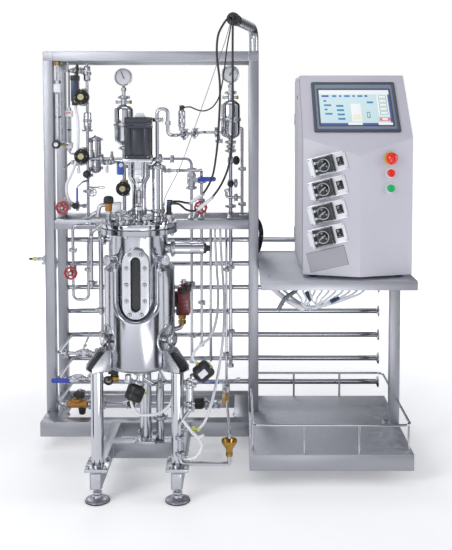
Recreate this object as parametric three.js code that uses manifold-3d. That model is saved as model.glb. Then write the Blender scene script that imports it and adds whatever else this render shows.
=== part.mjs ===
// Bench bioreactor: a stirred glass-window vessel on a stainless skid, with its gas, water and
// steam piping in an upright frame and its control cabinet on a side shelf.
// Millimetres, Z up. X runs right from the skid's left face, Y runs back from the upright frame's
// front face, Z runs up from the floor; the whole group is shifted to its bottom centre at the end.
import * as THREE from "three";
import { mergeVertices } from "three/addons/utils/BufferGeometryUtils.js";
import Module from "manifold-3d";

const wasm = await Module();
wasm.setup();

// ---------------------------------------------------------------- driving dimensions
const gap = 0.3; // running or seating clearance between separate pieces
const aroundVessel = 24; // sides of every turned piece on the vessel's axis, so that they nest

const skid = { length: 839, front: -120, back: 280, clear: 55, height: 60, rail: 60 };
const deckZ = skid.clear + skid.height;
const vesselRail = { width: 40, front: -612, crossFront: -338, crossBack: -278 };
const foot = { radius: 44, disc: 12, stem: 11, nut: 18, inset: 50, rearY: 150 };

const frame = { besideSkid: 1, depth: 280, top: 1607, tube: 40, midTop: 918 };
frame.length = skid.length + frame.besideSkid + frame.tube;
const arm = { radius: 19, rise: 93, reach: 360, lean: 83, bend: 60 };

const tray = { right: 1438, front: -453, back: 209, sheet: 3, footFront: 180 };
const guard = { height: 105, rod: 4.5, inset: 12, corner: 26 };
const shelf = { overhang: 6, front: -453, back: 243, top: 752, height: 35, sheet: 3, post: 40 };
shelf.right = tray.right + shelf.overhang;
const shelfPostFront = -151;

const header = { radius: 11, count: 7, topZ: 794, pitch: 107, inset: 18, ferrule: 25, strip: 4 };
header.right = tray.right - header.inset;
const branch = { radius: 6.5, besidePost: 12, front: -10, leverValveX: 132, solenoidX: 285 };
branch.x = frame.tube + branch.besidePost;

const vessel = { x: 447, y: -474, radius: 100, wall: 4, bottom: 452, shoulder: 500, flangeTop: 951 };
const flange = { lip: 35, thick: 18, seal: 2 };
flange.radius = vessel.radius + flange.lip;
const jacket = { space: 25, wall: 3, low: 469, high: 805, cone: 20, dish: 30 };
jacket.radius = vessel.radius + jacket.space;
const pocket = { half: 75, centreZ: 702 };
const sidePort = { azimuth: 62, z: 562, opening: 52, radius: 16, proud: 13 };
const shoulderPort = { azimuth: 48, z: 846, radius: 14, proud: 15 };
const sight = { width: 92, height: 242, z: 765, slotWidth: 34, slotHeight: 190, proud: 5, cover: 13 };
sight.pad = vessel.radius + sight.proud;
sight.face = sight.pad + sight.cover;
const leg = { radius: 22, side: 140, front: -88, rear: 166, plate: 12, top: 457 };
const bracket = { width: 60, plate: 4, inner: 531, outer: 475, reach: 195 };

const shaft = { radius: 6, bottom: 515, bore: 6.8 };
const drive = { hub: 27, hubZ: 1011, neckZ: 1105, coneZ: 1127, cone: 39, topZ: 1183, bore: 15, plate: 102 };
const motor = { side: 92, bottom: 1194, top: 1339, chamfer: 12 };
const condenser = { x: 511, y: -462, radius: 19, base: 24, bottom: 985, top: 1180, nozzleZ: 1150,
  nozzle: 34 };
const sensor = { z: 874, radius: 21, length: 116 };

const pipeRadius = 6;
const linePlaneY = 75; // depth of the main vertical lines inside the upright frame
const filter = { radius: 40, y: 140, pipe: 8 };
const gauge = { radius: 38, depth: 26 };
const actuator = { radius: 30, depth: 42 };
const wheel = { radius: 27, rim: 3.5, hub: 7 };
const lever = { length: 104, width: 22, thick: 5, hub: 13 };
const stemRadius = 4;

const cabinet = { left: 1034, right: 1434, front: -392, ridge: -449, back: 88, bottom: 764, top: 1500,
  faceLow: 1265, topFront: -180, wall: 4 };
const screen = { width: 317, height: 250, thick: 8, along: 0.47, sideBezel: 26, endBezel: 36 };
const pump = { width: 142, height: 70, thick: 4, tilt: 15, along: 91, topZ: 1170, pitch: 86.7 };
const rotor = { disc: 20, depth: 22, recess: 24.5, x: -14, orbit: 14, roller: 6.5 };
const button = { along: 117, shank: 9, estopZ: 1191, stopZ: 1138, startZ: 1083 };

// ---------------------------------------------------------------- shapes
const up = new THREE.Vector3(0, 0, 1);
const vec = (p) => new THREE.Vector3(...p);
const rad = THREE.MathUtils.degToRad;

function solid(geometry) {
  const source = geometry.index ? geometry : mergeVertices(geometry);
  source.deleteAttribute("normal");
  source.deleteAttribute("uv");
  const merged = mergeVertices(source, 1e-4);
  const index = merged.index.array;
  const kept = [];
  for (let i = 0; i < index.length; i += 3) {
    const [a, b, c] = [index[i], index[i + 1], index[i + 2]];
    if (a !== b && b !== c && c !== a) kept.push(a, b, c);
  }
  const vertProperties = new Float32Array(merged.attributes.position.array);
  const make = (triangles) => new wasm.Manifold(new wasm.Mesh({
    numProp: 3, vertProperties, triVerts: new Uint32Array(triangles) }));
  const shape = make(kept);
  if (shape.volume() > 0) return shape;
  const turned = [];
  for (let i = 0; i < kept.length; i += 3) turned.push(kept[i], kept[i + 2], kept[i + 1]);
  return make(turned);
}

const join = (...shapes) => shapes.flat().reduce((whole, next) => whole.add(next));
const cut = (shape, ...tools) => tools.flat().reduce((whole, next) => whole.subtract(next), shape);

function box(x0, x1, y0, y1, z0, z1) {
  // each corner takes its own numbers, so that boxes that share a face meet without rounding
  const geometry = new THREE.BoxGeometry(1, 1, 1);
  const corners = geometry.attributes.position;
  const pick = (value, low, high) => (value > 0 ? high : low);
  for (let i = 0; i < corners.count; i += 1) {
    corners.setX(i, pick(corners.getX(i), x0, x1));
    corners.setY(i, pick(corners.getY(i), y0, y1));
    corners.setZ(i, pick(corners.getZ(i), z0, z1));
  }
  return solid(geometry);
}

// A round bar between two points; a second radius makes it a cone.
function rod(from, to, radius, sides = 10, endRadius = radius) {
  const [a, b] = [vec(from), vec(to)];
  const along = b.clone().sub(a);
  const geometry = new THREE.CylinderGeometry(endRadius, radius, along.length(), sides);
  geometry.applyQuaternion(new THREE.Quaternion().setFromUnitVectors(
    new THREE.Vector3(0, 1, 0), along.clone().normalize()));
  const middle = a.add(b).multiplyScalar(0.5);
  return solid(geometry.translate(middle.x, middle.y, middle.z));
}

// A turned solid on a vertical axis at (x, y); the profile is [radius, height] pairs, closed.
function turned(profile, x, y, sides = aroundVessel) {
  const points = profile.map(([r, z]) => new THREE.Vector2(r, z));
  points.push(points[0].clone());
  const geometry = new THREE.LatheGeometry(points, sides).rotateX(Math.PI / 2);
  return solid(geometry.translate(x, y, 0));
}

// A flat outline of [a, b] pairs, extruded; place() then stands it where it belongs.
function slab(outline, thick) {
  const shape = new THREE.Shape(outline.map(([a, b]) => new THREE.Vector2(a, b)));
  return new THREE.ExtrudeGeometry(shape, { depth: thick, bevelEnabled: false });
}

// An upright wall slab: the outline is drawn in X and Z and fills from y0 back to y1.
function wallSlab(outline, y0, y1) {
  return solid(slab(outline, y1 - y0).rotateX(Math.PI / 2).translate(0, y1, 0));
}

function stadium(width, height, x, z, steps = 6) {
  const [radius, straight] = [width / 2, (height - width) / 2];
  const points = [];
  for (const [sign, start] of [[1, 0], [-1, Math.PI]]) {
    for (let i = 0; i <= steps; i += 1) {
      const angle = start + (i / steps) * Math.PI;
      points.push([x + radius * Math.cos(angle), z + sign * straight + radius * Math.sin(angle)]);
    }
  }
  return points;
}

// The bends of a pipe: each inner corner is replaced by an arc of the given radius.
function bend(corners, radius, steps = 2) {
  const route = [vec(corners[0])];
  for (let i = 1; i < corners.length - 1; i += 1) {
    const corner = vec(corners[i]);
    const back = vec(corners[i - 1]).sub(corner).normalize();
    const ahead = vec(corners[i + 1]).sub(corner).normalize();
    const half = back.angleTo(ahead) / 2;
    const trim = radius / Math.tan(half);
    const centre = back.clone().add(ahead).normalize().multiplyScalar(radius / Math.sin(half)).add(corner);
    const from = back.clone().multiplyScalar(trim).add(corner).sub(centre);
    const to = ahead.clone().multiplyScalar(trim).add(corner).sub(centre);
    const sweep = from.angleTo(to);
    const axis = from.clone().cross(to).normalize();
    for (let k = 0; k <= steps; k += 1) {
      route.push(from.clone().applyAxisAngle(axis, (sweep * k) / steps).add(centre));
    }
  }
  route.push(vec(corners.at(-1)));
  return route;
}

// A route whose equal steps fall on its own points, so that a pipe has rings only where it bends.
class PipeRoute extends THREE.Curve {
  constructor(points) {
    super();
    this.points = points;
  }

  getPoint(t, target = new THREE.Vector3()) {
    const place = t * (this.points.length - 1);
    const i = Math.min(Math.floor(place + 1e-9), this.points.length - 2);
    return target.lerpVectors(this.points[i], this.points[i + 1], place - i);
  }

  getPointAt(t, target) {
    return this.getPoint(t, target);
  }

  getTangentAt(t, target = new THREE.Vector3()) {
    const i = Math.round(t * (this.points.length - 1));
    const before = this.points[Math.max(i - 1, 0)];
    const after = this.points[Math.min(i + 1, this.points.length - 1)];
    const here = this.points[i];
    const into = here.clone().sub(before).normalize();
    const out = after.clone().sub(here).normalize();
    return target.copy(into.add(out).normalize());
  }

  getTangent(t, target) {
    return this.getTangentAt(t, target);
  }
}

function ring(radius, sides) {
  const points = [];
  for (let i = 0; i < sides; i += 1) {
    const angle = ((i + 0.5) / sides) * 2 * Math.PI;
    points.push(new THREE.Vector2(radius * Math.cos(angle), radius * Math.sin(angle)));
  }
  return new THREE.Shape(points);
}

function sweep(route, radius, sides) {
  return solid(new THREE.ExtrudeGeometry(ring(radius, sides), {
    extrudePath: new PipeRoute(route), steps: route.length - 1, bevelEnabled: false }));
}

const pipe = (corners, radius = pipeRadius, bendRadius = 22, sides = 8) =>
  sweep(bend(corners, bendRadius), radius, sides);

// A cord or hose through chosen points, with even steps of a few diameters.
function cord(points, radius, steps) {
  const curve = new THREE.CatmullRomCurve3(points.map(vec), false, "centripetal");
  return sweep(curve.getSpacedPoints(steps), radius, 8);
}

// ---------------------------------------------------------------- finishes and the object
const finishes = {
  brushed: [0xb9bcc2, 0.38, 1], polished: [0xd5d8dc, 0.12, 1], tube: [0xc4c7cc, 0.22, 1],
  dark: [0x24272b, 0.5, 0], motor: [0x2b3340, 0.45, 0.2], red: [0xb3202a, 0.4, 0],
  blue: [0x223f9b, 0.4, 0], green: [0x159a5a, 0.35, 0], brass: [0xb8862b, 0.3, 1],
  paint: [0xc9cad2, 0.5, 0], glass: [0x6d7a88, 0.05, 0], rubber: [0x17181a, 0.6, 0],
  hose: [0xe6e8ee, 0.35, 0], pumpRed: [0x8e1c24, 0.45, 0], acrylic: [0xbfc6cf, 0.1, 0],
};
const object = new THREE.Group();

function add(name, shape, finish, place = object) {
  const mesh = shape.getMesh();
  const geometry = new THREE.BufferGeometry();
  geometry.setAttribute("position", new THREE.BufferAttribute(mesh.vertProperties, 3));
  geometry.setIndex(new THREE.BufferAttribute(mesh.triVerts, 1));
  geometry.computeVertexNormals();
  const [color, roughness, metalness] = finishes[finish];
  const part = new THREE.Mesh(geometry, new THREE.MeshStandardMaterial({ color, roughness, metalness }));
  part.name = name;
  place.add(part);
  return part;
}

// ---------------------------------------------------------------- skid, tray and frame
function levellingFoot(x, y) {
  const { radius, disc, stem } = foot;
  const dome = turned([[0, 0], [radius, 0], [radius, 5], [radius * 0.55, disc], [0, disc]], x, y, 12);
  const nut = rod([x, y, skid.clear - 10], [x, y, skid.clear + 1], foot.nut, 6);
  return join(dome, rod([x, y, disc - 1], [x, y, skid.clear + 1], stem, 8), nut);
}

function skidBase() {
  const [z0, z1, w] = [skid.clear, deckZ, skid.rail];
  const rails = [
    box(0, skid.length, skid.front, skid.front + w, z0, z1),
    box(0, skid.length, skid.back - w, skid.back, z0, z1),
    box(0, w, skid.front, skid.back, z0, z1),
    box(skid.length - w, skid.length, skid.front, skid.back, z0, z1),
    box(vessel.x - leg.side, vessel.x + leg.side, vesselRail.crossFront, vesselRail.crossBack, z0, z1),
  ];
  const feet = [foot.inset, skid.length - foot.inset].map((x) => levellingFoot(x, foot.rearY));
  for (const x of [vessel.x - leg.side, vessel.x + leg.side]) {
    const half = vesselRail.width / 2;
    rails.push(box(x - half, x + half, vesselRail.front, skid.front + w, z0, z1));
    feet.push(levellingFoot(x, vesselRail.front + vesselRail.width));
  }
  return join(rails, feet);
}

function cableArm() {
  const t = frame.tube / 2;
  const [x, y, high] = [frame.length - t, t, frame.top + arm.rise];
  return pipe([[x, y, frame.top - 5], [x, y, high], [x - arm.lean, y - arm.reach, high]],
    arm.radius, arm.bend, 12);
}

function uprightFrame() {
  const { length, depth, top, tube, midTop } = frame;
  const bars = [box(0, tube, 0, tube, deckZ, top), box(0, tube, depth - tube, depth, deckZ, top),
    box(length - tube, length, 0, tube, deckZ, top),
    box(length - tube, length, depth - tube, depth, skid.clear, top)];
  for (const z of [top, midTop]) {
    bars.push(box(0, length, 0, tube, z - tube, z), box(0, length, depth - tube, depth, z - tube, z));
    bars.push(box(0, tube, 0, depth, z - tube, z), box(length - tube, length, 0, depth, z - tube, z));
  }
  return join(bars, cableArm());
}

function guardRail() {
  const z = deckZ + guard.height;
  const [x0, x1] = [skid.length + guard.inset, tray.right - guard.inset];
  const [y0, y1] = [tray.front + guard.inset, tray.back - guard.inset];
  const middle = (x0 + x1) / 2;
  const loop = pipe([[middle, y0, z], [x1, y0, z], [x1, y1, z], [x0, y1, z], [x0, y0, z],
    [middle + 1, y0, z]], guard.rod, guard.corner, 6);
  const posts = [];
  for (const third of [1, 2]) {
    const x = skid.length + ((tray.right - skid.length) * third) / 3;
    for (const y of [y0, y1]) posts.push(rod([x, y, deckZ - 1], [x, y, z], guard.rod, 6));
  }
  const corner = guard.corner + 8;
  for (const x of [x0, x1]) posts.push(rod([x, y0 + corner, deckZ - 1], [x, y0 + corner, z], guard.rod, 6));
  const clearOf = (bx, by, size) => box(bx - gap, bx + size + gap, by - gap, by + size + gap, deckZ, z + 20);
  return cut(join(loop, posts), clearOf(frame.length - frame.tube, 0, frame.tube),
    clearOf(tray.right - shelf.post, shelfPostFront, shelf.post));
}

// An open-bottomed folded sheet: a top plate with a skirt on each side.
function foldedSheet(x0, x1, y0, y1, z0, z1, t) {
  return cut(box(x0, x1, y0, y1, z0, z1), box(x0 + t, x1 - t, y0 + t, y1 - t, z0 - 1, z1 - t));
}

function bottleTray() {
  const t = tray.sheet;
  const sheet = foldedSheet(skid.length, tray.right, tray.front, tray.back, skid.clear, deckZ, t);
  const extras = [];
  for (const y of [tray.front + tray.footFront, tray.back - foot.inset]) {
    const x = tray.right - foot.inset;
    const half = foot.inset / 2;
    extras.push(box(x - half, tray.right - t / 2, y - half, y + half, skid.clear, deckZ - t / 2));
    extras.push(levellingFoot(x, y));
  }
  return join(sheet, extras, guardRail());
}

function shelfStand() {
  const { right, front, back, top, height, sheet, post } = shelf;
  const plate = foldedSheet(frame.length, right, front, back, top - height, top, sheet);
  const x1 = tray.right;
  const column = box(x1 - post, x1, shelfPostFront, shelfPostFront + post, deckZ, top - sheet / 2);
  return join(plate, column);
}

// ---------------------------------------------------------------- header pipes behind the frame
const headerZ = (i) => header.topZ - i * header.pitch;
const headerY = frame.depth + header.radius + 2;

function airInlet(x, y, z) {
  const step = (from, to, radius, sides) => rod([x + from, y, z], [x + to, y, z], radius, sides);
  return join(step(14, -22, header.radius, 8), step(-22, -26, header.ferrule, 12),
    step(-26, -44, 11, 6), step(-44, -84, 6, 8));
}

// A branch runs forward from a header beside the left posts and turns right to its valve.
function branchPipe(i, endX, valveX) {
  const z = headerZ(i);
  const run = pipe([[branch.x, headerY, z], [branch.x, branch.front, z], [endX, branch.front, z]],
    branch.radius, 18);
  const body = box(valveX - 22, valveX + 22, branch.front - 17, branch.front + 17, z - 17, z + 17);
  return join(run, body);
}

function headerRack() {
  const pipes = [];
  for (let i = 0; i < header.count; i += 1) {
    const [z, y] = [headerZ(i), headerY];
    pipes.push(rod([12, y, z], [header.right, y, z], header.radius, 8));
    pipes.push(rod([header.right, y, z], [header.right + 4, y, z], header.ferrule, 12));
  }
  for (const x of [5, frame.length - 35]) {
    pipes.push(box(x, x + 30, frame.depth, frame.depth + header.strip,
      headerZ(header.count - 1) - 20, headerZ(0) + 20));
  }
  pipes.push(airInlet(2, headerY, headerZ(1)));
  const { front, leverValveX, solenoidX } = branch;
  const z = headerZ(5);
  const bodies = [branchPipe(4, 230, 160), branchPipe(5, solenoidX + 15, leverValveX),
    branchPipe(6, 740, 130)];
  const solenoid = rod([solenoidX, front, z], [solenoidX, front, z + 45], 18, 10);
  const stem = rod([leverValveX, front, z], [leverValveX, front - 30, z], stemRadius, 8);
  return join(pipes, bodies, solenoid, stem);
}

// ---------------------------------------------------------------- vessel
const aboutVessel = (azimuth, radius) => [
  vessel.x + radius * Math.sin(rad(azimuth)), vessel.y - radius * Math.cos(rad(azimuth))];

function dishProfile(radius, edgeZ, depth, steps, last = 0) {
  const points = [];
  for (let i = 0; i <= steps; i += 1) {
    const r = radius + ((last - radius) * i) / steps;
    points.push([r, edgeZ - depth * Math.sqrt(Math.max(0, 1 - (r / radius) ** 2))]);
  }
  return points;
}

function radialRod(azimuth, z, r0, r1, radius, sides = 10) {
  return rod([...aboutVessel(azimuth, r0), z], [...aboutVessel(azimuth, r1), z], radius, sides);
}

function vesselShell() {
  const { radius, wall, bottom, shoulder, flangeTop, x, y } = vessel;
  const inner = radius - wall;
  const outside = dishProfile(radius, shoulder, shoulder - bottom, 4);
  const inside = dishProfile(inner, shoulder, shoulder - bottom - wall, 4).reverse();
  const cup = turned([...inside, [inner, flangeTop], [flange.radius, flangeTop],
    [flange.radius, flangeTop - flange.thick], [radius, flangeTop - flange.thick], ...outside], x, y);
  const ports = [];
  for (const side of [-1, 1]) {
    const { azimuth, z } = sidePort;
    const end = jacket.radius + sidePort.proud;
    ports.push(radialRod(side * azimuth, z, radius - 2, end, sidePort.radius));
    ports.push(radialRod(side * azimuth, z, end - 1, end + 5, 25, 12));
    const { azimuth: high, z: highZ } = shoulderPort;
    const reach = jacket.radius + shoulderPort.proud;
    ports.push(radialRod(side * high, highZ, radius - 2, reach - 5, shoulderPort.radius));
    ports.push(radialRod(side * high, highZ, reach - 6, reach, 19, 10));
  }
  ports.push(radialRod(90, sensor.z, radius - 2, radius + 14, sensor.radius - 4));
  const outlet = rod([x, y, bottom + 2], [x, y, bottom - 24], 13, 12);
  const core = turned([[0, shoulder], [inner, shoulder], [inner, flangeTop + 1], [0, flangeTop + 1]], x, y);
  const padFace = stadium(sight.width, sight.height, x, sight.z);
  const pad = cut(wallSlab(padFace, y - sight.pad, y - radius + 15), core);
  const slot = wallSlab(stadium(sight.slotWidth, sight.slotHeight, x, sight.z), y - 130, y - 60);
  const seat = wallSlab(stadium(sight.slotWidth + 16, sight.slotHeight + 16, x, sight.z),
    y - sight.pad - 1, y - sight.pad + 5);
  return cut(join(cup, ports, outlet, pad), slot, seat);
}

function heatingJacket() {
  const { radius, wall, low, high, cone, dish } = jacket;
  const [x, y, bore] = [vessel.x, vessel.y, 13 + gap];
  const outside = dishProfile(radius, low, dish, 4, bore);
  const inside = dishProfile(radius - wall, low, dish - wall, 4, bore).reverse();
  const seatRadius = vessel.radius + gap;
  const shell = turned([...inside, [radius - wall, high - 1], [seatRadius, high + cone - wall],
    [seatRadius, high + cone], [radius, high], ...outside], x, y);
  const annulusLow = low + 30;
  const annulus = turned([[seatRadius, annulusLow], [seatRadius, high + cone], [radius, high],
    [radius, annulusLow]], x, y);
  const pocketTool = (half) => wallSlab(
    [...stadium(half * 2, half * 2 + 400, x, pocket.centreZ + 200)], y - 160, y - 50);
  const openingTool = (side, r) => radialRod(side * sidePort.azimuth, sidePort.z, 60, 160, r, 18);
  let body = join(shell, annulus.intersect(pocketTool(pocket.half + wall)));
  body = cut(body, pocketTool(pocket.half));
  for (const side of [-1, 1]) {
    const sleeve = cut(openingTool(side, sidePort.opening + wall), openingTool(side, sidePort.opening));
    const rim = annulus.intersect(sleeve);
    body = join(cut(body, openingTool(side, sidePort.opening + wall / 2)), rim);
  }
  return body;
}

const headTopZ = vessel.flangeTop + flange.seal + flange.thick;
// azimuth, distance inside the rim, radius and height of each port
const headPorts = [[-60, 65, 14, 34], [-20, 43, 12, 26], [20, 43, 12, 26], [140, 37, 14, 34],
  [-120, 47, 14, 30]];
const probe = { azimuths: [75, 115], inset: 23, radius: 9, topZ: 1042, nub: 12 };

function headPlate() {
  const { x, y, flangeTop } = vessel;
  const z0 = flangeTop + flange.seal;
  const z1 = z0 + flange.thick;
  const rim = flange.radius;
  const plate = turned([[shaft.bore, flangeTop], [shaft.bore, z1], [rim - 2, z1], [rim, z1 - 2], [rim, z0],
    [rim - 20, z0], [rim - 20, flangeTop]], x, y);
  const ports = [];
  for (const [azimuth, inset, radius, height] of headPorts) {
    const [px, py] = aboutVessel(azimuth, rim - inset);
    ports.push(rod([px, py, z1 - 1], [px, py, z1 + height], radius, 8));
    ports.push(rod([px, py, z1 + height - 8], [px, py, z1 + height], radius + 5, 8));
  }
  for (const azimuth of probe.azimuths) {
    const [px, py] = aboutVessel(azimuth, rim - probe.inset);
    ports.push(rod([px, py, z1 - 1], [px, py, probe.topZ], probe.radius, 8));
    ports.push(rod([px, py, probe.topZ - 6], [px + probe.nub, py, probe.topZ - 6], 4, 8));
  }
  return join(plate, ports, safetyValve());
}

function safetyValve() {
  const [x, y] = aboutVessel(-88, flange.radius - 27);
  const z = headTopZ;
  return join(rod([x, y, z - 1], [x, y, z + 26], 8, 8), rod([x, y, z + 26], [x, y, z + 52], 13, 6),
    rod([x, y, z + 52], [x, y, z + 80], 12, 10),
    pipe([[x, y, z + 38], [x - 34, y, z + 38], [x - 34, y, z + 8]], 6, 14, 8));
}

function sightFrame() {
  const { width, height, z, slotWidth, slotHeight, face, pad } = sight;
  const [x, y] = [vessel.x, vessel.y];
  const plate = wallSlab(stadium(width, height, x, z), y - face, y - pad - gap);
  const bolts = [];
  for (const [bx, bz] of sightBolts()) bolts.push(rod([bx, y - face + 1, bz], [bx, y - face - 4, bz], 5, 6));
  return cut(join(plate, bolts), wallSlab(stadium(slotWidth, slotHeight, x, z), y - face - 10, y - pad + 5));
}

function sightBolts() {
  const middle = (sight.width + sight.slotWidth) / 4;
  const straight = (sight.height - sight.width) / 2;
  const places = [];
  for (const side of [-1, 1]) {
    for (const step of [-1, 0, 1]) places.push([vessel.x + side * middle, sight.z + step * straight]);
    for (const end of [-1, 1]) {
      places.push([vessel.x + side * middle * 0.62, sight.z + end * (straight + middle * 0.78)]);
    }
  }
  return places;
}

function sightGlass() {
  const side = sight.slotWidth + 16 - 2 * gap;
  return wallSlab(stadium(side, side + sight.slotHeight - sight.slotWidth, vessel.x, sight.z),
    vessel.y - sight.pad, vessel.y - sight.pad + 5 - gap);
}

// A leg stands on its rail and carries the jacket by an open wedge bracket.
function vesselLeg(offsetX, offsetY) {
  const [x, y] = [vessel.x + offsetX, vessel.y + offsetY];
  const z0 = deckZ + leg.plate;
  const tube = rod([x, y, z0 - 1], [x, y, leg.top + 1], leg.radius, 14);
  const base = box(x - 40, x + 40, y - 50, y + 50, deckZ, z0);
  const bolts = [];
  for (const sx of [-1, 1]) {
    for (const sy of [-1, 1]) {
      bolts.push(rod([x + sx * 30, y + sy * 38, z0 - 1], [x + sx * 30, y + sy * 38, z0 + 8], 7, 6));
    }
  }
  const { width, plate, inner, outer, reach } = bracket;
  const [root, knee] = [jacket.radius - 15, jacket.radius + 18];
  const outline = (outerSink, innerSink) => [[root, leg.top], [reach, leg.top], [reach, outer - outerSink],
    [knee, inner - innerSink], [root, inner - innerSink]];
  const [side, floor] = [outline(0, 0), outline(6, 12)];
  const wedge = (shape, from, to) => solid(slab(shape, to - from).rotateX(Math.PI / 2).translate(0, to, 0)
    .rotateZ(Math.atan2(offsetY, offsetX)).translate(vessel.x, vessel.y, 0));
  const wedges = join(wedge(side, -width / 2, -width / 2 + plate), wedge(side, width / 2 - plate, width / 2),
    wedge(floor, -width / 2 + 1, width / 2 - 1));
  const bore = jacket.radius + gap;
  const round = turned([[0, leg.top - 1], [bore, leg.top - 1], [bore, inner + 1], [0, inner + 1]],
    vessel.x, vessel.y);
  return join(tube, base, bolts, cut(wedges, round));
}

// ---------------------------------------------------------------- drive, condenser, probes
function driveHousing() {
  const { hub, hubZ, neckZ, coneZ, cone, topZ, bore, plate } = drive;
  const [x, y] = [vessel.x, vessel.y];
  const body = turned([[bore, headTopZ], [hub, headTopZ], [hub, hubZ], [hub - 1, hubZ], [hub - 1, neckZ],
    [cone, coneZ], [cone, topZ], [bore, topZ]], x, y, 20);
  const half = plate / 2;
  const top = box(x - half, x + half, y - half, y + half, topZ - 1, motor.bottom);
  const windows = [box(x - 11, x + 11, y - 60, y + 60, hubZ + 12, neckZ - 14)];
  return cut(join(body, top), rod([x, y, headTopZ - 1], [x, y, motor.bottom + 1], bore, 20), windows);
}

function driveMotor() {
  const [half, c] = [motor.side / 2, motor.chamfer];
  const outline = [[-half + c, -half], [half - c, -half], [half, -half + c], [half, half - c],
    [half - c, half], [-half + c, half], [-half, half - c], [-half, -half + c]];
  const [x, y, height] = [vessel.x, vessel.y, motor.top - motor.bottom];
  const body = solid(slab(outline, height).translate(x, y, motor.bottom));
  const plug = box(x - 14, x + 22, y - 12, y + 18, motor.top - 1, motor.top + 15);
  return join(body, plug);
}

function agitator() {
  const [x, y] = [vessel.x, vessel.y];
  const pieces = [rod([x, y, shaft.bottom], [x, y, motor.bottom - gap], shaft.radius, 8)];
  for (const z of [shaft.bottom + 20, shaft.bottom + 190]) {
    pieces.push(rod([x, y, z - 9], [x, y, z + 9], 11, 8), rod([x, y, z - 1.5], [x, y, z + 1.5], 26, 12));
    for (let i = 0; i < 6; i += 1) {
      const blade = new THREE.BoxGeometry(18, 2.4, 16).translate(27, 0, 0).rotateZ((i * Math.PI) / 3);
      pieces.push(solid(blade.translate(x, y, z)));
    }
  }
  return join(pieces);
}

function condenserBody() {
  const { x, y, radius, bottom, top } = condenser;
  const { base, nozzleZ, nozzle } = condenser;
  const body = turned([[0, headTopZ], [base, headTopZ], [base, bottom], [radius, bottom], [radius, top],
    [0, top]], x, y, 16);
  const band = (low, high, proud) => rod([x, y, low], [x, y, high], radius + proud, 14);
  return join(body, band(bottom + 18, bottom + 24, 4), band(top - 22, top - 14, 5),
    rod([x, y, nozzleZ], [x + nozzle, y, nozzleZ], 5, 8));
}

const swanNeck = { arch: 38, top: 1350, low: 1275 };
const exhaustFilter = { x: 763, bottom: 1245, top: 1413, gaugeZ: 1521, dropLow: 262 };
const inletFilter = { x: 310, bottom: 1220, top: 1393, gaugeZ: 1508, valveZ: 1038 };

function exhaustPipe() {
  const { x, y } = condenser;
  const [downX, z] = [x + swanNeck.arch, swanNeck.low];
  const endX = exhaustFilter.x - filter.radius - 34 - gap;
  const run = pipe([[x, y, condenser.top], [x, y, swanNeck.top + 19], [downX, y, swanNeck.top + 19],
    [downX, y, z], [downX + 30, y + 20, z], [endX - 40, filter.y, z], [endX, filter.y, z]], pipeRadius, 17);
  const [tx, ty] = [downX + 44, y + 75];
  const step = (low, high, radius, sides) => rod([tx, ty, z + low], [tx, ty, z + high], radius, sides);
  const transmitter = [step(0, 30, 5, 8), step(26, 34, 12, 10), step(34, 88, 13, 12), step(88, 108, 8, 8)];
  return join(run, transmitter, rod([tx, ty, z + 100], [tx + 12, ty, z + 100], 4, 8));
}

function sideSensor() {
  const start = vessel.x + vessel.radius + 14 + gap;
  const end = start + sensor.length;
  const at = (x) => [x, vessel.y, sensor.z];
  return join(rod(at(start), at(start + 10), sensor.radius + 4, 14),
    rod(at(start + 10), at(end), sensor.radius, 14), rod(at(end), at(end + 22), 10, 10));
}

// ---------------------------------------------------------------- piping inside the upright frame
// A flat bar across the two middle rails that carries a vertical line.
function railBar(x, half = 12) {
  const middle = frame.tube / 2;
  return box(x - half, x + half, middle, frame.depth - middle, frame.midTop, frame.midTop + 6);
}

function faceActuator(x, z, pipeY) {
  const front = pipeY - 14 - actuator.depth;
  return join(rod([x, front, z], [x, front + actuator.depth, z], actuator.radius, 14),
    rod([x, front - 5, z], [x, front, z], 10, 6), rod([x, front + actuator.depth, z], [x, pipeY, z], 13, 8));
}

function filterHousing({ x, bottom, top, gaugeZ }) {
  const [y, r] = [filter.y, filter.radius];
  const housing = turned([[0, bottom], [r * 0.6, bottom + 6], [r, bottom + 22], [r, top - 22],
    [r * 0.6, top - 5], [0, top]], x, y, 16);
  const clampZ = (bottom + top) / 2;
  const bands = [rod([x, y, clampZ - 4], [x, y, clampZ + 4], r + 4, 16),
    rod([x, y, top + 24], [x, y, top + 36], 21, 12)];
  const stem = rod([x, y, top - 6], [x, y, gaugeZ - gauge.radius + 4], 8, 8);
  const dial = rod([x, y - gauge.depth / 2, gaugeZ], [x, y + gauge.depth / 2, gaugeZ], gauge.radius, 18);
  const wings = rod([x - 34, y - 4, top + 30], [x + 34, y - 4, top + 30], 5, 6);
  return join(housing, bands, stem, dial, wings);
}

function inletFilterAssembly() {
  const { x, bottom } = inletFilter;
  const y = filter.y;
  return join(filterHousing(inletFilter), rod([x, y, bottom + 4], [x, y, frame.midTop + 2], filter.pipe, 8),
    railBar(x), faceActuator(x, inletFilter.valveZ, y));
}

function exhaustFilterAssembly() {
  const { x, bottom } = exhaustFilter;
  const y = filter.y;
  const z = swanNeck.low;
  const inlet = join(rod([x - filter.radius - 34, y, z], [x - filter.radius + 3, y, z], 8, 8),
    rod([x - filter.radius - 34, y, z], [x - filter.radius - 28, y, z], 15, 10));
  const drop = rod([x, y, bottom + 4], [x, y, exhaustFilter.dropLow], filter.pipe, 8);
  return join(filterHousing(exhaustFilter), drop, railBar(x), inlet);
}

const gasLine = { x: 167, filterX: 194, filterY: 112, filterLow: 1101, filterHigh: 1263,
  besidePost: 34, valveZ: 968, upperActuatorZ: 1421, lowerActuatorZ: 1178 };
gasLine.valveX = frame.tube + gasLine.besidePost;

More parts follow.
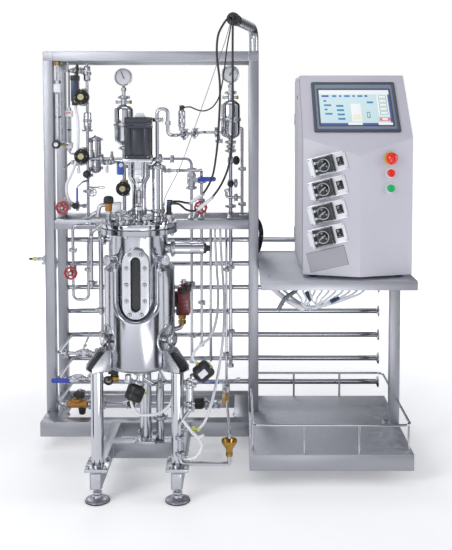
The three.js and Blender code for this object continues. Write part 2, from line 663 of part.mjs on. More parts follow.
function gasLineAssembly() {
  const { x, filterX, filterY, filterLow, filterHigh, valveX, valveZ } = gasLine;
  const y = linePlaneY;
  const top = frame.top - 18;
  const stack = [rod([x, y, frame.midTop + 2], [x, y, top], pipeRadius, 8),
    rod([x, y, 1487], [x, y, 1553], 14, 12), rod([x, y, 1293], [x, y, 1360], 16, 12),
    rod([x, y, 1280], [x, y, 1288], 22, 12), box(x - 12, x + 12, frame.tube, y + 6, top - 10, top)];
  const body = turned([[0, filterLow], [14, filterLow + 3], [23, filterLow + 13], [23, filterHigh - 13],
    [14, filterHigh - 3], [0, filterHigh]], filterX, filterY, 14);
  const links = [filterLow + 17, filterHigh - 23].map((z) => rod([x, y, z], [filterX, filterY, z], 5, 6));
  const branchRun = [rod([x, y, valveZ], [valveX - 20, y, valveZ], pipeRadius, 8),
    box(valveX - 20, valveX + 20, y - 18, y + 18, valveZ - 18, valveZ + 18),
    rod([valveX, y - 17, valveZ], [valveX, y - 52, valveZ], 10, 8),
    rod([valveX, y - 50, valveZ], [valveX, y - 84, valveZ], stemRadius, 8)];
  return join(stack, body, links, branchRun, railBar(x), faceActuator(x - 14, gasLine.upperActuatorZ, y),
    faceActuator(x - 16, gasLine.lowerActuatorZ, y));
}

const meter = { width: 32, y: 22, bottom: 1212, tubeLow: 1244, tubeHigh: 1440, top: 1475, knobZ: 1228 };

function rotameterBody() {
  const x0 = frame.tube;
  const [x1, xm, y] = [x0 + meter.width, x0 + meter.width / 2, meter.y];
  const body = join(box(x0, x1, y - 16, y + 16, meter.bottom, meter.tubeLow),
    rod([xm, y, meter.tubeLow - 1], [xm, y, meter.tubeHigh + 1], 12, 12),
    box(x0, x1, y - 16, y + 16, meter.tubeHigh, meter.top),
    rod([xm, y, meter.top - 1], [xm, y, frame.top - frame.tube], pipeRadius, 8));
  return cut(body, rod([xm, y - 30, meter.knobZ], [xm, y - 2, meter.knobZ], stemRadius + 0.8, 12));
}

function rotameterKnob() {
  const [x, y, z] = [frame.tube + meter.width / 2, meter.y, meter.knobZ];
  return join(rod([x, y - 48, z], [x, y - 23, z], 17, 16), rod([x, y - 24, z], [x, y - 4, z], stemRadius, 8));
}

// A vertical ball valve body with the stem that its lever turns on.
function ballValve(x, y, z) {
  return join(box(x - 16, x + 16, y - 17, y + 17, z - 24, z + 24), rod([x, y, z - 30], [x, y, z + 30], 13, 6),
    rod([x, y - 16, z], [x, y - 34, z], stemRadius, 8));
}

// The lever lies in the plane across the stem; dir is the side it points to.
function valveLever(x, y, z, dir) {
  const plate = box(Math.min(x, x + dir * lever.length), Math.max(x, x + dir * lever.length),
    y - lever.thick, y, z - lever.width / 2, z + lever.width / 2);
  const hub = rod([x, y - lever.thick, z], [x, y, z], lever.hub, 12);
  return cut(join(plate, hub), rod([x, y - 20, z], [x, y + 20, z], stemRadius + 0.6, 12));
}

function handwheel(x, y, z) {
  const hoop = new THREE.TorusGeometry(wheel.radius - wheel.rim, wheel.rim, 5, 12).rotateX(Math.PI / 2);
  const pieces = [solid(hoop.translate(x, y, z)), rod([x, y - 5, z], [x, y + 5, z], wheel.hub, 8)];
  for (let i = 0; i < 3; i += 1) {
    const reach = wheel.radius - wheel.rim;
    const spoke = new THREE.BoxGeometry(2 * reach, 4, 5).rotateY((i * Math.PI) / 3);
    pieces.push(solid(spoke.translate(x, y, z)));
  }
  return cut(join(pieces), rod([x, y - 8, z], [x, y + 8, z], stemRadius + 0.6, 12));
}

const feedLine = { x: 600, z: 1166, valveZ: 1082, low: 300 };
const returnLine = { x: 642, z: 1120, valveZ: 969, low: 372 };

function feedLineAssembly() {
  const { x, z, valveZ } = feedLine;
  const start = gasLine.x + pipeRadius + 0.5;
  const y = linePlaneY;
  const run = pipe([[start, y, z], [x, y, z], [x, y, feedLine.low]], pipeRadius, 26);
  return join(run, ballValve(x, y, valveZ), railBar(x));
}

function returnLineAssembly() {
  const { x, z, valveZ } = returnLine;
  const y = linePlaneY;
  const [startX, startY, startZ] = [condenser.x + condenser.nozzle + gap, condenser.y, condenser.nozzleZ];
  const run = pipe([[startX, startY, startZ], [startX + 40, startY, startZ], [x - 10, 0, z], [x, y, z],
    [x, y, returnLine.low]], pipeRadius, 16);
  const valve = join(box(x - 18, x + 18, y - 18, y + 18, valveZ - 20, valveZ + 20),
    rod([x, y - 17, valveZ], [x, y - 50, valveZ], 9, 8),
    rod([x, y - 48, valveZ], [x, y - 82, valveZ], stemRadius, 8));
  return join(run, valve, railBar(x));
}

const jacketLine = { x: 124, y: -40, azimuth: -110, topZ: 900, valveZ: 714, lowZ: 596, upX: 186, upZ: 838 };

function jacketLineAssembly() {
  const { x, y, azimuth, topZ, valveZ, lowZ, upX, upZ } = jacketLine;
  const [px, py] = aboutVessel(azimuth, vessel.radius + 0.5);
  const [qx, qy] = aboutVessel(azimuth, vessel.radius + 60);
  const railY = frame.tube / 2;
  const run = pipe([[px, py, topZ], [qx, qy, topZ], [230, y, topZ], [x, y, topZ], [x, y, lowZ],
    [upX, y, lowZ], [upX, y, upZ], [upX, railY, upZ], [upX, railY, frame.midTop - frame.tube]],
    pipeRadius, 20);
  const clip = box(upX - 10, upX + 10, y, 0, topZ - 8, topZ + 8);
  const valve = join(rod([x, y, valveZ - 24], [x, y, valveZ + 24], 13, 6),
    rod([x, y, valveZ], [x, y - 28, valveZ], 9, 8),
    rod([x, y - 26, valveZ], [x, y - 58, valveZ], stemRadius, 8));
  return join(run, clip, valve);
}

// ---------------------------------------------------------------- below the vessel
const waterPump = { x: 586, y: -305, low: 598, high: 707, motorZ: 655, pipeZ: 548 };

function circulationPump() {
  const { x, y, low, high, motorZ, pipeZ } = waterPump;
  const casing = join(box(x - 16, x + 30, y - 32, y + 32, low, high),
    rod([x - 32, y, motorZ], [x - 15, y, motorZ], 30, 14));
  const azimuth = 180 - THREE.MathUtils.radToDeg(Math.atan2(x - vessel.x, y - vessel.y));
  const [px, py] = aboutVessel(azimuth, jacket.radius * Math.cos(Math.PI / aroundVessel) + 2 * gap);
  const suction = pipe([[x, y, low + 2], [x, y, pipeZ], [px, py, pipeZ]], 9, 18, 8);
  return join(casing, suction, rod([x, y, pipeZ + 12], [x, y, low + 1], 15, 6));
}

function drainValve() {
  const [x, y, z] = [vessel.x, vessel.y, vessel.bottom - 24 - gap];
  const tilt = new THREE.Vector3(-0.32, -0.3, -0.9).normalize();
  const along = (d) => [x + tilt.x * d, y + tilt.y * d, z - 22 + tilt.z * d];
  const drain = pipe([[x, y, z - 20], [x + 40, y + 20, z - 52], [x + 84, y + 42, z - 52]], 8, 16, 8);
  return join(rod([x, y, z], [x, y, z - 5], 25, 12), rod([x, y, z - 4], [x, y, z - 30], 15, 10),
    rod(along(4), along(30), 14, 10), rod(along(26), along(84), 33, 16),
    rod(along(84), along(104), 16, 10), drain);
}

const tundish = { x: 768, y: -595, rim: 226, throat: 180, radius: 27 };

const steamValve = { x: 632, topZ: 430, bodyZ: 335, tilt: new THREE.Vector3(0.767, 0.102, 0.634).normalize(),
  rise: new THREE.Vector3(-0.637, 0, 0.771).normalize(), near: 30, far: 92, radius: 31, nipple: 39 };
const drainY = vessel.y + leg.front - leg.radius - pipeRadius - gap; // in front of the vessel's front legs

function steamActuator() {
  const { x, topZ, tilt, rise, near, far, radius, nipple } = steamValve;
  const start = new THREE.Vector3(x, drainY, topZ - 6);
  const at = (d, lift = 0) => start.clone().addScaledVector(tilt, d).addScaledVector(rise, lift).toArray();
  const middle = (near + far) / 2;
  return join(rod(at(-12), at(near + 2), 13), rod(at(near), at(far), radius, 14),
    rod(at(middle), at(middle, nipple), 7, 6));
}

function drainLine() {
  const { x, y, rim, throat, radius } = tundish;
  const lowX = vessel.x + leg.side + 10;
  const run = pipe([[steamValve.x, drainY, steamValve.topZ], [steamValve.x, drainY, 330], [lowX, drainY, 280],
    [lowX, drainY, 141], [x - 2, y, 141], [x, y, throat + 4]], pipeRadius, 14);
  const cup = turned([[0, throat], [11, throat], [radius, rim - 20], [radius, rim], [radius - 3, rim],
    [radius - 3, rim - 18], [6, throat + 12], [0, throat + 12]], x, y, 14);
  const body = rod([steamValve.x, drainY, steamValve.bodyZ], [steamValve.x, drainY, steamValve.topZ], 13);
  const tee = rod([lowX, drainY, 262], [lowX + 56, drainY - 8, 262], 7, 8);
  return join(run, cup, body, tee, steamActuator());
}

const condensateLine = { x: 746, z: 222, valveY: -20, backY: 72 };

function condensateLineAssembly() {
  const { x, z, valveY, backY } = condensateLine;
  const [top, spoutZ] = [frame.midTop - frame.tube, z + 24];
  const run = pipe([[x, frame.tube / 2, top], [x, frame.tube / 2, top - 40], [x, backY, top - 80],
    [x, backY, z], [x, valveY - 60, z], [tundish.x, tundish.y + 40, spoutZ], [tundish.x, tundish.y, spoutZ],
    [tundish.x, tundish.y, tundish.rim - 10]], 5, 14, 8);
  const valve = join(box(x - 15, x + 15, valveY - 24, valveY + 24, z - 15, z + 15),
    rod([x, valveY, z + 14], [x, valveY, z + 32], stemRadius, 8));
  return join(run, valve);
}

function flatLever(x, y, z) {
  const plate = box(x - lever.length, x, y - lever.width / 2, y + lever.width / 2, z, z + lever.thick);
  const hub = rod([x, y, z], [x, y, z + lever.thick], lever.hub, 12);
  return cut(join(plate, hub), rod([x, y, z - 10], [x, y, z + 20], stemRadius + 0.6, 12));
}

// ---------------------------------------------------------------- control cabinet
const ridgeX = (cabinet.left + cabinet.right) / 2;

function cabinetPrism(inset) {
  const { left, right, front, ridge, back, bottom, top, faceLow, topFront } = cabinet;
  const outline = [[left + inset, back - inset], [left + inset, front + inset], [ridgeX, ridge + inset],
    [right - inset, front + inset], [right - inset, back - inset]];
  const prism = solid(slab(outline, top - bottom - 2 * inset).translate(0, 0, bottom + inset));
  const slope = (top - faceLow) / (topFront - front);
  const drop = inset * Math.hypot(1, slope);
  const y = (z) => front + (z - faceLow + drop) / slope;
  const [low, high] = [faceLow - 200, top + 50];
  const ahead = front - 400;
  const profile = [[y(low), low], [y(high), high], [ahead, high], [ahead, low]];
  const wedge = solid(slab(profile, right - left + 200)
    .rotateY(Math.PI / 2).rotateX(Math.PI / 2).translate(left - 100, 0, 0));
  return { prism, wedge };
}

const facet = (side) => {
  const [sx, ex] = side < 0 ? [cabinet.left, ridgeX] : [ridgeX, cabinet.right];
  const [sy, ey] = side < 0 ? [cabinet.front, cabinet.ridge] : [cabinet.ridge, cabinet.front];
  const along = new THREE.Vector3(ex - sx, ey - sy, 0).normalize();
  return { start: new THREE.Vector3(sx, sy, 0), along, out: new THREE.Vector3(along.y, -along.x, 0) };
};

// A frame on a front facet: local X runs along it, local Y up the cabinet, local Z out of the face.
function facetFrame(side, distance, z, tilt = 0) {
  const { start, along, out } = facet(side);
  const group = new THREE.Group();
  const basis = new THREE.Matrix4().makeBasis(along, up, out);
  group.quaternion.setFromRotationMatrix(basis.multiply(new THREE.Matrix4().makeRotationZ(rad(tilt))));
  group.position.copy(start).addScaledVector(along, distance).setZ(z);
  object.add(group);
  group.updateMatrixWorld(true);
  return group;
}

function cabinetShell(holes) {
  const outer = cabinetPrism(0);
  const inner = cabinetPrism(cabinet.wall);
  const { left, right, back, bottom, top } = cabinet;
  const opening = box(left + 30, right - 30, back - 20, back + 5, bottom + 40, top - 60);
  const feet = [];
  for (const x of [left + 40, right - 40]) {
    for (const y of [cabinet.front + 40, back - 40]) {
      feet.push(rod([x, y, shelf.top], [x, y, bottom + 1], 15, 10));
    }
  }
  return cut(join(cut(cut(outer.prism, outer.wedge), cut(inner.prism, inner.wedge)), feet), opening, holes);
}

const vent = { count: 6, low: 1300, pitch: 16, height: 6, half: 90 };

function backCover() {
  const { left, right, back, bottom, top } = cabinet;
  const plate = box(left + 16, right - 16, back, back + 3, bottom + 26, top - 44);
  const slots = [];
  for (let i = 0; i < vent.count; i += 1) {
    const z = vent.low + i * vent.pitch;
    slots.push(box(ridgeX - vent.half, ridgeX + vent.half, back - 5, back + 8, z, z + vent.height));
  }
  return cut(plate, slots);
}

function touchPanel() {
  const { faceLow, front, top, topFront } = cabinet;
  const run = new THREE.Vector3(0, topFront - front, top - faceLow);
  const group = new THREE.Group();
  const upSlope = run.clone().normalize();
  const right = new THREE.Vector3(1, 0, 0);
  const basis = new THREE.Matrix4().makeBasis(right, upSlope, right.clone().cross(upSlope));
  group.quaternion.setFromRotationMatrix(basis);
  group.position.set(ridgeX, front, faceLow).addScaledVector(run, screen.along);
  object.add(group);
  const [w, h, t] = [screen.width / 2, screen.height / 2, screen.thick];
  const frameBody = box(-w, w, -h, h, gap, t);
  const display = box(-w + screen.sideBezel, w - screen.sideBezel, -h + screen.endBezel, h - screen.endBezel,
    t - 1.5, t + 1);
  add("touch_panel", cut(frameBody, display), "dark", group);
}

function pumpHead(i) {
  const { width, height, thick, tilt, along, topZ, pitch } = pump;
  const group = facetFrame(-1, along, topZ - i * pitch, tilt);
  const [w, h] = [width / 2, height / 2];
  const [cx, sx] = [rotor.x, w - 24];
  const plate = box(-w, w, -h, h, gap, thick);
  const housing = box(cx - 36, cx + 36, -h + 2, h - 2, thick - 1, thick + rotor.depth + 4);
  const bezel = box(sx - 12, sx + 12, -16, 16, thick - 1, thick + 3);
  const recess = rod([cx, 0, thick], [cx, 0, 60], rotor.recess, 16);
  const pocketHole = box(sx - 8, sx + 8, -12, 12, gap + 0.8, 20);
  add(`pump_head_${i + 1}`, cut(join(plate, housing, bezel), recess, pocketHole), "dark", group);
  const spin = [rod([cx, 0, thick + gap], [cx, 0, thick + 5], rotor.disc, 10),
    rod([cx, 0, thick + 4], [cx, 0, thick + rotor.depth], 8, 8)];
  for (let k = 0; k < 3; k += 1) {
    const angle = (k * 2 * Math.PI) / 3;
    const [rx, ry] = [cx + rotor.orbit * Math.cos(angle), rotor.orbit * Math.sin(angle)];
    spin.push(rod([rx, ry, thick + 4], [rx, ry, thick + rotor.depth - 2], rotor.roller, 6));
  }
  add(`pump_rotor_${i + 1}`, join(spin), "dark", group);
  const rocker = [[-11, 3.6], [0, 1.9], [11, 3.6], [11, 9], [0, 8], [-11, 9]];
  const cap = solid(slab(rocker, 14).translate(0, 0, -7).rotateZ(Math.PI / 2).rotateY(Math.PI / 2));
  add(`pump_switch_${i + 1}`, cap.rotate([-7, 0, 0]).translate([sx, 0, 0.9]), "dark", group);
}

function buttonHole(z, radius) {
  const { start, along, out } = facet(1);
  const centre = start.clone().addScaledVector(along, button.along).setZ(z);
  const end = (d) => centre.clone().addScaledVector(out, d).toArray();
  return rod(end(-30), end(30), radius, 16);
}

function pushButton(name, z, capRadius, capDepth, travel, finish) {
  const group = facetFrame(1, button.along, z);
  const shank = rod([0, 0, -14], [0, 0, travel + 2], button.shank, 8);
  const [low, high] = [travel, travel + capDepth];
  const cap = turned([[0, low + 1], [capRadius * 0.8, low + 1], [capRadius, low + 4], [capRadius, high - 4],
    [capRadius * 0.7, high], [0, high]], 0, 0, 12);
  add(name, join(shank, cap), finish, group);
}

// ---------------------------------------------------------------- cables and hoses
const cableRadius = 4;
const thinCableRadius = 2.5;
const hoseRadius = 5;

const cableRoutes = {
  probe_cable_rear: [[769, -339, 1702], [764.5, -358.5, 1702], [748, -384, 1680], [727, -393, 1638],
    [721, -396, 1570], [732, -396, 1459], [728, -396, 1314], [718, -397, 1199], [701, -400, 1115],
    [665, -405, 1056], [624, -416, 1030], [584, -426.7, 1036], [561.3, -426.7, 1036]],
  probe_cable_front: [[784.6, -342.6, 1702], [780.1, -362.1, 1702], [779, -376, 1680], [778, -377, 1620],
    [778, -377, 1500], [778, -377, 1325], [765, -381, 1170], [738, -398, 1098], [700, -426, 1046],
    [654, -464, 1010], [618, -492, 1012], [590, -503, 1034], [568, -503, 1036]],
};
const transmitterRoute = [[605.4, -387, 1375], [624, -386, 1376], [648, -382, 1366], [674, -377, 1362],
  [702, -371, 1374], [724, -363, 1404], [737, -357, 1450], [748, -354, 1520], [758, -356, 1600],
  [768, -364, 1652], [773, -362, 1682], [774.6, -350.6, 1691], [776.8, -340.8, 1691]];
const hoseRoutes = {
  air_hose_short: [[700, 20, 877.2], [700, 20, 850], [702, 6, 815], [708, -60, 750], [718, -180, 670],
    [720, -300, 612], [712, -400, 575], [697, -490, 556], [676, -545, 550], [650, -578, 532],
    [641.1, -584.1, 508.6], [653.5, -584.1, 493.4]],
  air_hose_long: [[722, 20, 877.2], [722, 20, 850], [724, 6, 810], [732, -70, 730], [742, -200, 640],
    [744, -330, 560], [736, -450, 480], [720, -540, 400], [700, -590, 330], [680, -600, 285],
    [660, -599.5, 262.4]],
};

// ---------------------------------------------------------------- assembly
add("skid_base", skidBase(), "brushed");
add("upright_frame", uprightFrame(), "brushed");
add("bottle_tray", bottleTray(), "brushed");
add("shelf_stand", shelfStand(), "brushed");
add("header_rack", headerRack(), "tube");
add("vessel_shell", vesselShell(), "polished");
add("heating_jacket", heatingJacket(), "polished");
add("head_plate", headPlate(), "polished");
add("sight_glass_frame", sightFrame(), "brushed");
add("sight_glass", sightGlass(), "glass");
add("vessel_leg_left", vesselLeg(-leg.side, leg.front), "polished");
add("vessel_leg_right", vesselLeg(leg.side, leg.front), "polished");
add("vessel_leg_rear", vesselLeg(0, leg.rear), "polished");
add("drive_housing", driveHousing(), "polished");
add("drive_motor", driveMotor(), "motor");
add("agitator", agitator(), "polished");
add("condenser", condenserBody(), "polished");
add("exhaust_pipe", exhaustPipe(), "tube");
add("side_sensor", sideSensor(), "polished");
add("inlet_filter", inletFilterAssembly(), "polished");
add("exhaust_filter", exhaustFilterAssembly(), "polished");
add("gas_line", gasLineAssembly(), "tube");
add("rotameter", rotameterBody(), "acrylic");
add("rotameter_knob", rotameterKnob(), "dark");
add("feed_line", feedLineAssembly(), "tube");
add("return_line", returnLineAssembly(), "tube");
add("jacket_line", jacketLineAssembly(), "tube");
add("circulation_pump", circulationPump(), "pumpRed");
add("drain_valve", drainValve(), "dark");
add("drain_line", drainLine(), "tube");
add("condensate_line", condensateLineAssembly(), "tube");
add("handwheel_steam", handwheel(gasLine.valveX, linePlaneY - 76, gasLine.valveZ), "red");
add("handwheel_jacket", handwheel(jacketLine.x, jacketLine.y - 50, jacketLine.valveZ), "red");
add("handwheel_return", handwheel(returnLine.x, linePlaneY - 74, returnLine.valveZ), "red");
add("lever_feed", valveLever(feedLine.x, linePlaneY - 22, feedLine.valveZ, 1), "blue");
add("lever_branch", valveLever(branch.leverValveX, branch.front - 21, headerZ(5), -1), "blue");
add("lever_condensate", flatLever(condensateLine.x, condensateLine.valveY, condensateLine.z + 20), "blue");
add("cabinet_shell", cabinetShell([button.estopZ, button.stopZ, button.startZ]
  .map((z) => buttonHole(z, button.shank + 0.6))), "paint");
add("cabinet_back_cover", backCover(), "paint");
touchPanel();
for (let i = 0; i < 4; i += 1) pumpHead(i);
pushButton("estop_button", button.estopZ, 19, 24, 8, "red");
pushButton("stop_button", button.stopZ, 14, 10, 4, "red");
pushButton("start_button", button.startZ, 14, 10, 4, "green");
for (const [name, route] of Object.entries(cableRoutes)) add(name, cord(route, cableRadius, 48), "rubber");
add("transmitter_cable", cord(transmitterRoute, thinCableRadius, 40), "rubber");
for (const [name, route] of Object.entries(hoseRoutes)) add(name, cord(route, hoseRadius, 40), "hose");

const bounds = new THREE.Box3().setFromObject(object);
const middle = bounds.getCenter(new THREE.Vector3());
object.position.set(-middle.x, -middle.y, -bounds.min.z);

export default object;
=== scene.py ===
import math
import random

import bmesh
import bpy
from mathutils import Matrix, Vector


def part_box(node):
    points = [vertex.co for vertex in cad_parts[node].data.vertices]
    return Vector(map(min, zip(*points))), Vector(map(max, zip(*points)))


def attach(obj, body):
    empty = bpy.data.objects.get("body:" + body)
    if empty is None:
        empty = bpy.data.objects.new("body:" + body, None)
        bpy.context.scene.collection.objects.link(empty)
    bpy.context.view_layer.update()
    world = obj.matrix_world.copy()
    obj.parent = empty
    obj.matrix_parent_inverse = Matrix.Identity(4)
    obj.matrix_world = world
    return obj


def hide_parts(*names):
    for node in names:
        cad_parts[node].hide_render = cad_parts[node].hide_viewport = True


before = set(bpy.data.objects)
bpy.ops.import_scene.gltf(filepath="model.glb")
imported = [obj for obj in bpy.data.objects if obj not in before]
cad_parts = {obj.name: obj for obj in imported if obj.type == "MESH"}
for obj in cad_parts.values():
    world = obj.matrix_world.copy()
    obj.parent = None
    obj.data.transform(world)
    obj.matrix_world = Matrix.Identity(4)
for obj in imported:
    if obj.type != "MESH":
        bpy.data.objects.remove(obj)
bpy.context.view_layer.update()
random.seed(7)

# Every place below is in millimetres from the skid's datum: X from the skid's left face, Y back from
# the front face of the upright frame, Z up from the floor.
skidLow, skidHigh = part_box("skid_base")
skidBack = 280
datum = Vector((skidLow.x, skidHigh.y - skidBack / 1000, 0))
fourCorners = ((-1, -1), (-1, 1), (1, -1), (1, 1))
axisX, axisY, axisZ = Vector((1, 0, 0)), Vector((0, 1, 0)), Vector((0, 0, 1))


def metres(point):
    return Vector(point) / 1000 + datum


def fromHex(colour):
    # an sRGB hex value as the linear colour that shaders take
    parts = [int(colour[i:i + 2], 16) / 255 for i in (0, 2, 4)]
    return [c / 12.92 if c <= 0.04045 else ((c + 0.055) / 1.055) ** 2.4 for c in parts] + [1]


def addObject(name, data):
    made = bpy.data.objects.new(name, data)
    bpy.context.scene.collection.objects.link(made)
    return made


camera = {"place": (812.5, -3493.8, 1339.4), "pitch": 3.0, "lens": 55.93, "shiftX": -0.0294,
          "shiftY": -0.2057}
lensData = bpy.data.cameras.new("camera")
lensData.lens = camera["lens"]
lensData.shift_x = camera["shiftX"]
lensData.shift_y = camera["shiftY"]
lensData.clip_end = 40
cameraObject = addObject("camera", lensData)
cameraObject.location = metres(camera["place"])
cameraObject.rotation_euler = (math.radians(90 - camera["pitch"]), 0, 0)
bpy.context.scene.camera = cameraObject
print("camera made")


def addNode(tree, kind, settings=None, **links):
    # one node with its settings; each number or link goes to the input of that name or number, and a
    # node given as a link means its first output
    node = tree.nodes.new(kind)
    for name, value in (settings or {}).items():
        setattr(node, name, value)
    for name, value in links.items():
        socket = node.inputs[int(name[1:]) if name[0] == "i" and name[1:].isdigit()
                             else name.replace("_", " ")]
        if isinstance(value, bpy.types.Node):
            value = value.outputs[0]
        if isinstance(value, bpy.types.NodeSocket):
            tree.links.new(value, socket)
        else:
            socket.default_value = value
    return node


def wire(tree, shader, **nodes):
    # each node's first output goes to the shader's socket of that name
    for socket, node in nodes.items():
        tree.links.new(node.outputs[0], shader.inputs[socket.replace("_", " ")])


def startMaterial(name, colour, metallic, roughness, **sockets):
    # the base shader, with every plain number set on its own socket
    material = bpy.data.materials.new(name)
    material.use_nodes = True
    shader = material.node_tree.nodes["Principled BSDF"]
    shader.inputs["Base Color"].default_value = fromHex(colour)
    shader.inputs["Metallic"].default_value = metallic
    shader.inputs["Roughness"].default_value = roughness
    for socket, value in sockets.items():
        shader.inputs[socket.replace("_", " ")].default_value = value
    return material, material.node_tree, shader


def grainSpace(tree, acrossMm, alongMm, direction):
    # object coordinates scaled so that one unit of noise is one grain, long along the rubbing direction
    scale = [1000 / acrossMm] * 3
    scale["XYZ".index(direction)] = 1000 / alongMm
    place = addNode(tree, "ShaderNodeTexCoord")
    return addNode(tree, "ShaderNodeMapping", Vector=place.outputs["Object"], Scale=scale)


def brushedStainless(direction):
    # 304 stainless, belt ground: fine scratches along the bar stretch each highlight across it
    material, tree, shader = startMaterial(f"brushedStainless{direction}", "A9ABB4", 1.0, 0.42,
                                           Anisotropic=0.4)
    fine = addNode(tree, "ShaderNodeTexNoise", Vector=grainSpace(tree, 1.6, 90, direction), Scale=1, Detail=3)
    cloud = addNode(tree, "ShaderNodeTexNoise", Vector=grainSpace(tree, 140, 420, direction), Scale=1,
                    Detail=2)
    tone = addNode(tree, "ShaderNodeMixRGB", {"blend_type": "MIX"}, Fac=fine,
                   Color1=fromHex("ACAEB7"), Color2=fromHex("C4C6CD"))
    wide = addNode(tree, "ShaderNodeMixRGB", {"blend_type": "MULTIPLY"}, Fac=0.45, Color1=tone,
                   Color2=cloud)
    rough = addNode(tree, "ShaderNodeMapRange", Value=fine, i3=0.34, i4=0.5)
    bump = addNode(tree, "ShaderNodeBump", Strength=0.12, Distance=0.0002, Height=fine)
    wire(tree, shader, Base_Color=wide, Roughness=rough, Normal=bump)
    return material


def polishedStainless(name, colour, roughness, waveMm, wave):
    # 316L stainless, buffed: nearly a mirror, with the slow waves that rolling and hand buffing leave;
    # a higher roughness gives the satin, rolled and anodised sheets
    material, tree, shader = startMaterial(name, colour, 1.0, roughness)
    waves = addNode(tree, "ShaderNodeTexNoise", Vector=grainSpace(tree, waveMm, waveMm * 3, "Z"), Scale=1,
                    Detail=1)
    haze = addNode(tree, "ShaderNodeTexNoise", Vector=grainSpace(tree, 24, 24, "Z"), Scale=1, Detail=3)
    rough = addNode(tree, "ShaderNodeMapRange", Value=haze, i3=roughness * 0.7, i4=roughness * 1.5)
    bump = addNode(tree, "ShaderNodeBump", Strength=wave, Distance=0.001, Height=waves)
    wire(tree, shader, Roughness=rough, Normal=bump)
    return material


def castStainless():
    # investment cast stainless, tumbled: clamps and wing nuts with a soft pebbled shine
    material, tree, shader = startMaterial("castStainless", "AFB0B6", 1.0, 0.3)
    grain = addNode(tree, "ShaderNodeTexNoise", Vector=grainSpace(tree, 1.2, 1.2, "Z"), Scale=1, Detail=2)
    bump = addNode(tree, "ShaderNodeBump", Strength=0.25, Distance=0.0003, Height=grain)
    wire(tree, shader, Normal=bump)
    return material


def turnedBrass():
    # CW614 brass, turned and lacquered, gone a little brown where it is handled
    material, tree, shader = startMaterial("turnedBrass", "C4933A", 1.0, 0.28)
    age = addNode(tree, "ShaderNodeTexNoise", Vector=grainSpace(tree, 9, 9, "Z"), Scale=1, Detail=4)
    tone = addNode(tree, "ShaderNodeMixRGB", {"blend_type": "MIX"}, Fac=age,
                   Color1=fromHex("80622C"), Color2=fromHex("BD9850"))
    wire(tree, shader, Base_Color=tone)
    return material


def powderCoat(name, colour, roughness=0.45):
    # polyester powder coat, baked: an even colour over a very fine orange peel
    material, tree, shader = startMaterial(name, colour, 0.0, roughness, Coat_Weight=0.15, Coat_Roughness=0.3)
    peel = addNode(tree, "ShaderNodeTexNoise", Vector=grainSpace(tree, 2.2, 2.2, "Z"), Scale=1, Detail=2)
    drift = addNode(tree, "ShaderNodeTexNoise", Vector=grainSpace(tree, 260, 260, "Z"), Scale=1, Detail=1)
    base = fromHex(colour)
    tone = addNode(tree, "ShaderNodeMixRGB", {"blend_type": "MIX"}, Fac=drift,
                   Color1=[c * 0.94 for c in base[:3]] + [1],
                   Color2=[min(1, c * 1.05) for c in base[:3]] + [1])
    bump = addNode(tree, "ShaderNodeBump", Strength=0.12, Distance=0.0002, Height=peel)
    wire(tree, shader, Base_Color=tone, Normal=bump)
    return material


def mouldedPlastic(name, colour, roughness, grainMm=0.9, **sockets):
    # moulded plastic, rubber or sprayed paint, with a fine grain that breaks up its shine
    material, tree, shader = startMaterial(name, colour, 0.0, roughness, **sockets)
    grain = addNode(tree, "ShaderNodeTexNoise", Vector=grainSpace(tree, grainMm, grainMm, "Z"), Scale=1,
                    Detail=2)
    rough = addNode(tree, "ShaderNodeMapRange", Value=grain, i3=roughness * 0.85,
                    i4=min(1, roughness * 1.2))
    bump = addNode(tree, "ShaderNodeBump", Strength=0.2, Distance=0.0002, Height=grain)
    wire(tree, shader, Roughness=rough, Normal=bump)
    return material


def castEnamel(name, colour):
    # brushed-on enamel over sand cast iron: glossy, with the casting's soft lumps showing through
    material, tree, shader = startMaterial(name, colour, 0.0, 0.28, Coat_Weight=0.5, Coat_Roughness=0.12)
    lumps = addNode(tree, "ShaderNodeTexNoise", Vector=grainSpace(tree, 3.5, 3.5, "Z"), Scale=1, Detail=3)
    tone = addNode(tree, "ShaderNodeMixRGB", {"blend_type": "MULTIPLY"}, Fac=0.35, Color1=fromHex(colour),
                   Color2=lumps)
    bump = addNode(tree, "ShaderNodeBump", Strength=0.3, Distance=0.0004, Height=lumps)
    wire(tree, shader, Base_Color=tone, Normal=bump)
    return material


def extrudedHose(name, colour, roughness, passing):
    # soft extruded tube: smooth skin with faint draw lines, and light bleeding through the wall
    material, tree, shader = startMaterial(name, colour, 0.0, roughness, Transmission_Weight=passing,
                                           Subsurface_Weight=0.15)
    lines = addNode(tree, "ShaderNodeTexNoise", Vector=grainSpace(tree, 3, 3, "Z"), Scale=1, Detail=2)
    bump = addNode(tree, "ShaderNodeBump", Strength=0.1, Distance=0.0003, Height=lines)
    wire(tree, shader, Normal=bump)
    return material


def clearGlass(name, colour, roughness, ior, shadeTinted=False):
    # cast or machined clear part, tinted through its depth; the last flag lets less light through so the dark
    # tint shows more, which is painted shade
    material, tree, shader = startMaterial(name, colour, 0.0, roughness, IOR=ior,
                                           Transmission_Weight=0.6 if shadeTinted else 0.9)
    waves = addNode(tree, "ShaderNodeTexNoise", Vector=grainSpace(tree, 30, 30, "Z"), Scale=1, Detail=1)
    bump = addNode(tree, "ShaderNodeBump", Strength=0.08, Distance=0.0005, Height=waves)
    wire(tree, shader, Normal=bump)
    return material


def litScreen(name, colour, glow):
    # one field of the lit display, seen through its anti-glare film
    material, tree, shader = startMaterial(name, "14161A", 0.0, 0.35, Emission_Color=fromHex(colour),
                                           Emission_Strength=glow)
    film = addNode(tree, "ShaderNodeTexNoise", Vector=grainSpace(tree, 0.8, 0.8, "Z"), Scale=1)
    rough = addNode(tree, "ShaderNodeMapRange", Value=film, i3=0.3, i4=0.4)
    wire(tree, shader, Roughness=rough)
    return material


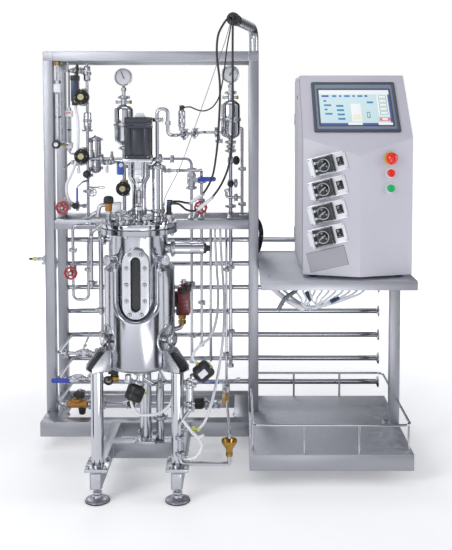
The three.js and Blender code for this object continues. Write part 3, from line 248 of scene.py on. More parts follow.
finishes = {
    "brushedX": brushedStainless("X"), "brushedY": brushedStainless("Y"), "brushedZ": brushedStainless("Z"),
    "rolled": polishedStainless("rolledStainlessSheet", "C9CBD2", 0.55, 300, 0.03),
    "polished": polishedStainless("mirrorStainless", "C2C4CA", 0.08, 60, 0.12),
    "drum": polishedStainless("electropolishedStainless", "ABADB4", 0.16, 180, 0.02),
    "satin": polishedStainless("satinStainless", "BEC0C6", 0.26, 90, 0.03),
    "tube": polishedStainless("drawnStainlessTube", "B6B8BF", 0.14, 90, 0.03),
    "cast": castStainless(),
    "brass": turnedBrass(),
    "cabinet": powderCoat("powderCoatLavenderGrey", "B4B3BD"),
    "blankPlate": powderCoat("powderCoatPewter", "94949C"),
    "motor": powderCoat("powderCoatSlate", "1E2530", 0.4),
    "black": mouldedPlastic("mouldedNylonBlack", "17181B", 0.42),
    "blackGloss": mouldedPlastic("mouldedPolycarbonateBlack", "0E0F12", 0.16, 2.5),
    "bezel": mouldedPlastic("mouldedAbsSlate", "3B4350", 0.38),
    "bezelPale": mouldedPlastic("mouldedAbsBlueGrey", "6E7A8C", 0.4),
    "white": mouldedPlastic("mouldedPomWhite", "CFD1D6", 0.35),
    "grey": mouldedPlastic("mouldedAbsGrey", "8B9098", 0.45),
    "anodised": polishedStainless("anodisedAluminium", "D2D4D9", 0.38, 50, 0.03),
    "yellow": mouldedPlastic("mouldedAbsYellow", "D2A81C", 0.35),
    "cream": mouldedPlastic("mouldedAbsCream", "BDB48C", 0.35),
    "gold": mouldedPlastic("mouldedAbsGold", "C49A45", 0.35),
    "lime": mouldedPlastic("mouldedAbsLime", "B9BE58", 0.35),
    "redPlastic": mouldedPlastic("mouldedAbsRed", "D3201A", 0.22, 2, Coat_Weight=0.4),
    "greenPlastic": mouldedPlastic("mouldedAbsGreen", "12A25A", 0.24, 2, Coat_Weight=0.4),
    "blueVinyl": mouldedPlastic("dippedVinylBlue", "2A3FA0", 0.3, 3),
    "bluePlastic": mouldedPlastic("mouldedAbsBlue", "2A58A6", 0.32),
    "navy": mouldedPlastic("paintedAluminiumNavy", "26344F", 0.3),
    "redEnamel": castEnamel("enamelRed", "A8161F"),
    "pumpRed": castEnamel("enamelCrimson", "7C0F19"),
    "ochre": castEnamel("enamelOchre", "A87218"),
    "rubber": mouldedPlastic("extrudedRubberBlack", "1C1D20", 0.5, 1.5),
    "greyCable": mouldedPlastic("extrudedPvcGrey", "6B6E74", 0.45, 1.5),
    "silicone": extrudedHose("extrudedSiliconeWhite", "D8DAE0", 0.3, 0.0),
    "polyHose": extrudedHose("extrudedPolyurethaneClear", "D4D7DC", 0.2, 0.15),
    # painted shade: the sight glass is tinted near black and lets less light through, standing in for the dim
    # inside of the vessel behind it
    "sightGlass": clearGlass("castBorosilicate", "30343B", 0.03, 1.47, True),
    "acrylic": clearGlass("machinedAcrylic", "E3E8EE", 0.06, 1.49),
    "clear": clearGlass("mouldedPolycarbonateClear", "F1F3F6", 0.04, 1.2),
    "dialWhite": mouldedPlastic("printedDialWhite", "C3C5CA", 0.3),
}
display = {"White": "F4F8FB", "Pale": "CFE7EE", "Blue": "2F86B8", "Navy": "4A5AA8", "Green": "4FA088",
           "Cream": "F3EFD2", "Rose": "E57C7C"}
for tone, colour in display.items():
    glow = 0.9 if tone in ("Blue", "Navy", "Green") else 0.92
    finishes[f"screen{tone}"] = litScreen(f"display{tone}", colour, glow)
print("materials made:", len(finishes))


def ringPoints(count):
    return [(math.cos(2 * math.pi * i / count), math.sin(2 * math.pi * i / count)) for i in range(count)]


def soften(profile, edge):
    # each sharp corner of a turned outline becomes a small chamfer
    if edge <= 0 or len(profile) < 3:
        return list(profile)
    made = [profile[0]]
    for before, here, after in zip(profile, profile[1:], profile[2:]):
        into = Vector(here) - Vector(before)
        out = Vector(after) - Vector(here)
        if into.length < 1e-6 or out.length < 1e-6 or into.angle(out) < math.radians(25):
            made.append(here)
            continue
        reach = min(edge, into.length * 0.4, out.length * 0.4)
        made.append(tuple(Vector(here) - into.normalized() * reach))
        made.append(tuple(Vector(here) + out.normalized() * reach))
    return made + [profile[-1]]


def bendRoute(corners, radius, steps=7):
    # straight runs joined by arcs, as a bent tube is
    route = [Vector(corners[0])]
    for before, here, after in zip(corners, corners[1:], corners[2:]):
        corner = Vector(here)
        back, ahead = (Vector(before) - corner), (Vector(after) - corner)
        half = back.angle(ahead) / 2
        if half > math.radians(88):
            route.append(corner)
            continue
        reach = min(radius, min(back.length, ahead.length) * 0.48 * math.tan(half))
        back.normalize()
        ahead.normalize()
        trim = reach / math.tan(half)
        centre = corner + (back + ahead).normalized() * reach / math.sin(half)
        start, end = corner + back * trim - centre, corner + ahead * trim - centre
        turn, axis = start.angle(end), start.cross(end).normalized()
        route += [centre + Matrix.Rotation(turn * k / steps, 3, axis) @ start for k in range(steps + 1)]
    return route + [Vector(corners[-1])]


def smoothRoute(points, between=6):
    # a centripetal curve through chosen points, for hoses and cables
    knots = [Vector(p) for p in points]
    knots = [knots[0] * 2 - knots[1]] + knots + [knots[-1] * 2 - knots[-2]]
    route = []
    for p0, p1, p2, p3 in zip(knots, knots[1:], knots[2:], knots[3:]):
        t0 = 0
        t1 = t0 + math.sqrt((p1 - p0).length)
        t2 = t1 + math.sqrt((p2 - p1).length)
        t3 = t2 + math.sqrt((p3 - p2).length)
        for k in range(between):
            t = t1 + (t2 - t1) * k / between
            a = p0 * ((t1 - t) / (t1 - t0)) + p1 * ((t - t0) / (t1 - t0))
            b = p1 * ((t2 - t) / (t2 - t1)) + p2 * ((t - t1) / (t2 - t1))
            c = p2 * ((t3 - t) / (t3 - t2)) + p3 * ((t - t2) / (t3 - t2))
            d = a * ((t2 - t) / (t2 - t0)) + b * ((t - t0) / (t2 - t0))
            e = b * ((t3 - t) / (t3 - t1)) + c * ((t - t1) / (t3 - t1))
            route.append(d * ((t2 - t) / (t2 - t1)) + e * ((t - t1) / (t2 - t1)))
    return route + [knots[-2]]


def unit(direction):
    return Vector(direction).normalized()


def moved(x, y, z=0):
    return Matrix.Translation((x, y, z))


def standing(foot, head):
    # a frame whose Z runs from foot to head
    foot, head = Vector(foot), Vector(head)
    return Matrix.Translation(foot) @ (head - foot).to_track_quat("Z", "Y").to_matrix().to_4x4()


def facing(place, across, upward):
    # a frame with X across, Y up and Z out of a face
    across, upward = unit(across), unit(upward)
    out = across.cross(upward)
    made = Matrix((across, upward, out)).transposed().to_4x4()
    return Matrix.Translation(Vector(place)) @ made


def stadium(width, height, steps=12):
    radius, straight = width / 2, (height - width) / 2
    return [(radius * math.cos(start + math.pi * i / steps),
             sign * straight + radius * math.sin(start + math.pi * i / steps))
            for sign, start in ((1, 0), (-1, math.pi)) for i in range(steps + 1)]


def rectangle(width, height, corner=0, steps=5, centre=(0, 0)):
    w, h = width / 2 - corner, height / 2 - corner
    if corner <= 0:
        return [(centre[0] + x, centre[1] + y) for x, y in ((w, -h), (w, h), (-w, h), (-w, -h))]
    return [(centre[0] + sx * w + corner * math.cos(a), centre[1] + sy * h + corner * math.sin(a))
            for sx, sy, first in ((1, 1, 0), (-1, 1, 90), (-1, -1, 180), (1, -1, 270))
            for a in (math.radians(first + 90 * i / steps) for i in range(steps + 1))]


def circle(radius, centre=(0, 0), count=28):
    return [(centre[0] + radius * c, centre[1] + radius * s) for c, s in ringPoints(count)]


class Build:
    # gathers the surfaces of one piece; every length is in millimetres from the datum
    def __init__(self):
        self.points, self.faces, self.slots, self.used = [], [], [], []

    def put(self, points, faces, finish, place=None):
        first = len(self.points)
        self.points += [tuple(place @ Vector(p)) for p in points] if place else [tuple(p) for p in points]
        self.faces += [tuple(first + i for i in face) for face in faces]
        if finish not in self.used:
            self.used.append(finish)
        self.slots += [self.used.index(finish)] * len(faces)

    def turned(self, profile, finish, place=None, sides=32, edge=0.6, closed=False):
        # a turned surface about Z: the outline is (radius, height) pairs, bottom to top
        points, rings, faces = [], [], []
        for radius, height in soften(profile, edge):
            if radius < 1e-6:
                rings.append([len(points)])
                points.append((0, 0, height))
            else:
                rings.append(list(range(len(points), len(points) + sides)))
                points += [(radius * c, radius * s, height) for c, s in ringPoints(sides)]
        for low, high in zip(rings, rings[1:] + ([rings[0]] if closed else [])):
            for i in range(sides):
                j = (i + 1) % sides
                if len(low) == 1 and len(high) > 1:
                    faces.append((low[0], high[j], high[i]))
                elif len(high) == 1 and len(low) > 1:
                    faces.append((low[i], low[j], high[0]))
                elif len(low) > 1:
                    faces.append((low[i], low[j], high[j], high[i]))
        self.put(points, faces, finish, place)

    def bar(self, foot, head, radius, finish, sides=24, edge=0.6):
        length = (Vector(head) - Vector(foot)).length
        outline = [(0, 0), (radius, 0), (radius, length), (0, length)]
        self.turned(outline, finish, standing(foot, head), sides, edge)

    def hexBar(self, foot, head, radius, finish):
        self.bar(foot, head, radius, finish, 6, 0.8)

    def ring(self, centre, axis, radius, thick, finish, sides=32, around=10):
        outline = [(radius + thick * c, thick * s) for c, s in ringPoints(around)]
        place = standing(centre, Vector(centre) + Vector(axis))
        self.turned(outline, finish, place, sides, 0, True)

    def block(self, low, high, finish, edge=1.0, place=None):
        # a box with a small chamfer on every edge
        low, high = Vector(map(min, low, high)), Vector(map(max, low, high))
        size = high - low
        e = min(edge, min(size) * 0.4)
        mesh = bmesh.new()
        bmesh.ops.create_cube(mesh, size=1,
                              matrix=Matrix.Translation((low + high) / 2) @ Matrix.Diagonal((*size, 1)))
        bmesh.ops.bevel(mesh, geom=mesh.edges[:], offset=e, segments=2, profile=0.5, affect="EDGES")
        self.take(mesh, finish, place)

    def take(self, mesh, finish, place=None):
        mesh.verts.index_update()
        self.put([v.co for v in mesh.verts], [[v.index for v in f.verts] for f in mesh.faces], finish, place)
        mesh.free()

    def prism(self, points, faces, finish, edge=1.0):
        # a flat-sided body from its corners, with chamfered edges
        mesh = bmesh.new()
        corners = [mesh.verts.new(p) for p in points]
        for face in faces:
            mesh.faces.new([corners[i] for i in face])
        bmesh.ops.recalc_face_normals(mesh, faces=mesh.faces[:])
        bmesh.ops.bevel(mesh, geom=mesh.edges[:], offset=edge, segments=2, profile=0.5, affect="EDGES")
        self.take(mesh, finish)

    def plate(self, outlines, thick, finish, place=None, edge=0.4):
        # a flat sheet from z 0 to thick: the first outline is its rim, the rest are holes
        curve = bpy.data.curves.new("outline", "CURVE")
        curve.dimensions, curve.fill_mode = "2D", "BOTH"
        curve.extrude, curve.bevel_depth, curve.offset = max(thick / 2 - edge, 0.01), edge, -edge
        curve.bevel_resolution = 1
        for outline in outlines:
            spline = curve.splines.new("POLY")
            spline.points.add(len(outline) - 1)
            for point, (x, y) in zip(spline.points, outline):
                point.co = (x, y, 0, 1)
            spline.use_cyclic_u = True
        holder = bpy.data.objects.new("outline", curve)
        sheet = bpy.data.meshes.new_from_object(holder)
        mesh = bmesh.new()
        mesh.from_mesh(sheet)
        bmesh.ops.remove_doubles(mesh, verts=mesh.verts[:], dist=1e-4)
        bmesh.ops.recalc_face_normals(mesh, faces=mesh.faces[:])
        bpy.data.objects.remove(holder)
        bpy.data.curves.remove(curve)
        bpy.data.meshes.remove(sheet)
        bmesh.ops.translate(mesh, verts=mesh.verts[:], vec=(0, 0, thick / 2))
        self.take(mesh, finish, place)

    def sweep(self, route, radius, finish, sides=16):
        # a round bar along a route, closed at both ends
        points, faces = [], []
        across = None
        route = [Vector(p) for p in route]
        for i, here in enumerate(route):
            ahead = route[min(i + 1, len(route) - 1)] - route[max(i - 1, 0)]
            ahead.normalize()
            if across is None:
                across = ahead.orthogonal().normalized()
            across = (across - ahead * across.dot(ahead)).normalized()
            side = ahead.cross(across)
            points += [here + (across * c + side * s) * radius for c, s in ringPoints(sides)]
        for k in range(len(route) - 1):
            a, b = k * sides, (k + 1) * sides
            faces += [(a + i, a + (i + 1) % sides, b + (i + 1) % sides, b + i) for i in range(sides)]
        faces.append(tuple(reversed(range(sides))))
        faces.append(tuple(range(len(points) - sides, len(points))))
        self.put(points, faces, finish)

    def tube(self, corners, radius, finish, bend=22):
        self.sweep(bendRoute(corners, bend), radius, finish)

    def hose(self, points, radius, finish, sides=12):
        self.sweep(smoothRoute(points), radius, finish, sides)

    def holder(self):
        mesh = bpy.data.meshes.new("solid")
        mesh.from_pydata(self.points, [], self.faces)
        mesh.polygons.foreach_set("material_index", self.slots)
        return addObject("solid", mesh)

    def carve(self, *tools):
        # cuts the tools' shapes out of everything gathered so far
        whole, cutters = self.holder(), [tool.holder() for tool in tools]
        for cutter in cutters:
            cut = whole.modifiers.new("cut", "BOOLEAN")
            cut.operation, cut.solver, cut.object = "DIFFERENCE", "EXACT", cutter
        shown = whole.evaluated_get(bpy.context.evaluated_depsgraph_get()).to_mesh()
        self.points = [tuple(v.co) for v in shown.vertices]
        self.faces = [tuple(f.vertices) for f in shown.polygons]
        self.slots = [min(f.material_index, len(self.used) - 1) for f in shown.polygons]
        for old in [whole] + cutters:
            bpy.data.objects.remove(old)

    def join(self, other):
        for finish in other.used:
            chosen = [face for face, slot in zip(other.faces, other.slots) if other.used[slot] == finish]
            self.put(other.points, chosen, finish)

    def make(self, name, replaces=(), body="root"):
        mesh = bpy.data.meshes.new(name)
        mesh.from_pydata([metres(p) for p in self.points], [], self.faces)
        for finish in self.used:
            mesh.materials.append(finishes[finish])
        mesh.polygons.foreach_set("material_index", self.slots)
        mesh.shade_smooth()
        mesh.set_sharp_from_angle(angle=math.radians(33))
        piece = addObject(name, mesh)
        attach(piece, body)
        if replaces:
            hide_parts(*replaces)
        triangles = sum(len(face) - 2 for face in self.faces)
        print(f"{name}: {triangles} triangles")
        return piece


def wingNut(b, at, axis, spread, size=5):
    # hub and two ears; spread is the direction the ears reach
    at, axis, spread = Vector(at), unit(axis), unit(spread)
    b.bar(at, at + axis * size * 1.4, size * 0.75, "cast", 14)
    for sign in (-1, 1):
        ear = facing(at + axis * size * 0.7 + spread * sign * size * 1.3, spread, axis)
        b.plate([stadium(size * 1.2, size * 2.2, 5)], 2.2, "cast", ear @ moved(0, size * 0.35, -1.1), 0.5)


def clamp(b, at, axis, radius, side=None):
    # two ferrules held by a hinged ring with a wing nut, on a line of the given radius
    at, axis = Vector(at), unit(axis)
    side = unit(side) if side else axis.orthogonal().normalized()
    rim = radius + 6
    place = standing(at - axis * 9, at + axis * 9)
    b.turned([(radius - 1, 0), (radius + 0.5, 2), (rim - 1, 6), (rim, 8), (rim, 8.7), (rim - 0.7, 9),
              (rim, 9.3), (rim, 10), (rim - 1, 12), (radius + 0.5, 16), (radius - 1, 18)], "polished",
             place, 28, 0)
    b.turned([(rim - 4, 1), (rim + 1.8, 2.4), (rim + 3.2, 5), (rim + 3.2, 13), (rim + 1.8, 15.6),
              (rim - 4, 17)], "cast", place, 28, 0.5)
    turn = axis.cross(side).normalized()
    for sign in (-1, 1):
        lug = facing(at + side * sign * (rim + 4), side, axis)
        b.block((-4.5, -5.5, -5), (4.5, 5.5, 5), "cast", 2, lug)
    b.bar(at + side * (rim + 5) - turn * 8, at + side * (rim + 5) + turn * 12, 2.4, "cast", 10, 0.3)
    wingNut(b, at + side * (rim + 5) + turn * 7, turn, axis, 5)


def clampsUp(b, x, y, heights, radius, side=None):
    # clamps at several heights of one upright line
    for z in heights:
        clamp(b, (x, y, z), axisZ, radius, side)


def nut(b, at, axis, radius, length, finish="satin"):
    at, axis = Vector(at), unit(axis)
    b.hexBar(at - axis * length / 2, at + axis * length / 2, radius, finish)


def bolt(b, at, axis, radius, head, finish="satin"):
    # socket head: a round head with its recess
    at, axis = Vector(at), unit(axis)
    place = standing(at, at + axis)
    b.turned([(radius, 0), (radius, head), (radius * 0.5, head), (radius * 0.5, head * 0.35),
              (0, head * 0.35)], finish, place, 14, 0.4)


def domeCap(b, at, axis, radius, height):
    at, axis = Vector(at), unit(axis)
    outline = [(radius * math.cos(a), height * math.sin(a)) for a in (math.radians(15 * i) for i in range(7))]
    b.turned([(0, 0)] + outline[:-1] + [(0, height)], "polished", standing(at, at + axis), 20, 0)


def actuator(b, centre, axis, radius, depth, mark="cream"):
    # pneumatic head: ribbed black body with cover screws and a bright position window
    centre, axis = Vector(centre), unit(axis)
    place = standing(centre - axis * depth / 2, centre + axis * depth / 2)
    outline = [(radius * 0.5, 0), (radius * 0.82, 2), (radius, 7), (radius, depth * 0.44),
               (radius * 0.95, depth * 0.47), (radius * 0.95, depth * 0.53), (radius, depth * 0.56),
               (radius, depth - 8), (radius * 0.86, depth - 2), (radius * 0.7, depth),
               (radius * 0.66, depth - 4), (radius * 0.46, depth - 4), (radius * 0.43, depth + 1),
               (radius * 0.36, depth + 1), (radius * 0.34, depth - 1), (0, depth - 1)]
    b.turned(outline, "black", place, 36, 0.8)
    for c, s in ringPoints(10):
        rib = place @ moved(c * radius * 0.97, s * radius * 0.97) @ Matrix.Rotation(math.atan2(s, c), 4, "Z")
        b.block((-1, -1.6, 7), (1.6, 1.6, depth - 8), "black", 0.5, rib)
    for c, s in ringPoints(4):
        bolt(b, place @ Vector((c * radius * 0.78, s * radius * 0.78, depth - 1.6)), axis, 2.2, 1.6)
    for c, s in ringPoints(16):
        b.bar(place @ Vector((c * radius * 0.56, s * radius * 0.56, depth - 4.2)),
              place @ Vector((c * radius * 0.56, s * radius * 0.56, depth - 1)), radius * 0.07, "black", 10,
              0.2)
    b.bar(place @ Vector((0, 0, depth - 4)), place @ Vector((0, 0, depth + 4)), radius * 0.42, mark, 26, 1.2)
    for i in range(4):
        y = (i - 1.5) * radius * 0.18
        b.block((-radius * 0.34, y - 0.5, depth + 3.4), (radius * 0.34, y + 0.5, depth + 4.5), "black", 0.2,
                place)


def ballBody(b, at, axis, radius, stem):
    # three-piece ball valve: round ends, square middle held by four tie bolts, stem towards the handle
    at, axis, stem = Vector(at), unit(axis), unit(stem)
    third = axis.cross(stem)
    place = facing(at, third, axis)
    b.block((-radius - 5, -9, -radius - 5), (radius + 5, 9, radius + 5), "satin", 3, place)
    for sign in (-1, 1):
        b.hexBar(at + axis * sign * 8, at + axis * sign * 24, radius + 5, "satin")
        b.bar(at + axis * sign * 23, at + axis * sign * 32, radius + 2, "satin", 20)
        for across, deep in fourCorners:
            corner = at + third * across * (radius + 3) + stem * deep * (radius + 3)
            nut(b, corner + axis * sign * 12, axis, 4, 5)
    for across, deep in fourCorners:
        corner = at + third * across * (radius + 3) + stem * deep * (radius + 3)
        b.bar(corner - axis * 18, corner + axis * 18, 2.2, "satin", 10, 0.3)


def gaugeDial(b, centre, axis, radius, depth, needle=-25):
    # steel case with a printed white dial, ticks and a black needle
    centre, axis = Vector(centre), unit(axis)
    back = centre - axis * depth / 2
    place = standing(back, centre + axis)
    face = facing(centre + axis * (depth / 2 - 4.2), axisX if abs(axis.x) < 0.7 else axisY, axisZ)
    b.turned([(0, 0), (radius - 5, 0), (radius - 2, 2), (radius - 2, depth - 9), (radius, depth - 8),
              (radius, depth - 1), (radius - 2, depth), (radius - 5, depth - 1), (radius - 6, depth - 4)],
             "tube", place, 40, 0.5)
    b.ring(centre + axis * (depth / 2 - 3.4), axis, radius - 5.4, 0.9, "black", 40, 8)
    b.turned([(radius - 5.4, depth - 4.4), (0, depth - 4.4)], "dialWhite", place, 40, 0)
    for i in range(21):
        tick = face @ Matrix.Rotation(math.radians(-135 + 13.5 * i), 4, "Z")
        long = 5 if i % 5 == 0 else 3
        b.block((-0.35, radius - 7.5 - long, 0.1), (0.35, radius - 7.5, 0.5), "black", 0.1, tick)
    pointer = face @ Matrix.Rotation(math.radians(needle), 4, "Z")
    b.block((-1.3, -9, 0.9), (1.3, radius - 10, 1.5), "black", 0.2, pointer)
    b.bar(face @ Vector((0, 0, 0.2)), face @ Vector((0, 0, 2.4)), 2.6, "black", 14, 0.3)


def solenoid(b, foot, length, radius):
    # coil on a brass body, with its plug on one side
    place = standing(foot, Vector(foot) + axisZ)
    b.block((-radius, -radius, 6), (radius, radius, length - 6), "black", 3, place)
    b.bar(place @ Vector((0, 0, length - 7)), place @ Vector((0, 0, length)), radius * 0.5, "satin", 16)
    b.bar(place @ Vector((0, 0, -2)), place @ Vector((0, 0, 7)), radius * 0.6, "brass", 18)
    b.block((radius - 1, -radius * 0.55, 10), (radius + 11, radius * 0.55, length - 12), "black", 1.5, place)


def handle(b, at, direction, out, length, width, finish="blueVinyl"):
    # flat lever on a valve stem: steel at the hub, dipped grip with a rounded end
    direction, out = unit(direction), unit(out)
    place = facing(at, direction, out.cross(direction))
    shank = rectangle(length + 2, width * 0.62, 4, 4, (length / 2 - 9, 0))
    b.plate([shank, circle(width * 0.22, (0, 0), 16)], 2.6, "satin", place @ moved(0, 0, 0.6))
    grip = rectangle(length * 0.74, width, width * 0.48, 7, (length * 0.63, 0))
    b.plate([grip], 5, finish, place, 1.6)
    b.hexBar(place @ Vector((0, 0, 3)), place @ Vector((0, 0, 8)), 7, "satin")
    b.bar(place @ Vector((0, 0, 7)), place @ Vector((0, 0, 11)), 3.4, "satin", 14)


# routes repeat the part's own, in millimetres from the datum; each hangs between its two ends
cables = {
    "probe_cable_rear": {"radius": 4, "finish": "rubber", "slot": "cable_rubber", "route": [
        (769, -339, 1702), (764.5, -358.5, 1702), (748, -384, 1680), (727, -393, 1638), (721, -396, 1570),
        (732, -396, 1459), (728, -396, 1314), (718, -397, 1199), (701, -400, 1115), (665, -405, 1056),
        (624, -416, 1030), (584, -426.7, 1036), (561.3, -426.7, 1036)]},
    "probe_cable_front": {"radius": 4, "finish": "rubber", "slot": "cable_rubber", "route": [
        (784.6, -342.6, 1702), (780.1, -362.1, 1702), (779, -376, 1680), (778, -377, 1620), (778, -377, 1500),
        (778, -377, 1325), (765, -381, 1170), (738, -398, 1098), (700, -426, 1046), (654, -464, 1010),
        (618, -492, 1012), (590, -503, 1034), (568, -503, 1036)]},
    "transmitter_cable": {"radius": 2.5, "finish": "rubber", "slot": "cable_rubber", "route": [
        (605.4, -387, 1375), (624, -386, 1376), (648, -382, 1366), (674, -377, 1362), (702, -371, 1374),
        (724, -363, 1404), (737, -357, 1450), (748, -354, 1520), (758, -356, 1600), (768, -364, 1652),
        (773, -362, 1682), (774.6, -350.6, 1691), (776.8, -340.8, 1691)]},
    "air_hose_short": {"radius": 5, "finish": "polyHose", "slot": "hose_plastic", "route": [
        (700, 20, 877.2), (700, 20, 850), (702, 6, 815), (708, -60, 750), (718, -180, 670), (720, -300, 612),
        (712, -400, 575), (697, -490, 556), (676, -545, 550), (650, -578, 532), (641.1, -584.1, 508.6),
        (653.5, -584.1, 493.4)]},
    "air_hose_long": {"radius": 5, "finish": "polyHose", "slot": "hose_plastic", "route": [
        (722, 20, 877.2), (722, 20, 850), (724, 6, 810), (732, -70, 730), (742, -200, 640), (744, -330, 560),
        (736, -450, 480), (720, -540, 400), (700, -590, 330), (680, -600, 285), (660, -599.5, 262.4)]},
}


def makeCables():
    for name, cable in cables.items():
        b = Build()
        path = smoothRoute(cable["route"], 8)
        b.sweep(path, cable["radius"], cable["finish"], 16)
        piece = b.make(name + "_sheath", [name])


makeCables()
print("cables and hoses made")

skid = {"length": 839, "front": -120, "back": 280, "low": 55, "top": 115, "rail": 60, "corner": 3,
        "vesselX": (307, 587), "railHalf": 20, "railFront": -612, "cross": (-338, -278)}
foot = {"radius": 44, "stem": 10.5, "thread": 2.5,
        "places": ((50, 150), (789, 150), (307, -572), (587, -572)),
        "trayPlaces": ((1388, -273), (1388, 159))}


def levellingFoot(b, x, y, top):
    place = moved(x, y)
    r = foot["radius"]
    b.turned([(0, 0), (r - 2, 0), (r, 1.5), (r, 4), (r - 3, 5), (0, 5)], "rubber", place, 40)
    b.turned([(42.5, 4.8), (43.4, 6), (42, 8), (33, 11), (20, 13), (16, 17), (15, 24), (0, 24)], "satin",
             place, 40)
    threads = [(foot["stem"] - (i % 2), 22 + i * foot["thread"] / 2)
               for i in range(int((top - 24) / foot["thread"] * 2))]
    b.turned([(0, 22)] + threads + [(0, threads[-1][1] + 1)], "satin", place, 20, 0)
    b.hexBar((x, y, 27), (x, y, 34), 17, "satin")
    b.hexBar((x, y, top - 10), (x, y, top), 18, "satin")


def makeSkid():
    b = Build()
    x1, z0, z1, w, e = skid["length"], skid["low"], skid["top"], skid["rail"], skid["corner"]
    y0, y1 = skid["front"], skid["back"]
    b.block((0, y0, z0), (x1, y0 + w, z1), "brushedX", e)
    b.block((0, y1 - w, z0), (x1, y1, z1), "brushedX", e)
    for x in (0, x1 - w):
        b.block((x, y0 + w - 0.5, z0), (x + w, y1 - w + 0.5, z1), "brushedY", e)
    b.block((skid["vesselX"][0], skid["cross"][0], z0), (skid["vesselX"][1], skid["cross"][1], z1 - 0.4),
            "brushedX", e)
    for x in skid["vesselX"]:
        half = skid["railHalf"]
        b.block((x - half, skid["railFront"], z0), (x + half, y0 + 1, z1 - 0.2), "brushedY", e)
        b.block((x - half + 4, skid["railFront"] - 1.2, z0 + 4),
                (x + half - 4, skid["railFront"] + 2, z1 - 4), "satin", 1.5)
        for y in (y0, skid["cross"][0], skid["cross"][1]):
            for side in (-1, 1):
                weld = [(x + side * half, y, z0 + 4), (x + side * half, y, z1 - 4)]
                b.bar(*weld, 2.2, "satin", 10, 1)
    for x, y in foot["places"]:
        levellingFoot(b, x, y, z0)
    for x in (w + 0.5, x1 - w - 0.5):
        for y in (y0 + w, y1 - w):
            b.bar((x, y, z1 - 1.2), (x + (6 if x < 99 else -6), y, z1 - 1.2), 1.6, "satin", 8, 0.4)
    b.make("skid_rails", ["skid_base"])


makeSkid()

upright = {"length": 880, "depth": 280, "tube": 40, "corner": 3, "low": 115, "rearLow": 55, "top": 1607,
           "middle": 918}
cableArm = {"radius": 19, "height": 1700, "end": (777, -340), "bend": 60}


def makeUpright():
    b = Build()
    x1, y1, t, e = upright["length"], upright["depth"], upright["tube"], upright["corner"]
    for x in (0, x1 - t):
        for y in (0, y1 - t):
            low = upright["rearLow"] if x > 0 and y > 0 else upright["low"]
            b.block((x, y, low), (x + t, y + t, upright["top"] - t + 3), "brushedZ", e)
    for top in (upright["top"], upright["middle"]):
        for y in (0, y1 - t):
            ends = (0, x1) if top == upright["top"] else (t - 1, x1 - t + 1)
            inset = 0 if top == upright["top"] else 0.4
            b.block((ends[0], y + inset, top - t), (ends[1], y + t - inset, top - inset), "brushedX", e)
        for x in (0, x1 - t):
            b.block((x + 0.4, t - 1, top - t), (x + t - 0.4, y1 - t + 1, top - 0.3), "brushedY", e)
        for x in (t, x1 - t):
            for z in (top - t + 3, top - 3):
                b.bar((x, 2, z), (x, 3, z), 1.5, "satin", 8, 0.2)
            b.bar((x, 0.3, top - t + 2), (x, 0.3, top - 2), 1.1, "satin", 8, 0.3)
    corner = (x1 - t / 2, t / 2)
    endX, endY = cableArm["end"]
    r, z = cableArm["radius"], cableArm["height"]
    route = bendRoute([(*corner, upright["top"] - 4), (*corner, z), (endX, endY, z)], cableArm["bend"], 14)
    b.sweep(route[:-1] + [route[-1].lerp(route[-2], 0.1)], r, "satin", 32)
    b.ring((*corner, upright["top"] + 1), axisZ, r, 2, "satin")
    reach = (Vector((endX, endY, z)) - Vector((*corner, z))).normalized()
    tip = Vector((endX, endY, z))
    b.turned([(r - 4, 0), (r + 4, 0), (r + 5, 2), (r + 5, 12), (r + 3, 15), (r - 4, 15), (r - 6, 17),
              (6, 17), (6, 4), (0, 4)], "rubber", standing(tip - reach * 17, tip), 32, 0.8)
    for back in (34, 60):
        b.ring(tip - reach * back, reach, r + 0.6, 1.6, "rubber", 32, 8)
    b.make("upright_tubes", ["upright_frame"])


makeUpright()

tray = {"left": 839, "right": 1438, "front": -453, "back": 209, "low": 55, "top": 115, "sheet": 3}
guard = {"height": 220, "rod": 4.5, "inset": 12, "corner": 26, "leftGap": (-1, 41), "postGap": (-151, -111),
         "stop": 876}


def foldedPan(b, x0, x1, y0, y1, z0, z1, t):
    # a sheet folded down on four sides, its corners welded and ground
    b.block((x0, y0, z1 - t), (x1, y1, z1), "rolled", 1.6)
    b.block((x0, y0, z0), (x1, y0 + t, z1 - 0.2), "brushedX", 1.4)
    b.block((x0, y1 - t, z0), (x1, y1, z1 - 0.2), "brushedX", 1.4)
    b.block((x0, y0 + 0.5, z0), (x0 + t, y1 - 0.5, z1 - 0.2), "brushedY", 1.4)
    b.block((x1 - t, y0 + 0.5, z0), (x1, y1 - 0.5, z1 - 0.2), "brushedY", 1.4)
    for near, far in ((y0 + t, y0 + t + 12), (y1 - 12, y1)):
        b.block((x0 + t, near, z0), (x1 - t, far, z0 + 2), "brushedX", 0.6)


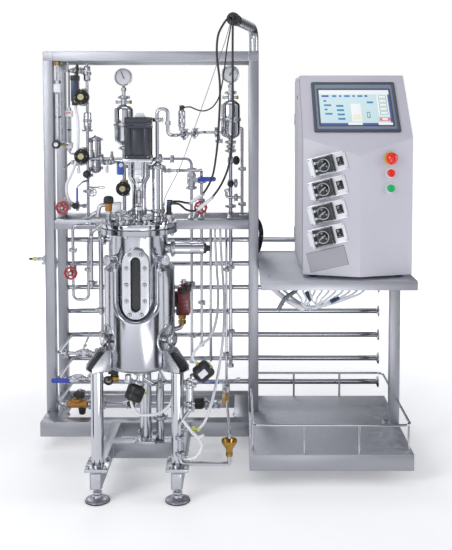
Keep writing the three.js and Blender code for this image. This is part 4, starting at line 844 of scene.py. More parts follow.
def makeTray():
    b = Build()
    foldedPan(b, tray["left"], tray["right"], tray["front"], tray["back"], tray["low"], tray["top"],
              tray["sheet"])
    for x, y in foot["trayPlaces"]:
        b.block((x - 25, y - 25, tray["low"]), (tray["right"] - 2, y + 25, tray["top"] - 3.5), "brushedY", 2)
        levellingFoot(b, x, y, tray["low"])
    x0, x1 = tray["left"] + guard["inset"], tray["right"] - guard["inset"]
    y0, y1 = tray["front"] + guard["inset"], tray["back"] - guard["inset"]
    z, r, c = guard["height"], guard["rod"], guard["corner"]
    middle = (x0 + x1) / 2
    (gap0, gap1), (post0, post1), stop = guard["leftGap"], guard["postGap"], guard["stop"]
    b.tube([(stop, y1, z), (x0, y1, z), (x0, gap1, z)], r, "polished", c)
    b.tube([(x0, gap0, z), (x0, y0, z), (middle, y0, z), (x1, y0, z), (x1, post0 - 1, z)], r, "polished", c)
    b.tube([(x1, post1 + 1, z), (x1, y1, z), (stop - 1, y1, z)], r, "polished", c)
    for third in (1, 2):
        x = tray["left"] + (tray["right"] - tray["left"]) * third / 3
        for y in (y0, y1):
            b.bar((x, y, tray["top"] - 1), (x, y, z - 1), r, "polished", 16)
            b.ring((x, y, tray["top"] + 0.4), axisZ, r + 0.4, 1.4, "satin", 20, 8)
    for x in (x0, x1):
        b.bar((x, y0 + c + 8, tray["top"] - 1), (x, y0 + c + 8, z - 1), r, "polished", 16)
        b.ring((x, y0 + c + 8, tray["top"] + 0.4), axisZ, r + 0.4, 1.4, "satin", 20, 8)
    b.make("tray_pan", ["bottle_tray"])


makeTray()

shelf = {"left": 880, "right": 1444, "front": -453, "back": 243, "low": 717, "top": 752, "sheet": 3,
         "post": (1398, 1438, -151, -111)}


def makeShelf():
    b = Build()
    foldedPan(b, shelf["left"], shelf["right"], shelf["front"], shelf["back"], shelf["low"], shelf["top"],
              shelf["sheet"])
    x0, x1, y0, y1 = shelf["post"]
    b.block((x0, y0, tray["top"]), (x1, y1, shelf["top"] - 2), "brushedZ", 3)
    b.block((x0 - 22, y0 - 12, tray["top"] - 0.5), (x1, y1 + 12, tray["top"] + 4), "satin", 1)
    for y in (y0 - 4, y1 + 4):
        bolt(b, (x0 - 14, y, tray["top"] + 4), axisZ, 5, 4)
    b.block((x0 - 30, y0 + 4, shelf["top"] - 10), (x0 + 1, y1 - 4, shelf["top"] - 3), "satin", 1)
    for i in range(4):
        bolt(b, (shelf["left"] + 30, shelf["front"] + 60 + 24 * i, shelf["top"]), axisZ, 4, 2.5)
    b.make("shelf_pan", ["shelf_stand"])


makeShelf()
print("skid, frame, tray and shelf made")

header = {"y": 293, "radius": 11, "top": 794, "pitch": 107, "count": 7, "left": 12, "right": 1420, "rim": 25,
          "falls": ((196, 4), (232, 5), (428, 4), (674, 5)), "fallTop": 878}
branch = {"radius": 6.5, "x": 52, "front": -10}
headerHeights = [header["top"] - i * header["pitch"] for i in range(header["count"])]


def pipeClip(b, x, y, z, radius):
    # two-part black clip around a header pipe, screwed to its strap
    b.block((x - 9, y - radius - 8, z - radius - 7), (x + 9, y + radius + 3, z + radius + 7), "black", 3)
    for up in (-1, 1):
        bolt(b, (x, y + radius + 3, z + up * (radius + 3)), axisY, 2.6, 2)


def makeHeaders():
    b = Build()
    y, r = header["y"], header["radius"]
    for z in headerHeights:
        b.bar((header["left"], y, z), (header["right"] - 2, y, z), r, "polished", 28)
        b.turned([(0, 0), (r, 0), (r + 1, 2), (header["rim"] - 3, 5), (header["rim"], 6.5),
                  (header["rim"], 10.5), (r - 1, 10.5), (r - 2, 4), (0, 4)], "polished",
                 standing((header["right"] - 6.5, y, z), (header["right"] + 4, y, z)), 36)
        domeCap(b, (header["left"] + 1, y, z), -axisX, r, 5)
        for x in (20, upright["length"] - 20):
            pipeClip(b, x, y, z, r)
    for x in (5, upright["length"] - 35):
        b.block((x, skid["back"], headerHeights[-1] - 20),
                (x + 30, skid["back"] + 4, headerHeights[0] + 20), "brushedZ", 1)
    z = headerHeights[1]
    b.bar((16, y, z), (-20, y, z), r, "polished", 28)
    clamp(b, (-20, y, z), axisX, 12, axisZ)
    b.hexBar((-28, y, z), (-42, y, z), 12, "satin")
    b.turned([(6, 0), (6.5, 3), (5, 6), (6.5, 9), (5, 12), (6.5, 15), (5, 18), (6, 22), (6, 40), (3, 42),
              (0, 42)], "satin", standing((-41, y, z), (-83, y, z)), 22, 0.3)
    b.bar((-40, y, z), (-48, y, z), 9, "brass", 24, 1)
    # pipes that fall from the middle rail to a header pipe
    top, back = header["fallTop"], upright["depth"] - 46
    for x, line in header["falls"]:
        low = headerHeights[line]
        b.tube([(x, back, top + 1), (x, back, low), (x, y - r + 2, low)], 6, "tube", 20)
        nut(b, (x, back, top - 10), axisZ, 10, 14)
        b.ring((x, y - r - 1, low), axisY, 6.4, 2, "satin", 20, 8)
    b.make("header_pipes", ["header_rack"])


# by the header pipe that each starts from, the top one being 0
branches = {4: {"end": 230, "valve": 160}, 5: {"end": 300, "valve": 132}, 6: {"end": 740, "valve": 130}}
branchEnd = {"lever": 352, "clamps": (470, 560), "trap": (654, 612), "ball": 704}


def makeBranches():
    b = Build()
    r, front = branch["radius"], branch["front"]
    for i, line in branches.items():
        z = headerHeights[i]
        b.tube([(branch["x"], header["y"] - 8, z), (branch["x"], front, z), (line["end"], front, z)], r,
               "tube", 18)
        domeCap(b, (line["end"] - 1, front, z), axisX, r, 4)
        b.ring((branch["x"], header["y"] - header["radius"] - 0.5, z), axisY, r + 0.6, 2, "satin", 20, 8)
        clamp(b, (branch["x"] + 34, front, z), axisX, r, -axisY)
        clamp(b, (line["valve"] + 52, front, z), axisX, r, axisZ)
    z4, z5, z6 = headerHeights[4], headerHeights[5], headerHeights[6]
    x = branches[4]["valve"]
    ballBody(b, (x, front, z4), axisX, 9, axisZ)
    b.bar((x, front, z4 + 12), (x, front, z4 + 34), 4, "satin", 16)
    handle(b, (x, front, z4 + 33), (0.45, -0.2, 1), (0.6, 0.3, -0.2), 62, 15, "satin")
    x = branches[5]["valve"]
    ballBody(b, (x, front, z5), axisX, 9, -axisY)
    b.bar((x, front - 14, z5), (x, front - 30, z5), 4, "satin", 16)
    x = branches[5]["end"] - 15
    b.bar((x - 17, front, z5), (x + 17, front, z5), 15, "brass", 24, 2)
    nut(b, (x - 23, front, z5), axisX, 11, 12, "brass")
    solenoid(b, (x, front, z5 + 10), 36, 15)
    # pressure reducer with its coil above and its knob below
    x = branches[6]["valve"]
    b.bar((x - 30, front, z6), (x + 30, front, z6), 16, "ochre", 26, 3)
    for side in (x - 34, x + 34):
        b.hexBar((side - 7, front, z6), (side + 7, front, z6), 18, "ochre")
    b.turned([(0, 0), (17, 0), (21, 6), (21, 12), (15, 16), (0, 16)], "ochre", moved(x, front, z6 + 8), 26)
    solenoid(b, (x + 12, front, z6 + 22), 40, 17)
    b.turned([(0, 0), (14, 0), (16, 4), (13, 26), (6, 30), (0, 30)], "black",
             standing((x + 20, front, z6 - 14), (x + 20, front, z6 - 44)), 24)
    clamp(b, (240, front, z6), axisX, r, axisZ)
    x = branchEnd["lever"]
    ballBody(b, (x, front, z6), axisX, 9, axisZ)
    b.bar((x, front, z6 + 12), (x, front, z6 + 30), 4, "satin", 14)
    handle(b, (x, front, z6 + 29), (1, 0.1, 0.25), axisZ, 50, 12, "satin")
    for x in branchEnd["clamps"]:
        clamp(b, (x, front, z6), axisX, r, axisZ)
    near, far = branchEnd["trap"]
    b.turned([(0, 0), (19, 0), (24, 8), (24, 34), (18, 42), (0, 42)], "black",
             standing((near, front, z6 + 3), (far, front, z6 + 3)), 30)
    clamp(b, (near + 10, front, z6), axisX, r + 2, axisZ)
    x = branchEnd["ball"]
    ballBody(b, (x, front, z6), axisX, 9, -axisY)
    handle(b, (x, front - 24, z6), (0.8, 0, 0.6), -axisY, 40, 12, "satin")
    b.bar((x, front - 12, z6), (x, front - 30, z6), 4, "satin", 14)
    b.make("branch_lines", ())


makeHeaders()
makeBranches()
print("header pipes made")

vessel = {"x": 447, "y": -474, "radius": 100, "wall": 4, "dish": 452, "bottom": 500, "flange": 933,
          "top": 951, "rim": 135, "sightZ": 765, "slot": (34, 190), "pad": (92, 242), "padFront": -579,
          "sidePorts": (-62, 62), "sideZ": 562, "shoulders": (-48, 48), "shoulderZ": 846, "welds": (500, 716)}
jacket = {"radius": 125, "inner": 100.4, "low": 469, "dish": 30, "high": 805, "cone": 825, "bore": 13.4,
          "pocketHalf": 75, "pocketZ": 702, "opening": 52, "rim": 11.5}


def aboutVessel(azimuth, reach, z=0):
    angle = math.radians(azimuth)
    return Vector((vessel["x"] + reach * math.sin(angle), vessel["y"] - reach * math.cos(angle), z))


def atVessel(z=0):
    return moved(vessel["x"], vessel["y"], z)


def dish(radius, low, high, first=0):
    # an elliptical dished end, from near the axis out to the wall
    steps = 9
    turns = [first + (math.pi / 2 - first) * i / steps for i in range(steps + 1)]
    return [(radius * math.sin(a), high - (high - low) * math.cos(a)) for a in turns]


def frontSlot(width, height, y, depth):
    # a stadium-shaped cutter through the front of the vessel, from y backwards
    tool = Build()
    tool.plate([stadium(width, height, 14)], depth, "satin",
               facing((vessel["x"], y + depth, vessel["sightZ"]), axisX, axisZ), 0.05)
    return tool


def makeVessel():
    r, wall, x = vessel["radius"], vessel["wall"], vessel["x"]
    b = Build()
    outer = dish(r, vessel["dish"], vessel["bottom"])
    outer += [(r, 922), (r + 4, 930), (vessel["rim"] - 1, vessel["flange"]),
              (vessel["rim"], vessel["flange"] + 1), (vessel["rim"], vessel["top"] - 1),
              (vessel["rim"] - 1, vessel["top"]), (r - wall, vessel["top"])]
    inner = dish(r - wall, vessel["dish"] + wall, vessel["bottom"])
    b.turned(outer + list(reversed(inner)), "drum", atVessel(), 96, 0)
    b.carve(frontSlot(*vessel["slot"], -596, 90))
    pad = Build()
    pad.plate([stadium(*vessel["pad"], 14), stadium(*vessel["slot"], 14)], 20, "satin",
              facing((x, vessel["padFront"] + 20, vessel["sightZ"]), axisX, axisZ), 1)
    hollow = Build()
    hollow.bar((x, vessel["y"], 500), (x, vessel["y"], 920), r - wall + 1, "satin", 64, 0)
    pad.carve(hollow)
    b.join(pad)
    for z in vessel["welds"]:
        b.ring((x, vessel["y"], z), axisZ, r - 0.4, 1.3, "satin", 80, 6)
    for azimuth in vessel["sidePorts"]:
        z, out = vessel["sideZ"], aboutVessel(azimuth, 1) - aboutVessel(azimuth, 0)
        b.bar(aboutVessel(azimuth, r - 2, z), aboutVessel(azimuth, 134, z), 16, "polished", 32)
        clamp(b, aboutVessel(azimuth, 137, z), out, 16, axisZ)
        b.bar(aboutVessel(azimuth, 141, z), aboutVessel(azimuth, 146, z), 15, "satin", 32)
        b.ring(aboutVessel(azimuth, r + 2, z), out, 16.4, 2, "satin", 32, 8)
    for azimuth in vessel["shoulders"]:
        z, out = vessel["shoulderZ"], aboutVessel(azimuth, 1) - aboutVessel(azimuth, 0)
        b.bar(aboutVessel(azimuth, r - 2, z), aboutVessel(azimuth, 132, z), 14, "polished", 32)
        b.turned([(14, 0), (17, 3), (19, 5), (19, 8), (17, 9), (17, 10), (12, 11), (0, 11)], "satin",
                 standing(aboutVessel(azimuth, 130, z), aboutVessel(azimuth, 140, z)), 32)
        b.ring(aboutVessel(azimuth, r + 2, z), out, 14.4, 2, "satin", 32, 8)
    b.bar(aboutVessel(90, r - 2, 874), aboutVessel(90, 113.7, 874), 17, "polished", 32)
    b.turned([(13, 428), (15, 430), (15, 433), (13, 436), (12.6, 446), (14, 454)], "polished", atVessel(), 32)
    for i in range(12):
        angle = 2 * math.pi * (i + 0.5) / 12
        at = Vector((x + 123 * math.cos(angle), vessel["y"] + 123 * math.sin(angle), vessel["flange"]))
        b.hexBar(at, at - axisZ * 8, 7, "satin")
        b.bar(at - axisZ * 8, at - axisZ * 11, 3.6, "satin", 12)
    b.make("vessel_wall", ["vessel_shell"])


def pocketEdge(radius):
    # the upright edge of the jacket's sight pocket, bent round the vessel at this radius
    half, z = jacket["pocketHalf"], jacket["pocketZ"]
    flat = [(-half, jacket["cone"] + 8)] + [(-half, jacket["cone"] - 14 - i * 27) for i in range(4)]
    flat += [(half * math.cos(a), z + half * math.sin(a))
             for a in (math.pi * (1 + i / 26) for i in range(27))]
    flat += [(half, jacket["cone"] - 14 - i * 27) for i in (3, 2, 1, 0)] + [(half, jacket["cone"] + 8)]
    reach = [radius - (17 if height > jacket["cone"] else 0) for _, height in flat]
    return [Vector((vessel["x"] + s, vessel["y"] - math.sqrt(r * r - s * s), height))
            for (s, height), r in zip(flat, reach)]


def makeJacket():
    r, inner, half = jacket["radius"], jacket["inner"], jacket["pocketHalf"]
    b = Build()
    first = math.asin(jacket["bore"] / r)
    outline = dish(r, jacket["low"] - jacket["dish"], jacket["low"], first)
    outline += [(r, jacket["high"]), (inner, jacket["cone"])]
    outline += list(reversed(dish(inner, vessel["dish"] - 0.5, vessel["bottom"],
                                  math.asin(jacket["bore"] / inner))))
    b.turned(outline, "drum", atVessel(), 96, 0, True)
    tools = []
    pocket = Build()
    shape = [(half, 900), (-half, 900)]
    shape += [(half * math.cos(a), jacket["pocketZ"] + half * math.sin(a))
              for a in (math.pi * (1 + i / 20) for i in range(21))]
    pocket.plate([shape], 190, "polished", facing((vessel["x"], -500, 0), axisX, axisZ), 0.05)
    tools.append(pocket)
    for azimuth in vessel["sidePorts"]:
        bore = Build()
        bore.bar(aboutVessel(azimuth, 60, vessel["sideZ"]), aboutVessel(azimuth, 170, vessel["sideZ"]),
                 jacket["opening"], "polished", 40, 0)
        tools.append(bore)
    b.carve(*tools)
    b.sweep(pocketEdge(r - 11), jacket["rim"], "polished", 20)
    for azimuth in vessel["sidePorts"]:
        reach = jacket["opening"] + 1
        rim = []
        for c, s in ringPoints(40):
            turn = math.degrees(math.asin(c * reach / (r - 3)))
            rim.append(aboutVessel(azimuth + turn, r - 3, vessel["sideZ"] + s * reach))
        b.sweep(rim + rim[:1], 5, "polished", 12)
        # the well's lining, from the vessel's wall out to the rim
        edge = jacket["opening"]
        b.turned([(17, 0), (edge - 7, 1.5), (edge - 1.5, 6), (edge + 0.4, 10.5), (edge - 1, 10.5),
                  (edge - 3, 7), (edge - 8, 3), (17, 1.6)], "satin",
                 standing(aboutVessel(azimuth, 101, vessel["sideZ"]),
                          aboutVessel(azimuth, 130, vessel["sideZ"])), 48, 0.4, True)
    for z in (jacket["low"] + 2, 640):
        start = 0 if z < 500 else 44
        arc = [aboutVessel(a, r - 0.4, z) for a in range(start, 361 - start, 6)]
        b.sweep(arc, 1.2, "satin", 6)
    b.bar(aboutVessel(-18, 100, 446), aboutVessel(-18, 100, 424), 11, "satin", 20)
    b.hexBar(aboutVessel(-18, 100, 430), aboutVessel(-18, 100, 421), 14, "satin")
    b.make("jacket_skin", ["heating_jacket"])


def makeSightGlass():
    b = Build()
    x, z, back = vessel["x"], vessel["sightZ"], vessel["padFront"] - 0.3
    b.plate([stadium(*vessel["pad"], 16), stadium(vessel["slot"][0], vessel["slot"][1], 16)], 12.7, "satin",
            facing((x, back, z), axisX, axisZ), 1.6)
    for dx, dz in ((31.5, 57), (31.5, 0), (21, 104)):
        for sx in (-1, 1):
            for sz in ((-1, 1) if dz else (1,)):
                at = Vector((x + sx * dx, back - 12.5, z + sz * dz))
                # painted shade: a black disc behind each bolt head rings it with dark, and another at the
                # foot of its socket darkens the recess
                b.bar(at, at - axisY * 0.6, 7.4, "black", 20, 0)
                bolt(b, at, -axisY, 5.6, 5, "polished")
                b.bar(at - axisY * 1.7, at - axisY * 2, 2.8, "black", 6, 0)
    b.make("sight_frame", ["sight_glass_frame"])
    g = Build()
    g.plate([stadium(49, 205, 16)], 4.4, "sightGlass",
            facing((x, vessel["padFront"] + 4.7, z), axisX, axisZ), 0.6)
    g.make("sight_pane", ["sight_glass"])


# faces of a six-sided body whose first four corners face its last four
sixSides = [(0, 1, 2, 3), (7, 6, 5, 4), (0, 4, 5, 1), (1, 5, 6, 2), (2, 6, 7, 3), (3, 7, 4, 0)]
legs = {"left": (-140, -88), "right": (140, -88), "rear": (0, 166)}
leg = {"radius": 22, "low": 115, "foot": (40, 50), "feetBolts": (30, 38), "top": 457, "bracketHalf": 30,
       "bracketReach": 195, "crown": 531, "knee": 475}


def makeLegs():
    for name, (dx, dy) in legs.items():
        b = Build()
        x, y = vessel["x"] + dx, vessel["y"] + dy
        (footX, footY), (boltX, boltY), low = leg["foot"], leg["feetBolts"], leg["low"]
        b.block((x - footX, y - footY, low + 0.2), (x + footX, y + footY, low + 12), "satin", 1.5)
        for atX in (x - boltX, x + boltX):
            for atY in (y - boltY, y + boltY):
                b.hexBar((atX, atY, low + 12), (atX, atY, low + 19), 8, "satin")
                b.bar((atX, atY, low + 18), (atX, atY, low + 23), 4, "satin", 14)
        b.bar((x, y, low + 11), (x, y, leg["top"]), leg["radius"], "polished", 40)
        b.ring((x, y, low + 12), axisZ, leg["radius"] + 0.5, 2, "satin", 36, 8)
        out = unit((dx, dy, 0))
        place = facing((vessel["x"], vessel["y"], 0), out, axisZ)
        knee, reach, half = jacket["radius"] + 18, leg["bracketReach"], leg["bracketHalf"]
        wall, top = jacket["radius"] - 1, leg["top"]
        side = [(wall, top), (reach, top), (reach, leg["knee"]), (knee, leg["crown"]), (wall, leg["crown"])]
        for at in (-half, half - 4):
            b.plate([side], 4, "satin", place @ moved(0, 0, at), 0.8)
        floor = [(wall, top), (reach, top), (reach, top + 4), (wall, top + 4)]
        b.prism([place @ Vector((u, z, s)) for s in (-half, half) for u, z in floor], sixSides, "satin", 0.8)
        # painted shade: a black slab just under the bracket's sloping top edge stands in for the shade inside
        # the open bracket
        shadeSlab = [(reach - 6, leg["knee"] - 10), (reach - 4, leg["knee"] - 8), (knee - 2, leg["crown"] - 16),
               (knee - 4, leg["crown"] - 18)]
        b.prism([place @ Vector((u, z, s)) for s in (-half + 4, half - 4) for u, z in shadeSlab], sixSides,
                "black", 0.3)
        for i in range(3):
            bolt(b, place @ Vector((reach - 22 - 18 * i, top + 5, 0)), axisZ, 4.6, 4)
        b.make(f"leg_{name}_tube", [f"vessel_leg_{name}"])


headPorts = ((-60, 70, 14, 34), (-20, 92, 12, 26), (20, 92, 12, 26), (140, 98, 14, 34), (-120, 88, 14, 30))
head = {"low": 953, "top": 971, "rim": 135, "boltRing": 124, "safety": (-88, 108), "probes": (75, 115),
        "probeRing": 112}


def makeHead():
    b = Build()
    x, y, top, rim = vessel["x"], vessel["y"], head["top"], head["rim"]
    b.turned([(rim - 8, vessel["top"] + 0.1), (rim - 1.5, vessel["top"] + 0.1),
              (rim - 1.5, head["low"] - 0.1), (rim - 8, head["low"] - 0.1)], "rubber", atVessel(), 80, 0,
             True)
    b.turned([(15, head["low"]), (rim - 2, head["low"]), (rim, head["low"] + 2), (rim, top - 3),
              (rim - 3, top), (86, top), (84, top + 1.5), (34, top + 1.5), (32, top), (15, top)],
             "polished", atVessel(), 96, 0.3, True)
    for i in range(8):
        angle = math.radians(22.5 + 45 * i)
        at = Vector((x + head["boltRing"] * math.cos(angle), y + head["boltRing"] * math.sin(angle), top))
        b.turned([(0, 0), (8, 0), (8, 1.6), (4, 1.6), (0, 1.6)], "satin", Matrix.Translation(at), 20, 0.3)
        b.hexBar(at + axisZ * 1.6, at + axisZ * 9, 7, "satin")
        b.bar(at + axisZ * 8, at + axisZ * 14, 3.8, "satin", 14)
    for azimuth, ring, radius, height in headPorts:
        foot = aboutVessel(azimuth, ring, top)
        b.bar(foot - axisZ, foot + axisZ * (height - 6), radius, "polished", 28)
        b.ring(foot + axisZ * 1.5, axisZ, radius + 0.4, 1.8, "satin", 28, 8)
        clamp(b, foot + axisZ * (height - 5), axisZ, radius - 1,
              aboutVessel(azimuth + 40, 1) - aboutVessel(azimuth, 0.4))
        b.bar(foot + axisZ * (height + 3), foot + axisZ * (height + 5), radius - 1.5, "satin", 28)
    for azimuth in head["probes"]:
        foot = aboutVessel(azimuth, head["probeRing"], top)
        b.bar(foot - axisZ, foot + axisZ * 18, 11, "polished", 24)
        b.hexBar(foot + axisZ * 12, foot + axisZ * 26, 12.5, "satin")
        b.bar(foot + axisZ * 25, foot + axisZ * 52, 9, "black", 24, 1.5)
        for i in range(6):
            b.ring(foot + axisZ * (30 + 3.4 * i), axisZ, 8.8, 0.7, "black", 22, 6)
        b.bar(foot + axisZ * 52, foot + axisZ * 71, 7.6, "navy", 22, 1.5)
        elbow = foot + axisZ * 65
        b.bar(elbow, elbow + axisX * 12, 6, "rubber", 18, 1)
    azimuth, ring = head["safety"]
    foot = aboutVessel(azimuth, ring, top)
    b.bar(foot - axisZ, foot + axisZ * 26, 8, "satin", 22)
    b.hexBar(foot + axisZ * 24, foot + axisZ * 36, 11, "satin")
    b.turned([(0, 36), (12, 36), (13.5, 38), (13.5, 46), (11.5, 48), (11.5, 52), (14, 54), (14, 64),
              (0, 64)], "ochre", Matrix.Translation(foot), 30, 0.6)
    b.hexBar(foot + axisZ * 47, foot + axisZ * 53, 13.5, "ochre")
    b.turned([(0, 63), (16, 63), (17.5, 66), (17.5, 80), (15, 87), (8, 90), (0, 90)], "black",
             Matrix.Translation(foot), 30, 0.8)
    for c, s in ringPoints(14):
        b.bar(foot + Vector((17 * c, 17 * s, 66)), foot + Vector((17 * c, 17 * s, 81)), 1.2, "black", 6, 0.3)
    b.tube([foot + axisZ * 58, foot + Vector((-31, -4, 58)), foot + Vector((-38, -6, 18))], 7.5, "satin", 14)
    b.bar(foot + Vector((-37, -6, 26)), foot + Vector((-38.5, -6, 16)), 9.5, "satin", 22)
    b.bar(foot + Vector((30, 2, 8)), foot + Vector((30, 2, 24)), 6, "satin", 18)
    b.block((16, -8, 24), (44, 12, 66), "white", 3, Matrix.Translation(foot))
    b.block((14, -10, 60), (46, 14, 68), "clear", 2, Matrix.Translation(foot))
    for sign in (-1, 1):
        grip = aboutVessel(sign * 163, 104, top)
        along = aboutVessel(sign * 163 + 90, 22) - aboutVessel(0, 0)
        b.tube([grip - along, grip - along + axisZ * 26, grip + along + axisZ * 26, grip + along], 4,
               "polished", 9)
    b.make("head_cover", ["head_plate"])


drive = {"low": 971.4, "top": 1183, "window": (1023, 1091), "plateZ": (1182.4, 1194), "plate": 102,
         "motor": (1194.2, 1339), "width": 92, "chamfer": 12, "cap": 18}


def makeDrive():
    b = Build()
    x, y = vessel["x"], vessel["y"]
    low, top = drive["low"], drive["top"]
    b.turned([(17, low), (40, low), (41, low + 1), (41, low + 8), (40, low + 9), (27, low + 10), (27, 1009),
              (29, 1010), (29, 1015), (26, 1017), (26, 1103), (28, 1108), (37, 1124), (39, 1130),
              (39, top - 0.5), (33, top - 0.5), (33, 1132), (20, 1104), (20, 1012), (17, 1008)], "polished",
             atVessel(), 48, 0.2, True)
    tools = []
    for turn in (0, 90):
        tool = Build()
        z0, z1 = drive["window"]
        across = Matrix.Rotation(math.radians(turn), 4, "Z")
        tool.block((-11, -60, z0), (11, 60, z1), "polished", 3, atVessel() @ across)
        tools.append(tool)
    b.carve(*tools)
    for c, s in ringPoints(6):
        bolt(b, (x + 35 * c, y + 35 * s, low + 9), axisZ, 4.2, 4)
    half, (z0, z1) = drive["plate"] / 2, drive["plateZ"]
    b.block((x - half, y - half, z0), (x + half, y + half, z1 - 0.3), "satin", 2)
    for sx, sy in fourCorners:
        b.hexBar((x + sx * 40, y + sy * 40, z0), (x + sx * 40, y + sy * 40, z0 - 7), 6, "satin")
        b.bar((x + sx * 40, y + sy * 40, z0 - 6), (x + sx * 40, y + sy * 40, z0 - 12), 3, "satin", 12)
    for z in (1140, 1158):
        b.ring((x, y, z), axisZ, 38.6, 1, "satin", 40, 6)
    b.make("drive_tower", ["drive_housing"])


def makeMotor():
    b = Build()
    x, y, c = vessel["x"], vessel["y"], drive["chamfer"]
    low, top = drive["motor"]
    half = drive["width"] / 2
    octagon = [(half, -half + c), (half, half - c), (half - c, half), (-half + c, half), (-half, half - c),
               (-half, -half + c), (-half + c, -half), (half - c, -half)]
    b.plate([octagon], 12, "motor", atVessel(low), 1.2)
    b.plate([octagon], 10, "motor", atVessel(low + 106), 1.2)
    b.plate([[(u * 0.98, v * 0.98) for u, v in octagon]], top - drive["cap"] - low - 117, "motor",
            atVessel(low + 117), 1)
    b.plate([octagon], drive["cap"], "motor", atVessel(top - drive["cap"]), 2)
    b.plate([rectangle(drive["width"] - 13, drive["width"] - 13, 8, 4)], 96, "motor", atVessel(low + 11), 0.5)
    for turn in range(4):
        side = atVessel(low) @ Matrix.Rotation(math.pi / 2 * turn, 4, "Z")
        b.block((-16, half - 10, 11), (16, half - 4.4, 100), "motor", 2.4, side)
        for across in (-1, 1):
            b.block((across * 32 - 9, half - 10, 11), (across * 32 + 9, half - 1.6, 107), "motor", 2.4, side)
            bolt(b, side @ Vector((across * (half - 15), half - 15, top - low - 0.5)), axisZ, 3.6, 1.4)
            bolt(b, side @ Vector((across * (half - 9), half - 0.4, 6)), side.to_3x3() @ axisY, 2.6, 1)
    b.block((x - 14, y - 12, top), (x + 22, y + 18, top + 6), "white", 2)
    b.prism([(x - 12, y - 10, top + 5), (x + 20, y - 10, top + 5), (x + 20, y + 16, top + 5),
             (x - 12, y + 16, top + 5), (x - 6, y - 7, top + 15), (x + 16, y - 7, top + 15),
             (x + 16, y + 13, top + 15), (x - 6, y + 13, top + 15)],
            [(0, 3, 2, 1), (4, 5, 6, 7), (0, 1, 5, 4), (1, 2, 6, 5), (2, 3, 7, 6), (3, 0, 4, 7)], "white",
            1.5)
    b.make("motor_body", ["drive_motor"])


impeller = {"heights": (535, 705), "hub": (11, 9), "disc": 26, "blades": 6, "blade": (18, 2.4, 16), "at": 27}


def makeAgitator():
    b = Build()
    x, y = vessel["x"], vessel["y"]
    b.bar((x, y, 515), (x, y, 1193), 6, "polished", 24)
    b.bar((x, y, 1034), (x, y, 1080), 13, "satin", 28, 1.5)
    b.ring((x, y, 1057), axisZ, 12.6, 1, "black", 28, 6)
    for z in impeller["heights"]:
        radius, half = impeller["hub"]
        b.bar((x, y, z - half), (x, y, z + half), radius, "polished", 28, 1)
        b.bar((x, y, z - 1.5), (x, y, z + 1.5), impeller["disc"], "polished", 40, 0.4)
        length, thick, tall = impeller["blade"]
        for i in range(impeller["blades"]):
            turn = atVessel(z) @ Matrix.Rotation(math.radians(60 * i), 4, "Z")
            b.block((impeller["at"] - length / 2, -thick / 2, -tall / 2),
                    (impeller["at"] + length / 2, thick / 2, tall / 2), "polished", 0.4, turn)
    b.make("stirrer", ["agitator"], "agitator")


makeVessel()
makeJacket()
makeSightGlass()
makeLegs()
makeHead()
makeDrive()
makeMotor()
makeAgitator()
print("vessel, head and drive made")

condenser = {"x": 511, "y": -462, "nozzleZ": 1150, "returnX": 545.3}


def makeCondenser():
    b = Build()
    x, y = condenser["x"], condenser["y"]
    b.turned([(0, 971.4), (24, 971.4), (24, 975), (21, 978), (21, 981), (24, 984), (24, 986), (19, 990),
              (19, 1163), (17, 1171), (10, 1177), (7, 1180), (0, 1180)], "polished", moved(x, y), 44)
    clamp(b, (x, y, 979), axisZ, 15, axisX)
    clamp(b, (x, y, 1006), axisZ, 15, Vector((0.4, -1, 0)))
    clamp(b, (x, y, 1162), axisZ, 16, Vector((-1, -0.4, 0)))
    b.bar((x + 17, y, condenser["nozzleZ"]), (x + 34, y, condenser["nozzleZ"]), 5, "tube", 20)
    nut(b, (x + 28, y, condenser["nozzleZ"]), axisX, 9, 10)
    b.bar((x + 18, y, 1030), (x + 26, y, 1030), 6, "satin", 18)
    b.make("condenser_body", ["condenser"])


exhaustRun = [(511, -462, 1180.4), (511, -462, 1369), (549, -462, 1369), (549, -462, 1275), (579, -442, 1275),
              (648.7, 140, 1275), (688.7, 140, 1275)]


def makeExhaust():
    b = Build()
    b.tube(exhaustRun, 6, "tube", 17)
    clamp(b, (511, -462, 1190), axisZ, 7, axisX)
    clamp(b, (511, -462, 1330), axisZ, 7, axisX)
    nut(b, (549, -462, 1318), axisZ, 10, 14)
    for share in (0.25, 0.62):
        at = Vector(exhaustRun[4]).lerp(Vector(exhaustRun[5]), share)
        clamp(b, at, Vector(exhaustRun[5]) - Vector(exhaustRun[4]), 7, axisZ)
    x, y, z = 593, -387, 1275
    b.bar((x, y, z), (x, y, z + 28), 5, "tube", 18)
    b.hexBar((x, y, z + 15), (x, y, z + 26), 10, "satin")
    b.turned([(0, 26), (10, 26), (12, 28), (12, 33), (13, 36), (13, 54), (12.4, 56), (12.4, 59), (13, 61),
              (13, 84), (11, 88), (8, 89), (8, 106), (6, 108), (0, 108)], "polished", moved(x, y, z), 32)
    b.bar((x, y, z + 89), (x, y, z + 106), 8.4, "rubber", 24)
    b.bar((x, y, z + 100), (x + 12, y, z + 100), 4, "rubber", 16)
    b.make("exhaust_run", ["exhaust_pipe"])


def makeSensor():
    b = Build()
    y, z = vessel["y"], 874
    along = standing((vessel["x"], y, z), (vessel["x"] + 1, y, z))
    b.turned([(12, 114.3), (22, 114.6), (25, 117), (25, 121.5), (22, 124), (21, 126), (21, 178),
              (20.4, 180), (20.4, 184), (21, 186), (21, 228), (19.5, 230.4), (12, 230.4)], "polished",
             along, 44, 0.5, True)
    clamp(b, (vessel["x"] + 119, y, z), axisX, 17, axisZ)
    b.turned([(0, 229), (18, 229.4), (19, 231), (19, 236), (11, 240), (10, 252), (0, 252.3)], "black",
             along, 36)
    b.hexBar((vessel["x"] + 238, y, z), (vessel["x"] + 246, y, z), 12, "black")
    b.make("side_sensor_body", ["side_sensor"])


